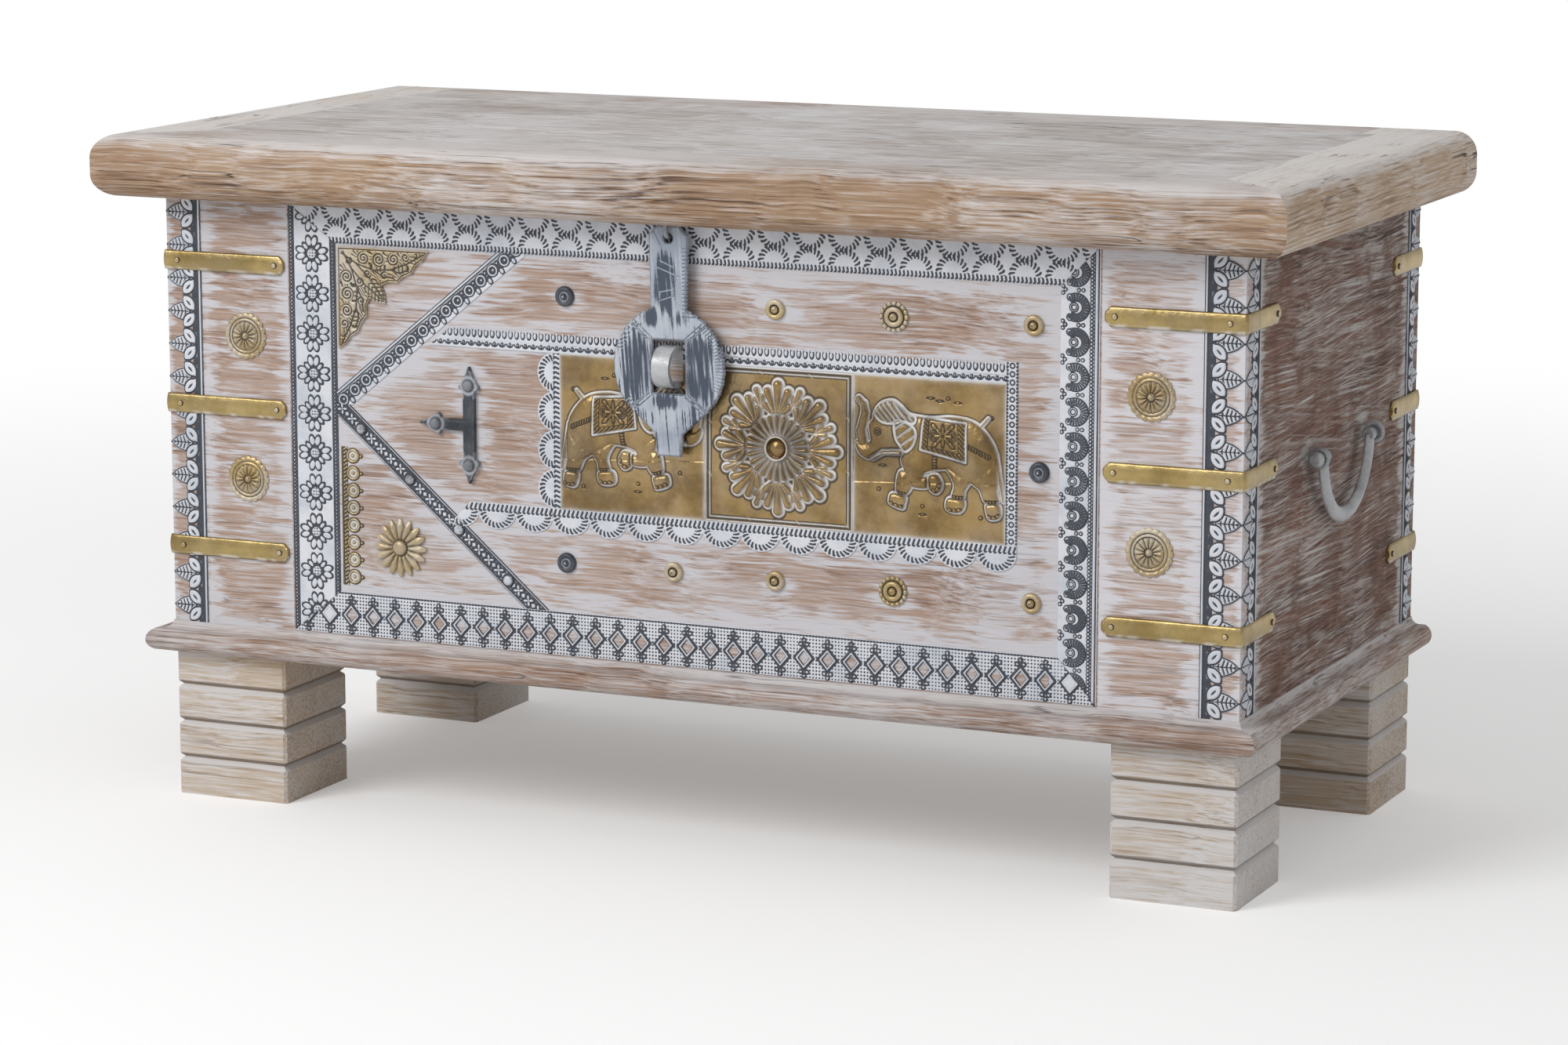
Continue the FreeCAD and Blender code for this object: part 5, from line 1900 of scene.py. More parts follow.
ELEPHANT_BODY = [
    (11.6, 59.0), (10.7, 68.2), (13.6, 72.9), (14.0, 76.7), (18.6, 83.1), (26.0, 85.5), (31.8, 82.5),
    (36.8, 78.1), (43.4, 76.6), (53.3, 76.2), (64.8, 77.5), (76.4, 76.5), (83.8, 73.6), (88.8, 69.2),
    (92.9, 64.1), (95.8, 58.2), (96.2, 52.2), (94.2, 46.0), (88.8, 40.5), (79.7, 36.5), (70.6, 39.5),
    (64.8, 43.9), (56.6, 43.5), (50.0, 41.7), (43.4, 37.5), (36.8, 38.7), (33.9, 47.8), (32.2, 52.3),
    (26.8, 52.8), (17.8, 51.2), (11.1, 47.3), (4.5, 50.1), (1.8, 55.4), (2.4, 58.8), (6.2, 57.6)]
ELEPHANT_LIMBS = [
    [(79.7, 38.3), (91.3, 49.4), (96.4, 53.2), (97.3, 40.2), (96.8, 32.6), (97.6, 25.8), (88.8, 25.4),
     (84.7, 33.1)],
    [(62.4, 46.1), (78.2, 39.7), (75.2, 31.5), (74.1, 26.5), (66.5, 27.3), (67.9, 34.2), (65.7, 40.1)],
    [(31.0, 41.0), (37.8, 41.3), (40.1, 32.8), (35.5, 26.4), (29.3, 28.4)],
    [(33.4, 50.8), (51.6, 48.6), (47.5, 39.3), (50.8, 39.4), (50.8, 32.2), (42.5, 31.4), (38.8, 33.5),
     (35.1, 40.9)]]
ELEPHANT_FEET = [
    [(89.4, 24.6), (97.5, 25.4), (99.3, 19.1), (97.0, 15.6), (91.3, 15.3), (89.2, 20.1)],
    [(64.4, 27.2), (73.5, 26.5), (75.2, 23.2), (72.7, 18.3), (65.7, 18.0), (62.4, 21.0)],
    [(26.4, 27.5), (35.5, 25.7), (35.1, 20.3), (33.4, 17.3), (25.6, 19.8), (24.2, 22.8)],
    [(50.8, 39.4), (56.6, 40.8), (60.0, 36.1), (59.5, 31.5), (56.2, 28.6), (51.6, 31.1)]]
ELEPHANT_TRUNK = [(6.6, 58.2), (5.4, 64.9), (7.4, 71.9), (8.3, 77.3), (7.4, 81.8), (3.9, 84.9)]
ELEPHANT_EAR = [
    (29.3, 72.8), (36.8, 72.3), (42.5, 68.8), (43.4, 63.5), (40.9, 57.3), (35.9, 54.0), (32.6, 58.4),
    (30.1, 62.9)]
ELEPHANT_CLOTH = [(48.7, 76.3), (76.4, 74.0), (76.8, 50.2), (46.7, 56.4)]
ELEPHANT_CLOTH_INNER = [(52.9, 75.3), (71.9, 73.8), (72.3, 54.9), (51.6, 58.5)]
ELEPHANT_HOOD = [
    (14.9, 78.3), (18.6, 82.9), (26.0, 85.3), (31.8, 82.2), (36.8, 77.7), (42.5, 75.6), (41.7, 71.8),
    (35.1, 73.0), (28.5, 71.2), (21.1, 71.7), (15.7, 75.3)]
ELEPHANT_TUSK = [(32.6, 53.1), (26.8, 52.8), (21.1, 52.5), (13.6, 48.0)]
ELEPHANT_TAIL = [(95.6, 56.0), (97.4, 46.0), (99.6, 34.0), (100.6, 27.0)]
ELEPHANT_TOES = [
    (92.0, 16.6), (95.0, 16.4), (98.0, 17.6), (65.8, 19.4), (69.0, 19.0), (72.2, 19.6), (26.6, 20.8),
    (29.8, 19.6), (33.0, 18.8), (55.0, 30.6), (57.8, 31.6), (59.0, 34.4)]
ELEPHANT_CUFFS = [((88.6, 26.0), (98.0, 26.4)), ((65.6, 28.0), (74.6, 27.4)), ((28.4, 29.0), (36.0, 27.0)),
                  ((50.8, 32.4), (50.6, 39.2))]
ELEPHANT_MARKS = [(52.0, 88.0), (58.0, 86.5), (70.0, 86.0), (20.0, 44.0), (47.0, 15.0)]
ELEPHANT_PINS = [(17.3, 29.0), (46.7, 20.2), (85.5, 15.7), (63.6, 88.3), (92.4, 77.9)]
FOLIAGE_OUTLINE = [
    (0.0, 0.0), (68.0, 0.0), (63.5, 6.5), (59.0, 9.5), (55.5, 15.0), (49.5, 17.5), (45.0, 21.5),
    (38.0, 21.5), (33.0, 24.0), (35.0, 28.5), (35.8, 35.8), (28.5, 35.0), (24.0, 33.0), (21.5, 38.0),
    (21.5, 45.0), (17.5, 49.5), (15.0, 55.5), (9.5, 59.0), (6.5, 63.5), (0.0, 68.0)]
FOLIAGE_VEINS = [[(3.0, 4.0), (14.0, 10.5), (27.0, 14.5), (40.0, 13.5), (52.0, 9.0), (64.0, 2.5)],
                 [(14.0, 10.5), (24.0, 20.0), (33.0, 32.0)], [(27.0, 14.5), (34.0, 18.5), (42.0, 18.5)],
                 [(40.0, 13.5), (46.0, 15.5), (53.0, 13.0)]]
FOLIAGE_SCROLLS = [
    (19.5, 6.6, 4.6, 1.0), (31.0, 7.0, 5.0, -1.0), (42.0, 6.4, 4.4, 1.0), (51.0, 4.6, 3.2, -1.0),
    (22.5, 16.6, 3.2, -1.0), (35.0, 17.6, 3.0, 1.0), (58.5, 2.8, 1.9, 1.0), (9.0, 9.0, 2.6, 1.0)]


@dataclass
class PlaqueWork:
    """The brass plaques, the foliage corner, the ring edging and the brass flower."""

    finishes: Finishes
    dent_height: float = 0.6
    elephant_drawing: Point = (102.0, 100.0)
    foliage_drawing: float = 68.0
    edging_count: int = 8

    def dents(self, u: Array, v: Array) -> Array:
        """Slow unevenness of thin sheet nailed over wood.

        Args:
            u: Places along the sheet.
            v: Places across it.

        Returns:
            The height at each place.
        """
        wave = np.sin(u * 0.11 + 1.3) * np.sin(v * 0.09 + 0.4) + 0.6 * np.sin(u * 0.21 - v * 0.17)
        crease = bell(v - 33.0 - 0.05 * u, 0.0, 0.6)
        crease += bell(u - 51.0 - 0.25 * (v - 10.0), 0.0, 0.7) * (v < 22)
        return self.dent_height * (0.45 * wave - 0.7 * crease)

    def elephant(self, node: str, mirrored: bool) -> bpy.types.Object:
        """A plaque with an elephant in low relief.

        Args:
            node: The CAD plaque.
            mirrored: Whether it walks to the right.

        Returns:
            The plaque.
        """
        x0, x1, _, _, z0, z1 = bounds_mm(node)
        wide, tall = x1 - x0, z1 - z0
        drawn_wide, drawn_tall = self.elephant_drawing
        shapes = {"body": [ELEPHANT_BODY], "limb": ELEPHANT_LIMBS, "foot": ELEPHANT_FEET,
                  "ear": [ELEPHANT_EAR], "hood": [ELEPHANT_HOOD]}
        smooth = {name: [smooth_outline(points) for points in group] for name, group in shapes.items()}
        tops = (("tail", 1.1, 1.0), ("whole", 4.0, 8.0), ("limb", 2.9, 3.2), ("foot", 3.0, 3.0),
                ("trunk", 3.0, 2.8), ("ear", 4.5, 3.0), ("hood", 4.4, 3.0), ("tusk", 3.8, 1.4),
                ("cloth", 4.5, 1.2))

        @remembered
        def parts(u: Array, v: Array) -> dict[str, Array]:
            """Distances to the animal's parts, and a point's place in the drawing.

            Args:
                u: Places along the sheet.
                v: Places across it.

            Returns:
                Distances by the parts' names, and the place as a and b.
            """
            a, b = u / wide * drawn_wide, v / tall * drawn_tall
            a = drawn_wide - a if mirrored else a
            found = {name: union(*(polygon(a, b, points) for points in group))
                     for name, group in smooth.items()}
            found["whole"] = np.minimum(found["body"], found["limb"])
            found |= {"a": a, "b": b, "trunk": stroke(a, b, ELEPHANT_TRUNK, 3.2, 1.8),
                      "tail": np.minimum(stroke(a, b, ELEPHANT_TAIL, 1.2, 0.9),
                                         stroke(a, b, [(85.1, 72.1), (88.8, 76.1), (90.0, 77.6)], 0.9, 0.7)),
                      "tusk": stroke(a, b, ELEPHANT_TUSK, 1.7, 1.0), "cloth": polygon(a, b, ELEPHANT_CLOTH),
                      "inner": polygon(a, b, ELEPHANT_CLOTH_INNER)}
            return found

        def stamp(u: Array, v: Array) -> Array:
            """Fine raised work: cloth, hood, ear ribs, tusk, anklets and pins.

            Args:
                u: Places along the sheet.
                v: Places across it.

            Returns:
                Distance to the pattern.
            """
            p = parts(u, v)
            a, b = p["a"], p["b"]
            fringe = np.maximum(np.maximum(p["cloth"], -p["inner"]), np.abs(cell(a + b, 2.8)) - 0.8)
            x, y = a - 62.0, b - 65.5
            flower = np.minimum(petals(x, y, 8, 3.6, 3.2, 1.0), petals(x, y, 4, 8.0, 2.4, 1.3, 0.8))
            scroll = np.minimum(ring(np.abs(x) - 6.6, np.abs(y) - 1.2, 1.6, 0.45), flower)
            weave = np.maximum(p["inner"] + 0.8, scroll)
            ribs = np.maximum(p["ear"] + 0.8, np.abs(cell(b * 0.8 - a * 0.6, 5.2)) - 2.0)
            comb = np.maximum(p["hood"] + 0.6, np.abs(cell(a * 0.75 + b * 0.65, 2.8)) - 0.9)
            sole = union(*(disc(a - x, b - y, 1.5) for x, y in ELEPHANT_TOES))
            toes = np.maximum(p["foot"] - 0.4, sole)
            cuffs = union(*(np.maximum(line(a, b, start, end, 1.0), np.abs(cell(a, 2.0)) - 0.8)
                            for start, end in ELEPHANT_CUFFS))
            eye = np.minimum(ring(a - 17.8, b - 65.4, 1.9, 0.45), disc(a - 17.8, b - 65.4, 0.9))
            pins = union(*(disc(a - x, b - y, 1.1) for x, y in ELEPHANT_PINS))
            rope = np.maximum(line(a, b, (77.2, 60.4), (92.0, 54.4), 1.3), np.abs(cell(a, 1.8)) - 0.6)
            strap = np.maximum(line(a, b, (56.6, 55.0), (55.7, 44.5), 1.4), np.abs(cell(b, 1.8)) - 0.6)
            marks = union(*(oval(a - x, b - y, 1.8, 0.6) for x, y in ELEPHANT_MARKS))
            return union(fringe, weave, ribs, comb, toes, cuffs, eye, pins, rope, strap, marks, p["tusk"])

        def swell(u: Array, v: Array) -> Array:
            """The animal's rounded body over the dented sheet.

            Args:
                u: Places along the sheet.
                v: Places across it.

            Returns:
                The height at each place.
            """
            p = parts(u, v)
            rise = highest(*(top * shoulder(p[name], soft) for name, top, soft in tops))
            return rise + self.dents(u, v)

        def edges(u: Array, v: Array, shift: float, width: float) -> Array:
            """How near a point is to any of the animal's outlines.

            Args:
                u: Places along the sheet.
                v: Places across it.
                shift: How far outside the outlines.
                width: How wide the line is.

            Returns:
                1 on the line and 0 far off.
            """
            p = parts(u, v)
            animal = union(*(p[name] for name in ("whole", "foot", "trunk", "tail")))
            outlines = [animal, *(p[name] for name in ("ear", "hood", "cloth", "tusk"))]
            return highest(*(bell(gap, shift, width) for gap in outlines))

        def rim(u: Array, v: Array) -> Array:
            """White paint left along the outlines and the plaque's ragged edge.

            Args:
                u: Places along the sheet.
                v: Places across it.

            Returns:
                How white each place is.
            """
            worn = 0.7 + 0.3 * np.sin(u * 0.31 + 1.0) * np.sin(v * 0.27 + 0.5)
            border = np.exp(box_distance(u, v, 0.0, wide, 0.0, tall) / 0.9)
            p = parts(u, v)
            ribs = 0.75 * bell(stamp(u, v), 0.25, 0.4) * ((p["ear"] < 0.0) | (p["hood"] < 0.0))
            return highest(1.4 * edges(u, v, 0.2, 0.6) * worn, 0.8 * border, ribs)

        def outline(u: Array, v: Array) -> Array:
            """The plaque's edge, less the slots of the lock staple."""
            return np.maximum(box_distance(u, v, 0.0, wide, 0.0, tall), -lock_slot(u + x0, v + z0))

        def shade(u: Array, v: Array) -> Array:
            """Dark lines outside the outlines: a thin one close to them, partly dirt and partly painted
            shade, and wide painted shade farther off.
            """
            return 0.5 * edges(u, v, 1.35, 0.6) + 0.2 * edges(u, v, 1.5, 2.2)

        thing = Relief("pressed_" + node, front_plane(x0, z0), (0.0, wide, 0.0, tall), outline, stamp,
                       sheet=0.7, rise=0.6, groove_width=0.4, swell=swell, shade=shade, residue=rim).build()
        return mount(thing, self.finishes.brass, Slot.BRASS, node)

    def rosette(self) -> bpy.types.Object:
        """The middle plaque: a rosette of palmettes and buds in a double frame.

        Returns:
            The plaque.
        """
        x0, x1, _, _, z0, z1 = bounds_mm("rosette_plaque")
        wide, tall = x1 - x0, z1 - z0
        cx, cz = wide / 2.0, tall / 2.0
        palmette = [(8, 0.0, 18.5, tilt, length, 1.0, end, 3.7) for tilt, length, end in
                    ((0.0, 21.5, 3.2), (0.39, 18.6, 2.7), (-0.39, 18.6, 2.7), (0.78, 11.6, 2.4),
                     (-0.78, 11.6, 2.4))]
        bud = [(8, math.pi / 8.0, 27.0, tilt, length, 0.8, end, 2.6) for tilt, length, end in
               ((0.0, 12.0, 2.1), (0.4, 7.6, 1.6), (-0.4, 7.6, 1.6))]
        lobes = [*palmette, *bud, (24, 0.0, 9.4, 0.0, 10.2, 0.55, 1.85, 4.4)]

        def domes(u: Array, v: Array) -> tuple[Array, Array]:
            """The heights of the petals at a point in rising order, and the distance to the nearest petal.

            Args:
                u: Places along the sheet.
                v: Places across it.

            Returns:
                The sorted heights and the distance.
            """
            x, y = u - cx, v - cz
            layers, gaps = [], []
            for count, turn, base, tilt, length, start, end, top in lobes:
                gap = tapered(*folded(x, y, count, turn), base, tilt, length, start, end)
                gap = np.maximum(gap, 21.8 - np.hypot(x, y)) if count == 8 else gap
                layers.append(top * shoulder(gap, 0.85 * end))
                gaps.append(gap)
            reach = np.hypot(x, y)
            layers.append(4.8 * dome(reach, 6.0))
            layers.append(4.4 * dome(reach - 7.4, 1.2))
            return np.sort(np.stack(layers), axis=0), union(*gaps, reach - 8.6)

        def seams(u: Array, v: Array) -> Array:
            """White paint left in the seams between petals and on the frame.

            Args:
                u: Places along the sheet.
                v: Places across it.

            Returns:
                How white each place is.
            """
            x, y = u - cx, v - cz
            layers, gap = domes(u, v)
            seam = bell(layers[-1] - layers[-2], 0.0, 0.45) * (gap < -0.2) * (np.hypot(x, y) > 6.4)
            rim = 1.1 * bell(gap, 0.45, 0.8)
            side = np.maximum(np.abs(x), np.abs(y) * wide / tall)
            frames = np.maximum(0.9 * bell(side, 50.6, 0.7), 0.7 * bell(side, 47.6, 0.5))
            collar = 0.9 * bell(np.hypot(x, y), 7.4, 0.7)
            return highest(0.95 * seam, rim, frames, collar)

        def stamp(u: Array, v: Array) -> Array:
            """Frame ridges and the pricked heart.

            Args:
                u: Places along the sheet.
                v: Places across it.

            Returns:
                Distance to the pattern.
            """
            x, y = u - cx, v - cz
            side = np.maximum(np.abs(x), np.abs(y) * wide / tall)
            dashes = np.maximum(np.abs(side - 47.6) - 0.7, np.abs(cell(u + v, 34.0)) - 15.5)
            heart = np.where(disc(x, y, 4.8) < 0.0, disc(cell(u, 2.6), cell(v, 2.6), 0.0) + 0.3, FAR)
            return union(dashes, np.abs(side - 50.2) - 0.8, heart)

        def ground(u: Array, v: Array) -> Array:
            """Painted shade in a band just outside the petals, and darker brass over the rest of the ground.
            """
            gap = domes(u, v)[1]
            return 0.55 * bell(gap, 2.0, 0.8) + 0.22 * (gap > 1.0)

        def swell(u: Array, v: Array) -> Array:
            """The petals over the dented sheet."""
            layers, gap = domes(u, v)
            return layers[-1] + 0.5 * self.dents(u, v) * (gap > 0.0)

        thing = Relief("pressed_rosette_plaque", front_plane(x0, z0), (0.0, wide, 0.0, tall),
                       lambda u, v: box_distance(u, v, 0.0, wide, 0.0, tall), stamp, sheet=0.7, rise=0.5,
                       swell=swell, shade=ground, residue=seams).build()
        return mount(thing, self.finishes.brass, Slot.BRASS, "rosette_plaque")

    def foliage(self) -> bpy.types.Object:
        """The corner plaque: two long scrolled leaves and a short one between them.

        Returns:
            The plaque.
        """
        x0, x1, _, _, _, z1 = bounds_mm("foliage_plaque")
        size = x1 - x0
        scale = size / self.foliage_drawing

        @remembered
        def shapes(u: Array, v: Array) -> tuple[Array, Array]:
            """Distances to the outline and to the engraved lines.

            Args:
                u: Places along the sheet.
                v: Places across it.

            Returns:
                The two distances.
            """
            a, b = u / scale, v / scale
            solid = polygon(a, b, FOLIAGE_OUTLINE)
            lines = [np.where(solid < -1.4, FAR, np.abs(solid + 1.3))]
            for p, q in ((a, b), (b, a)):
                lines += [stroke(p, q, vein, 0.0, 0.0) for vein in FOLIAGE_VEINS]
                free = union(*(np.hypot(p - at, q - off) - radius for at, off, radius, _ in FOLIAGE_SCROLLS))
                frond = np.abs(cell(p - 1.1 * q + 2.4 * np.sin(q * 0.5) + 1.5 * np.sin(p * 0.4), 4.2))
                lines.append(np.where((free > 0.4) & (solid < -1.8) & (q < p - 6.0), frond * 0.75, FAR))
                for at, off, radius, way in FOLIAGE_SCROLLS:
                    reach, angle = np.hypot(p - at, q - off), np.arctan2(q - off, p - at) * way
                    coil = np.abs(np.mod(reach - 2.1 * angle / (2.0 * math.pi), 2.1) - 1.05)
                    lines.append(np.where(reach < radius, coil, FAR))
            p, q = turned(a - 27.0, b - 27.0, math.pi / 4.0)
            inside = (np.abs(q) < 6.5) & (p > -6.0) & (p < 10.0)
            rib = np.where(inside, np.abs(cell(p - 0.9 * np.abs(q), 3.4)), FAR)
            return solid * scale, union(*lines, rib) * scale

        plane = strip_plane(x0, z1, (1.0, 0.0), (0.0, -1.0))
        thing = Relief("pressed_foliage_plaque", plane, (0.0, size, 0.0, size), lambda u, v: shapes(u, v)[0],
                       lambda u, v: shapes(u, v)[1], sheet=0.9, rise=0.4, groove_width=0.4,
                       swell=lambda u, v: 0.9 * unit((shapes(u, v)[1] - 0.2) / 0.8),
                       residue=lambda u, v: 0.6 * bell(shapes(u, v)[1], 0.75, 0.25)).build()
        return mount(thing, self.finishes.pale, Slot.BRASS, "foliage_plaque")

    def ring_edging(self) -> bpy.types.Object:
        """The brass edging of rings and beads.

        Returns:
            The edging.
        """
        x0, x1, _, _, z0, z1 = bounds_mm("ring_edging_strip")
        wide, tall = x1 - x0, z1 - z0
        pitch = tall / self.edging_count

        def outline(u: Array, v: Array) -> Array:
            """A thin spine with an open ring and a bead for each lobe.

            Args:
                u: Places along the sheet.
                v: Places across it.

            Returns:
                Distance to the outline.
            """
            c = cell(v, pitch)
            lobes = np.minimum(disc(u - wide + 7.4, c, 5.3), disc(u - wide + 1.5, c, 1.5))
            return np.maximum(np.minimum(lobes, u - 4.6), box_distance(u, v, 0.0, wide, 0.0, tall))

        def stamp(u: Array, v: Array) -> Array:
            """Rings, beads at their tips and a corded spine.

            Args:
                u: Places along the sheet.
                v: Places across it.

            Returns:
                Distance to the pattern.
            """
            c = cell(v, pitch)
            rings = np.minimum(ring(u - wide + 7.4, c, 3.9, 0.85), disc(u - wide + 7.4, c, 1.2))
            tip = np.minimum(disc(u - wide + 1.5, c, 1.0), disc(u - wide + 3.2, np.abs(c) - pitch / 2.0, 1.0))
            spine = np.minimum(commas(v, u - 2.9, 2.6, 1.1, 0.8), np.abs(u - 0.8) - 0.35)
            return union(rings, tip, spine)

        def paint(u: Array, v: Array) -> Array:
            """White paint left inside each ring."""
            return 0.85 * (np.abs(np.hypot(u - wide + 7.4, cell(v, pitch)) - 2.1) < 0.9)

        thing = Relief("pressed_ring_edging_strip", front_plane(x0, z0), (0.0, wide, 0.0, tall), outline,
                       stamp, sheet=0.5, residue=paint).build()
        return mount(thing, self.finishes.pale, Slot.BRASS, "ring_edging_strip")

    def flower(self) -> bpy.types.Object:
        """The sixteen-petalled brass flower.

        Returns:
            The flower.
        """
        x0, x1, _, _, z0, z1 = bounds_mm("brass_flower")
        radius = (x1 - x0) / 2.0

        def height(r: Array, t: Array) -> Array:
            """Petals that rise to a domed heart.

            Args:
                r: Distances from the middle.
                t: Angles round it.

            Returns:
                The height at each place.
            """
            petal = np.abs(np.cos(8.0 * t)) ** 0.7
            ring_rise = 1.0 + 2.2 * petal * unit((r - 4.5) / 3.0) * unit((radius + 0.6 - r) / 5.0)
            heart = 2.2 + 2.4 * dome(r, 5.0)
            return np.where(r < 5.0, heart, ring_rise)

        def groove(r: Array, t: Array) -> Array:
            """Dark seams between the petals and round the heart."""
            seam = bell(np.cos(8.0 * t) * r, 0.0, 3.2) * unit((r - 5.0) / 2.0)
            return np.maximum(0.6 * seam, 0.8 * bell(r, 5.4, 0.5))

        plane = front_plane((x0 + x1) / 2.0, (z0 + z1) / 2.0)
        thing = Boss("pressed_brass_flower", plane, radius, height, groove, 5.5, 16, 40, 192, 1.7).build()
        return mount(thing, self.finishes.pale, Slot.BRASS, "brass_flower")

    def build(self) -> None:
        """Press every brass piece of the field."""
        self.elephant("elephant_plaque_left", True)
        self.elephant("elephant_plaque_right", False)
        self.rosette()
        self.foliage()
        self.ring_edging()
        self.flower()


@dataclass
class StudWork:
    """Round studs, flower studs and medallions on the front."""

    finishes: Finishes
    iron: tuple[Point, ...] = ((-80.5, 353.5), (-80.5, 181.0), (244.0, 263.0))
    brass: tuple[Point, ...] = ((239.5, 353.5), (66.5, 353.5), (239.5, 181.0), (66.5, 181.0), (-4.5, 181.0))
    flowers: tuple[Point, ...] = ((147.0, 353.5), (147.0, 181.0))
    medallions: tuple[Point, ...] = ((-316.0, 218.75), (-316.0, 314.25), (316.0, 218.75), (316.0, 314.25))
    rings: int = 34
    spokes: int = 120

    @classmethod
    def field_places(cls) -> list[Point]:
        """The places of every stud on the field, along x and z."""
        return [*cls.iron, *cls.brass, *cls.flowers]

    @staticmethod
    def stud_height(r: Array, t: Array) -> Array:
        """A small domed head in a rounded rim."""
        rim = 2.0 * dome(r - 4.7, 1.9)
        return 0.7 + np.maximum(rim, 3.2 * dome(r, 2.7))

    @staticmethod
    def stud_groove(r: Array, t: Array) -> Array:
        """Dirt between dome and rim, and a dark pin in the middle."""
        return np.maximum(bell(r, 2.8, 0.5), 0.9 * bell(r, 0.0, 0.7))

    @staticmethod
    def medallion_height(r: Array, t: Array) -> Array:
        """A scalloped rim, a ring and a flower round a nail.

        Args:
            r: Distances from the middle.
            t: Angles round it.

        Returns:
            The height at each place.
        """
        rim = 1.1 * bell(r, 13.4, 1.1) * (0.55 + 0.45 * np.abs(np.cos(10.0 * t)))
        collar = 1.0 * bell(r, 10.6, 0.7)
        petal = 2.0 * np.abs(np.cos(7.0 * t)) ** 0.8 * unit((r - 2.2) / 1.5) * unit((10.0 - r) / 2.0)
        nail = 2.4 * dome(r, 2.3)
        return 0.8 + highest(rim, collar, petal, nail)

    @staticmethod
    def medallion_groove(r: Array, t: Array) -> Array:
        """Dirt between the tiers."""
        seam = bell(np.cos(7.0 * t) * r, 0.0, 2.4) * ((r > 3.0) & (r < 9.6))
        return highest(0.6 * seam, *(0.8 * bell(r, at, 0.42) for at in (2.7, 9.6, 11.9)))

    @staticmethod
    def rose_height(r: Array, t: Array) -> Array:
        """A stud inside a ring of beads."""
        bead = 1.2 * dome(r - 8.4, 1.3) * np.abs(np.cos(8.0 * t)) ** 0.6
        return np.maximum(0.8 + bead, StudWork.stud_height(r, t) * (r < 6.7))

    @staticmethod
    def rose_groove(r: Array, t: Array) -> Array:
        """Dirt between the beads and round the stud."""
        seam = bell(np.cos(8.0 * t) * r, 0.0, 3.0) * (r > 7.4)
        return highest(0.8 * seam, bell(r, 6.8, 0.5), StudWork.stud_groove(r, t))

    def build(self) -> None:
        """Press the studs and medallions."""
        brass, iron = self.finishes.pale, self.finishes.painted_iron
        stud, rose = (self.stud_height, self.stud_groove), (self.rose_height, self.rose_groove)
        medallion = (self.medallion_height, self.medallion_groove)
        kinds = (
            ("iron_studs", self.iron, 6.6, stud, 0.0, 0, iron, Slot.IRON),
            ("brass_studs", self.brass, 6.6, stud, 0.0, 0, brass, Slot.BRASS),
            ("flower_studs", self.flowers, 9.8, rose, 0.9, 16, brass, Slot.BRASS),
            ("medallions", self.medallions, 15.5, medallion, 1.2, 20, brass, Slot.BRASS),
        )
        for node, places, radius, press, notch, lobes, material, slot in kinds:
            for number, (x, z) in enumerate(places):
                boss = Boss(f"pressed_{node}_{number}", front_plane(x, z), radius, *press, notch, lobes,
                            self.rings, self.spokes)
                mount(boss.build(), material, slot, node)


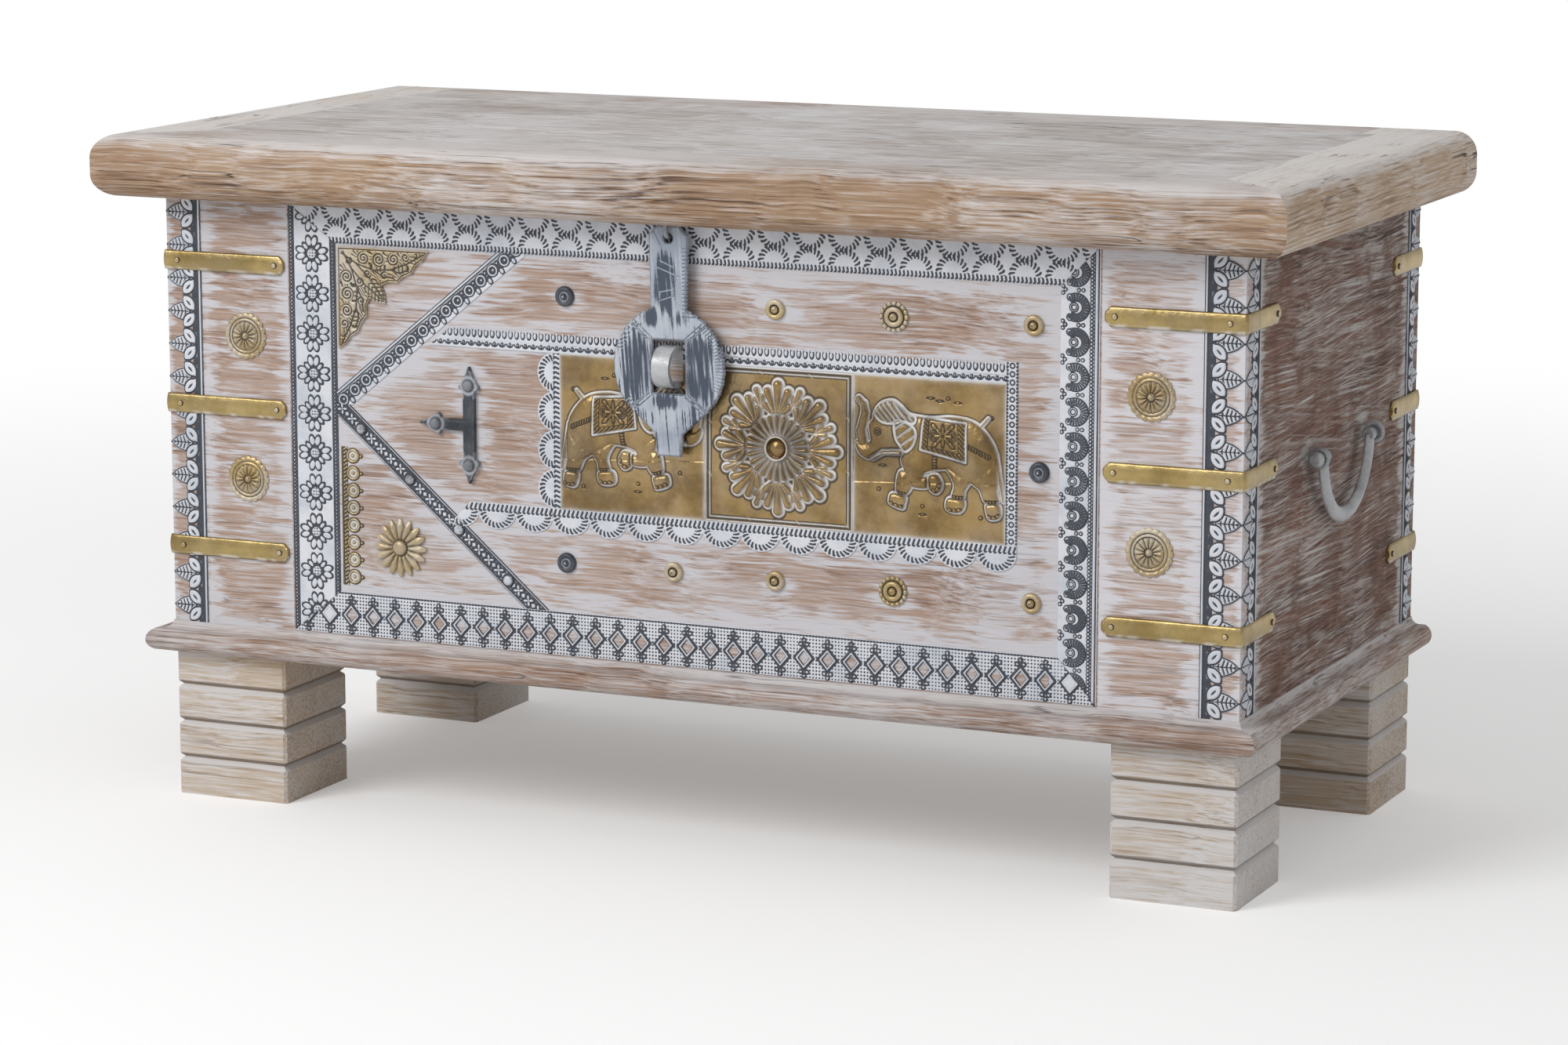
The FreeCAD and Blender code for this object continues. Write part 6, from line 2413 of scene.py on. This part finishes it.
@dataclass
class StrapWork:
    """Brass straps bent round the corners, and their nails."""

    finishes: Finishes
    width: float = 12.6
    edge: float = 1.5
    crest: float = 2.5
    chamfer: float = 3.5
    front_leg: float = 89.0
    side_leg: float = 59.0
    back_leg: float = 60.0
    levels: tuple[float, ...] = (171.0, 266.5, 362.0)
    nail_inset: float = 6.5
    corner_nail: float = 9.0
    steps_across: int = 11

    def strap(self, name: str, x_way: float, corner_y: float, y_way: float, first: float,
              z: float) -> bpy.types.Object:
        """One strap round an upright edge.

        Args:
            name: Its name.
            x_way: The side of the chest, -1 or 1.
            corner_y: Where the edge stands.
            y_way: Which way the side leg runs, -1 or 1.
            first: The length of the leg on the front or back.
            z: Its level.

        Returns:
            The strap.
        """
        corner = np.array([x_way * HALF_WIDTH, corner_y, z])
        inward = np.array([-x_way, 0.0, 0.0])
        along = np.array([0.0, y_way, 0.0])
        path, out, half = [], [], []
        for s in np.concatenate([np.linspace(first, first - self.chamfer, 4),
                                 np.linspace(first - 8.0, 0.0, 24)]):
            path.append(corner + inward * s)
            out.append(-along)
            half.append(self.width / 2.0 - max(0.0, self.chamfer - (first - s)))
        for turn in np.linspace(0.0, math.pi / 2.0, 7)[1:-1]:
            path.append(corner)
            out.append(-along * math.cos(turn) - inward * math.sin(turn))
            half.append(self.width / 2.0)
        for s in np.concatenate([np.linspace(0.0, self.side_leg - 8.0, 16),
                                 np.linspace(self.side_leg - self.chamfer, self.side_leg, 4)]):
            path.append(corner + along * s)
            out.append(-inward)
            half.append(self.width / 2.0 - max(0.0, self.chamfer - (self.side_leg - s)))
        spread = np.linspace(-1.0, 1.0, self.steps_across)
        rise = self.edge + (self.crest - self.edge) * (1.0 - spread ** 2)
        sections = []
        for number, reach in enumerate(half):
            top = np.stack([spread * reach, rise + 0.04 * math.sin(number * 1.7 + z)], 1)
            sections.append(np.concatenate([top, [[reach, 0.0], [-reach, 0.0]]]))
        side = np.tile([0.0, 0.0, 1.0], (len(path), 1))
        thing = sweep(name, np.array(path), side, np.array(out), np.array(sections))
        groove = np.zeros(len(thing.data.vertices))
        store(thing, "groove", groove)
        store(thing, "rise", groove + 0.6)
        paint = groove.copy()
        ring_size = self.steps_across + 2
        for number in range(len(path)):
            worn = math.sin(number * 0.9 + z) + math.sin(number * 2.3 + 0.2 * z)
            paint[number * ring_size:number * ring_size + 2] = 0.85 if worn > 0.3 else 0.15
        store(thing, "residue", paint)
        return thing

    def nail(self, name: str, at: Array, along: Array, out: Array) -> bpy.types.Object:
        """A small domed nail head.

        Args:
            name: Its name.
            at: Its place.
            along: A direction across it.
            out: The way it faces.

        Returns:
            The nail.
        """
        plane = Plane(tuple(at), tuple(along), (0.0, 0.0, 1.0), tuple(out))
        return Boss(name, plane, 2.0, lambda r, t: 0.25 + 0.9 * dome(r, 2.05),
                    lambda r, t: bell(r, 1.9, 0.3), 0.0, 0, 6, 20).build()

    def build(self) -> None:
        """Bend the straps and drive their nails."""
        nails = []
        for node, corner_y, y_way, first in (("corner_straps_front", FRONT_Y, 1.0, self.front_leg),
                                             ("corner_straps_back", BACK_Y, -1.0, self.back_leg)):
            straps = []
            for x_way in (-1.0, 1.0):
                for number, z in enumerate(self.levels):
                    name = f"strap_{node}_{x_way:.0f}_{number}"
                    straps.append(self.strap(name, x_way, corner_y, y_way, first, z))
                    along, inward = np.array([0.0, y_way, 0.0]), np.array([-x_way, 0.0, 0.0])
                    face = np.array([x_way * HALF_WIDTH, corner_y, z]) - along * self.crest
                    flank = np.array([x_way * HALF_WIDTH, corner_y, z]) - inward * self.crest
                    places = [(face + inward * (first - self.nail_inset), inward, -along),
                              (flank + along * (self.side_leg - self.nail_inset), along, -inward)]
                    if y_way > 0:
                        places.append((face + inward * self.corner_nail, inward, -along))
                    for at, across, out in places:
                        nails.append(self.nail(f"nail_{len(nails)}", at, across, out))
            mount(join("bent_" + node, straps), self.finishes.strap, Slot.BRASS, node)
        mount(join("strap_nail_heads", nails), self.finishes.pale, Slot.BRASS, "strap_nails")


@dataclass
class IronWork:
    """The tee, the hasp with its staples, the handles with their eyes and the hinges."""

    finishes: Finishes
    disc_radius: float = 38.5
    window: Point = (23.0, 34.0)
    bail_half_span: float = 48.0
    bail_drop: float = 44.0
    bail_radius: float = 5.0
    bail_end: tuple[Point, ...] = (
        (0.0, 3.4), (2.0, 4.6), (4.5, 4.4), (6.0, 3.2), (16.0, 3.2), (16.4, 4.6), (17.4, 5.2), (19.6, 4.9),
        (21.6, 3.9), (22.2, 3.1))
    eye_radius: float = 5.5
    eye_wire: float = 1.75
    eye_standoff: float = 8.75
    staple_wire: float = 1.5
    tee_arm: float = 26.0
    tee_stem: float = 24.0
    tee_half: float = 4.0
    scores: tuple[tuple[Point, Point], ...] = (
        ((-5.7, 67.2), (3.8, 63.4)), ((-7.5, 62.9), (7.9, 57.5)), ((-5.7, 47.3), (3.8, 49.5)),
        ((-5.7, 41.9), (3.8, 45.2)), ((-5.7, 47.3), (-5.7, 41.9)), ((3.8, 49.5), (3.8, 45.2)),
        ((-9.8, 86.0), (-5.1, 77.0)))

    def tee(self) -> bpy.types.Object:
        """The iron tee with arrow ends.

        Returns:
            The tee.
        """
        _, x1, _, _, z0, z1 = bounds_mm("iron_tee")
        cx, cz = x1 - 6.2, (z0 + z1) / 2.0
        arm, stem, half = self.tee_arm, self.tee_stem, self.tee_half
        lobes = ((0.0, arm, math.pi / 2.0), (0.0, -arm, -math.pi / 2.0), (-stem, 0.0, math.pi))

        def shape(u: Array, v: Array) -> Array:
            """The tee's outline.

            Args:
                u: Places along the sheet.
                v: Places across it.

            Returns:
                Distance to the outline.
            """
            parts = [box_distance(u, v, -half, half, -arm, arm), box_distance(u, v, -stem, 0.0, -half, half)]
            for a, b, way in lobes:
                p, q = turned(u - a, v - b, way)
                parts.append(disc(p, q, 5.6))
                parts.append(polygon(p, q, [(2.0, -4.6), (12.4, 0.0), (2.0, 4.6)]))
                parts.append(disc(p + 1.2, np.abs(q) - 5.2, 1.9))
            return union(*parts)

        def swell(u: Array, v: Array) -> Array:
            """Rounded edges and domed rivets.

            Args:
                u: Places along the sheet.
                v: Places across it.

            Returns:
                The height at each place.
            """
            rise = 2.3 * np.sqrt(unit(-shape(u, v) / 2.2))
            for a, b, _ in lobes:
                rise = np.maximum(rise, 2.0 + 2.6 * np.sqrt(unit(1.0 - ((u - a) ** 2 + (v - b) ** 2) / 14.4)))
            return rise

        def paint(u: Array, v: Array) -> Array:
            """White paint on the lobes and along the edges.

            Args:
                u: Places along the sheet.
                v: Places across it.

            Returns:
                How white each place is.
            """
            reach = union(*(np.hypot(u - a, v - b) for a, b, _ in lobes))
            lobe = bell(reach, 5.4, 1.1) + 0.45 * (reach < 3.4)
            edge = bell(shape(u, v), -0.3, 0.45) * (reach < 9.5)
            return np.maximum(0.7 * lobe, 0.5 * edge)

        thing = Relief("forged_iron_tee", front_plane(cx, cz), (-38.0, 8.0, -40.0, 40.0), shape,
                       blank, sheet=1.2, rise=0.1, swell=swell, residue=paint).build()
        return mount(thing, self.finishes.iron, Slot.IRON, "iron_tee")

    def hasp(self) -> bpy.types.Object:
        """The hasp with its engraved lines and notched rim.

        Returns:
            The hasp.
        """
        x0, x1, _, y1, _, z1 = bounds_mm("hasp")
        cx = (x0 + x1) / 2.0
        *_, lock_low, lock_high = bounds_mm("lock_staple")
        cz = (lock_low + lock_high) / 2.0
        top, pivot = z1 - cz, z1 - 2.5 - cz
        half_w, half_h = self.window[0] / 2.0, self.window[1] / 2.0
        low = self.disc_radius * math.sqrt(0.5)

        def plate(u: Array, v: Array) -> Array:
            """Tongue, disc and tab with the window and the hanging hole.

            Args:
                u: Places along the sheet.
                v: Places across it.

            Returns:
                Distance to the outline.
            """
            tongue = polygon(u, v, [(-7.5, top), (7.5, top), (13.5, top - 6.0), (12.2, 30.0), (-12.2, 30.0),
                                    (-13.5, top - 6.0)])
            tab = polygon(u, v, [(-low, -low), (low, -low), (9.5, -43.0), (8.2, -57.0), (-8.2, -57.0),
                                 (-9.5, -43.0)])
            notch = 0.22 * np.sin(np.arctan2(v, u) * 34.0) * (v < 30.0)
            body = union(tongue, disc(u, v, self.disc_radius) + notch, tab)
            window = box_distance(u, v, -half_w, half_w, -half_h, half_h)
            return np.maximum(body, -np.minimum(window, disc(u, v - pivot + 5.5, 3.2)))

        def engraving(u: Array, v: Array) -> Array:
            """Lines from the window's corners, a hatched rim, the tongue's scores and its nicked edge.

            Args:
                u: Places along the sheet.
                v: Places across it.

            Returns:
                Distance to the pattern.
            """
            a, b = np.abs(u), np.abs(v)
            rays = union(*(line(a, b, (half_w + shift, half_h), (half_w + shift + 13.5, half_h + 11.5), 0.0)
                           for shift in (-1.5, 1.7, 3.4)))
            reach = np.hypot(u, v)
            angle = np.arctan2(v, u)
            hatched = (reach > self.disc_radius - 5.5) & (b < 27.0) & (np.sin(angle * 3.0 + 1.0) > -0.2)
            hatch = np.where(hatched, np.abs(cell(angle * self.disc_radius, 2.3)), FAR)
            tongue = union(*(line(u, v, start, end, 0.0) for start, end in self.scores))
            nicks = np.where((v > 32.0) & (v < top - 12.0) & (u > 9.8), np.abs(cell(v, 2.4)), FAR)
            return union(rays, hatch, tongue, nicks)

        grid = np.random.default_rng(11).random((256, 128))

        def streaks(a: Array, b: Array) -> Array:
            """Smooth noise on a fixed grid.

            Args:
                a: Places along the first axis.
                b: Places along the second axis.

            Returns:
                Values between 0 and 1.
            """
            i, j = np.floor(a).astype(int), np.floor(b).astype(int)
            p, q = a - i, b - j
            p, q = p * p * (3.0 - 2.0 * p), q * q * (3.0 - 2.0 * q)
            near = grid[i % 256, j % 128] * (1.0 - p) + grid[(i + 1) % 256, j % 128] * p
            far = grid[i % 256, (j + 1) % 128] * (1.0 - p) + grid[(i + 1) % 256, (j + 1) % 128] * p
            return near * (1.0 - q) + far * q

        def strokes(u: Array, v: Array) -> Array:
            """Upright brush strokes.

            Args:
                u: Places along the sheet.
                v: Places across it.

            Returns:
                Values between 0 and 1.
            """
            lean = u + 0.08 * v
            return (0.4 * streaks(lean * 1.5 + 90.0, v * 0.07 + 20.0)
                    + 0.35 * streaks(lean * 0.6 + 40.0, v * 0.05 + 50.0)
                    + 0.25 * streaks(u * 0.25 + 10.0, v * 0.13 + 70.0))

        def scratches(u: Array, v: Array) -> Array:
            """Fine upright scratches, dark above 0 and pale below."""
            return streaks(u * 1.2 + 0.1 * v + 5.0, v * 0.06 + 30.0) - 0.5

        def worn(u: Array, v: Array) -> Array:
            """Slate patches in the rubbed paint, with lines pale on slate and dark on paint.

            Args:
                u: Places along the sheet.
                v: Places across it.

            Returns:
                How dark each place is.
            """
            slate = highest(
                np.exp(-((np.abs(u) - 21.5) / 9.5) ** 2 - (v / 21.0) ** 4),
                0.8 * np.exp(-((u + 1.5) / 9.5) ** 4 - ((v + 22.0) / 5.5) ** 2),
                0.95 * np.exp(-((u + 12.5) / 7.0) ** 2 - ((v - 31.5) / 6.5) ** 2),
                0.6 * np.exp(-((u - 9.0) / 6.5) ** 2 - ((v - 31.5) / 6.5) ** 2),
                0.9 * np.exp(-((u + 1.2) / 7.5) ** 2 - ((v - 53.0) / 21.0) ** 4),
            )
            fine = scratches(u, v)
            combed = bell(v, -34.0, 10.0) + unit((np.hypot(u, v) - 27.0) / 6.0) * (v < 27.0)
            rubbed = 1.1 * slate - 0.04 + 0.75 * (strokes(u, v) - 0.5) + 0.5 * fine
            rubbed += 0.35 * combed * unit(5.0 * fine)
            edge = 0.55 * bell(plate(u, v), -0.55, 0.5)
            dark = unit(np.maximum(rubbed, edge))
            cut = bell(engraving(u, v), 0.0, 0.4)
            return dark * (1.0 - cut) + 0.75 * cut * (1.0 - dark)

        def swell(u: Array, v: Array) -> Array:
            """Softened edges and cut lines."""
            soft = 0.8 * np.sqrt(unit(-plate(u, v) / 1.4))
            return soft - 0.3 * bell(engraving(u, v), 0.0, 0.4)

        def residue(u: Array, v: Array) -> Array:
            """White paint left in the pale scratches."""
            return np.clip(-3.0 * scratches(u, v) - 0.6, 0.0, 0.6)

        plane = Plane((cx, y1, cz), (1.0, 0.0, 0.0), (0.0, 0.0, 1.0), (0.0, -1.0, 0.0))
        span = (-self.disc_radius - 0.5, self.disc_radius + 0.5, -57.5, top + 0.5)
        thing = Relief("forged_hasp", plane, span, plate, blank, sheet=2.2, rise=0.0, swell=swell, shade=worn,
                       residue=residue, backed=True).build()
        return mount(thing, self.hasp_metal(), Slot.IRON, "hasp", body=Body.HASP)

    @staticmethod
    def hasp_metal() -> bpy.types.Material:
        """Slate-blue iron under rubbed white paint."""
        return MetalFinish("rubbed_iron", (0.42, 0.46, 0.52), (0.3, 0.34, 0.41), (0.045, 0.062, 0.095),
                           (0.58, 0.61, 0.66), 0.6, 0.15, 0.5, 0.35).build()

    def wire(self, name: str, path: Array, radius: float, material: bpy.types.Material, node: str, body: Body,
             closed: bool = False) -> bpy.types.Object:
        """A round wire along a path that lies in one plane.

        Args:
            name: Its name.
            path: Its points.
            radius: Its radius.
            material: Its finish.
            node: The CAD node it stands for.
            body: The body it moves with.
            closed: Whether it is a ring.

        Returns:
            The wire.
        """
        run = np.roll(path, -1, 0) - np.roll(path, 1, 0) if closed else np.gradient(path, axis=0)
        run /= np.linalg.norm(run, axis=1)[:, None]
        across = np.cross(path[1] - path[0], path[len(path) // 2] - path[0])
        across = np.tile(across / np.linalg.norm(across), (len(path), 1))
        thing = sweep(name, path, across, np.cross(run, across), circle_section(radius, 14), closed)
        return mount(thing, material, Slot.IRON, node, body=body)

    def hasp_staple(self) -> None:
        """The bent wire that carries the hasp."""
        x0, x1, y0, y1, z0, z1 = bounds_mm("hasp_staple")
        bend = (y1 - y0) / 2.0 - self.staple_wire
        cx, cy, cz = (x0 + x1) / 2.0, (y0 + y1) / 2.0, z0 + 1.35 + bend
        steps = 25
        turn = np.linspace(0.0, math.pi, steps)
        arc = np.stack([np.full(steps, cx), cy - bend * np.cos(turn), cz - bend * np.sin(turn)], 1)
        path = np.concatenate([[[cx, cy - bend, z1]], arc, [[cx, cy + bend, z1]]])
        self.wire("hasp_wire_staple", path, self.staple_wire, self.finishes.steel, "hasp_staple", Body.LID)

    def handle(self, way: float, body: Body) -> None:
        """A bail on one side.

        Args:
            way: The side, -1 or 1.
            body: The body it moves with.
        """
        _, _, y0, y1, _, z1 = bounds_mm(body.value)
        middle = (y0 + y1) / 2.0
        pivot_x, pivot_z = way * (HALF_WIDTH + self.eye_standoff), z1 - 5.2
        radius = (self.bail_half_span ** 2 + self.bail_drop ** 2) / (2.0 * self.bail_drop)
        centre_z = pivot_z - self.bail_drop + radius
        tilt = math.asin((radius - self.bail_drop) / radius)
        steps = 61
        turn = np.linspace(tilt, math.pi - tilt, steps)
        flat = way * 2.0
        side = np.stack([np.zeros(steps), -np.cos(turn), -np.sin(turn)], 1)
        path = np.stack([np.full(steps, pivot_x - flat), middle - radius * np.cos(turn),
                         centre_z - radius * np.sin(turn)], 1)
        out = np.tile([way, 0.0, 0.0], (steps, 1))
        angle = np.linspace(-math.pi / 2.0, math.pi / 2.0, 11)
        half_round = np.stack([self.bail_radius * np.sin(angle), self.bail_radius * np.cos(angle)], 1)
        pieces = [sweep(f"bail_{body.value}", path, side, out, half_round)]
        for y_way in (-1.0, 1.0):
            start = np.array([pivot_x, middle + y_way * (self.bail_half_span - 4.0), pivot_z])
            reach = np.array([0.0, y_way, 0.0])
            axle = np.array([start + reach * s for s, _ in self.bail_end])
            sections = np.array([circle_section(r, 12) for _, r in self.bail_end])
            count = len(self.bail_end)
            across = np.tile([1.0, 0.0, 0.0], (count, 1))
            upright = np.tile([0.0, 0.0, y_way], (count, 1))
            pieces.append(sweep(f"bail_end_{body.value}_{y_way:.0f}", axle, across, upright, sections))
        mount(join("forged_" + body.value, pieces), self.finishes.steel, Slot.IRON, body.value, body=body)

    def eyes(self) -> None:
        """The ring eyes that carry the handles."""
        pieces = []
        _, _, y0, y1, z0, z1 = bounds_mm("handle_eyes")
        level = (z0 + z1) / 2.0
        spread = (y1 - y0) / 2.0 - 1.52
        steps = 40
        turn = np.arange(steps) * 2.0 * math.pi / steps
        section = circle_section(self.eye_wire, 12)
        for way in (-1.0, 1.0):
            for y in ((y0 + y1) / 2.0 - spread, (y0 + y1) / 2.0 + spread):
                cx = way * (HALF_WIDTH + self.eye_standoff)
                path = np.stack([cx + self.eye_radius * np.cos(turn), np.full(steps, y),
                                 level + self.eye_radius * np.sin(turn)], 1)
                out = np.stack([np.cos(turn), np.zeros(steps), np.sin(turn)], 1)
                across = np.tile([0.0, 1.0, 0.0], (steps, 1))
                pieces.append(sweep(f"eye_{len(pieces)}", path, across, out, section, True))
                stem = np.array([[way * (HALF_WIDTH - 3.0), y, level], [way * (HALF_WIDTH + 3.4), y, level]])
                pieces.append(sweep(f"stem_{len(pieces)}", stem, np.tile([0.0, 1.0, 0.0], (2, 1)),
                                    np.tile([0.0, 0.0, 1.0], (2, 1)), section))
        mount(join("ring_eyes", pieces), self.finishes.steel, Slot.IRON, "handle_eyes")

    def build(self) -> None:
        """Forge the ironwork and dress what keeps its CAD shape."""
        self.tee()
        self.hasp()
        self.hasp_staple()
        self.handle(-1.0, Body.LEFT_HANDLE)
        self.handle(1.0, Body.RIGHT_HANDLE)
        self.eyes()
        dress(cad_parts["lock_staple"], self.finishes.steel)
        for node in ("hinge_leaves_body", "hinge_leaves_lid", "hinge_pins", "hinge_screws_body",
                     "hinge_screws_lid"):
            dress(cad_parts[node], self.finishes.hidden)


@dataclass
class Studio:
    """A pale floor, soft light and the camera."""

    eye: Place = (1.28673, -2.83961, 0.75957)
    azimuth: float = -24.3928
    down: float = 10.4193
    lens: float = 109.317
    ambient: float = 0.55
    key_power: float = 62.0
    key_place: Place = (-1.3, -2.6, 2.3)
    key_size: float = 1.8
    key_aim: Place = (0.0, 0.0, 0.25)
    floor_size: float = 30.0
    floor_tone: float = 0.82
    floor_roughness: float = 0.9
    floor_fade: Point = (0.7, 2.2)
    floor_lift: float = 0.24
    sensor: float = 36.0

    def floor(self) -> None:
        """A pale floor that keeps the shadow near the chest and runs out to white."""
        half = self.floor_size
        points = np.array([[-half, -half, 0.0], [half, -half, 0.0], [half, half, 0.0], [-half, half, 0.0]])
        thing = new_mesh("studio_floor", points, [np.array([[0, 1, 2, 3]])], [False])
        material, graph, surface = new_material("pale_floor")
        surface.inputs["Base Color"].default_value = (self.floor_tone, self.floor_tone, self.floor_tone, 1.0)
        surface.inputs["Roughness"].default_value = self.floor_roughness
        place = graph.place()
        far = graph.span(graph.vector("LENGTH", place), *self.floor_fade)
        rays = graph.add("ShaderNodeLightPath")
        seen = graph.most(*(rays.outputs[f"Is {kind} Ray"] for kind in ("Camera", "Glossy", "Transmission")))
        glow = graph.add("ShaderNodeEmission")
        glow.inputs["Color"].default_value = WHITE
        lift = graph.add("ShaderNodeEmission")
        lift.inputs["Color"].default_value = WHITE
        graph.feed(lift.inputs["Strength"], graph.times(seen, self.floor_lift))
        near = graph.add("ShaderNodeAddShader")
        graph.feed(near.inputs[0], surface.outputs["BSDF"])
        graph.feed(near.inputs[1], lift.outputs["Emission"])
        mixed = graph.add("ShaderNodeMixShader")
        graph.feed(mixed.inputs[0], graph.times(far, seen))
        graph.feed(mixed.inputs[1], near.outputs["Shader"])
        graph.feed(mixed.inputs[2], glow.outputs["Emission"])
        output = next(node for node in graph.tree.nodes if node.bl_idname == "ShaderNodeOutputMaterial")
        graph.feed(output.inputs["Surface"], mixed.outputs["Shader"])
        thing.data.materials.append(material)
        thing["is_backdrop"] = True

    def light(self) -> None:
        """A white room and one large soft lamp from the left."""
        world = bpy.data.worlds.new("white_room")
        bpy.context.scene.world = world
        world.use_nodes = True
        graph = Graph(world.node_tree)
        rays = graph.add("ShaderNodeLightPath")
        seen = graph.most(rays.outputs["Is Camera Ray"], rays.outputs["Is Transmission Ray"])
        background = graph.add("ShaderNodeBackground")
        background.inputs["Color"].default_value = WHITE
        graph.feed(background.inputs["Strength"], graph.span(seen, 0.0, 1.0, self.ambient, 1.0))
        output = graph.add("ShaderNodeOutputWorld")
        graph.feed(output.inputs["Surface"], background.outputs["Background"])
        lamp = bpy.data.lights.new("key_lamp", "AREA")
        lamp.shape = "DISK"
        lamp.size = self.key_size
        lamp.energy = self.key_power
        thing = bpy.data.objects.new("key_lamp", lamp)
        thing.location = self.key_place
        aim = Vector(self.key_aim) - Vector(self.key_place)
        thing.rotation_euler = aim.to_track_quat("-Z", "Y").to_euler()
        bpy.context.scene.collection.objects.link(thing)

    def camera(self) -> None:
        """The photograph's viewpoint, with no shift."""
        data = bpy.data.cameras.new("camera")
        data.sensor_width = self.sensor
        data.lens = self.lens
        data.clip_start, data.clip_end = 0.05, 100.0
        thing = bpy.data.objects.new("camera", data)
        turn, down = math.radians(self.azimuth), math.radians(self.down)
        ahead = Vector((math.sin(turn) * math.cos(down), math.cos(turn) * math.cos(down), -math.sin(down)))
        thing.location = self.eye
        thing.rotation_euler = ahead.to_track_quat("-Z", "Y").to_euler()
        bpy.context.scene.collection.objects.link(thing)
        bpy.context.scene.camera = thing

    def build(self) -> None:
        """Set up the studio."""
        self.floor()
        self.light()
        self.camera()
        bpy.context.scene.view_settings.view_transform = "Standard"


def write_size() -> None:
    """Update the view layer."""
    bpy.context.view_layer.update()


def main() -> None:
    """Dress the whole chest and its studio."""
    logging.basicConfig(level=logging.INFO)
    finishes = make_finishes()
    Carcass().dress()
    StripWork(finishes).build()
    PlaqueWork(finishes).build()
    StudWork(finishes).build()
    StrapWork(finishes).build()
    IronWork(finishes).build()
    Studio().build()
    write_size()
    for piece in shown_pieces():
        log.info("dressed %s", piece.name)


if __name__ == "__main__":
    main()
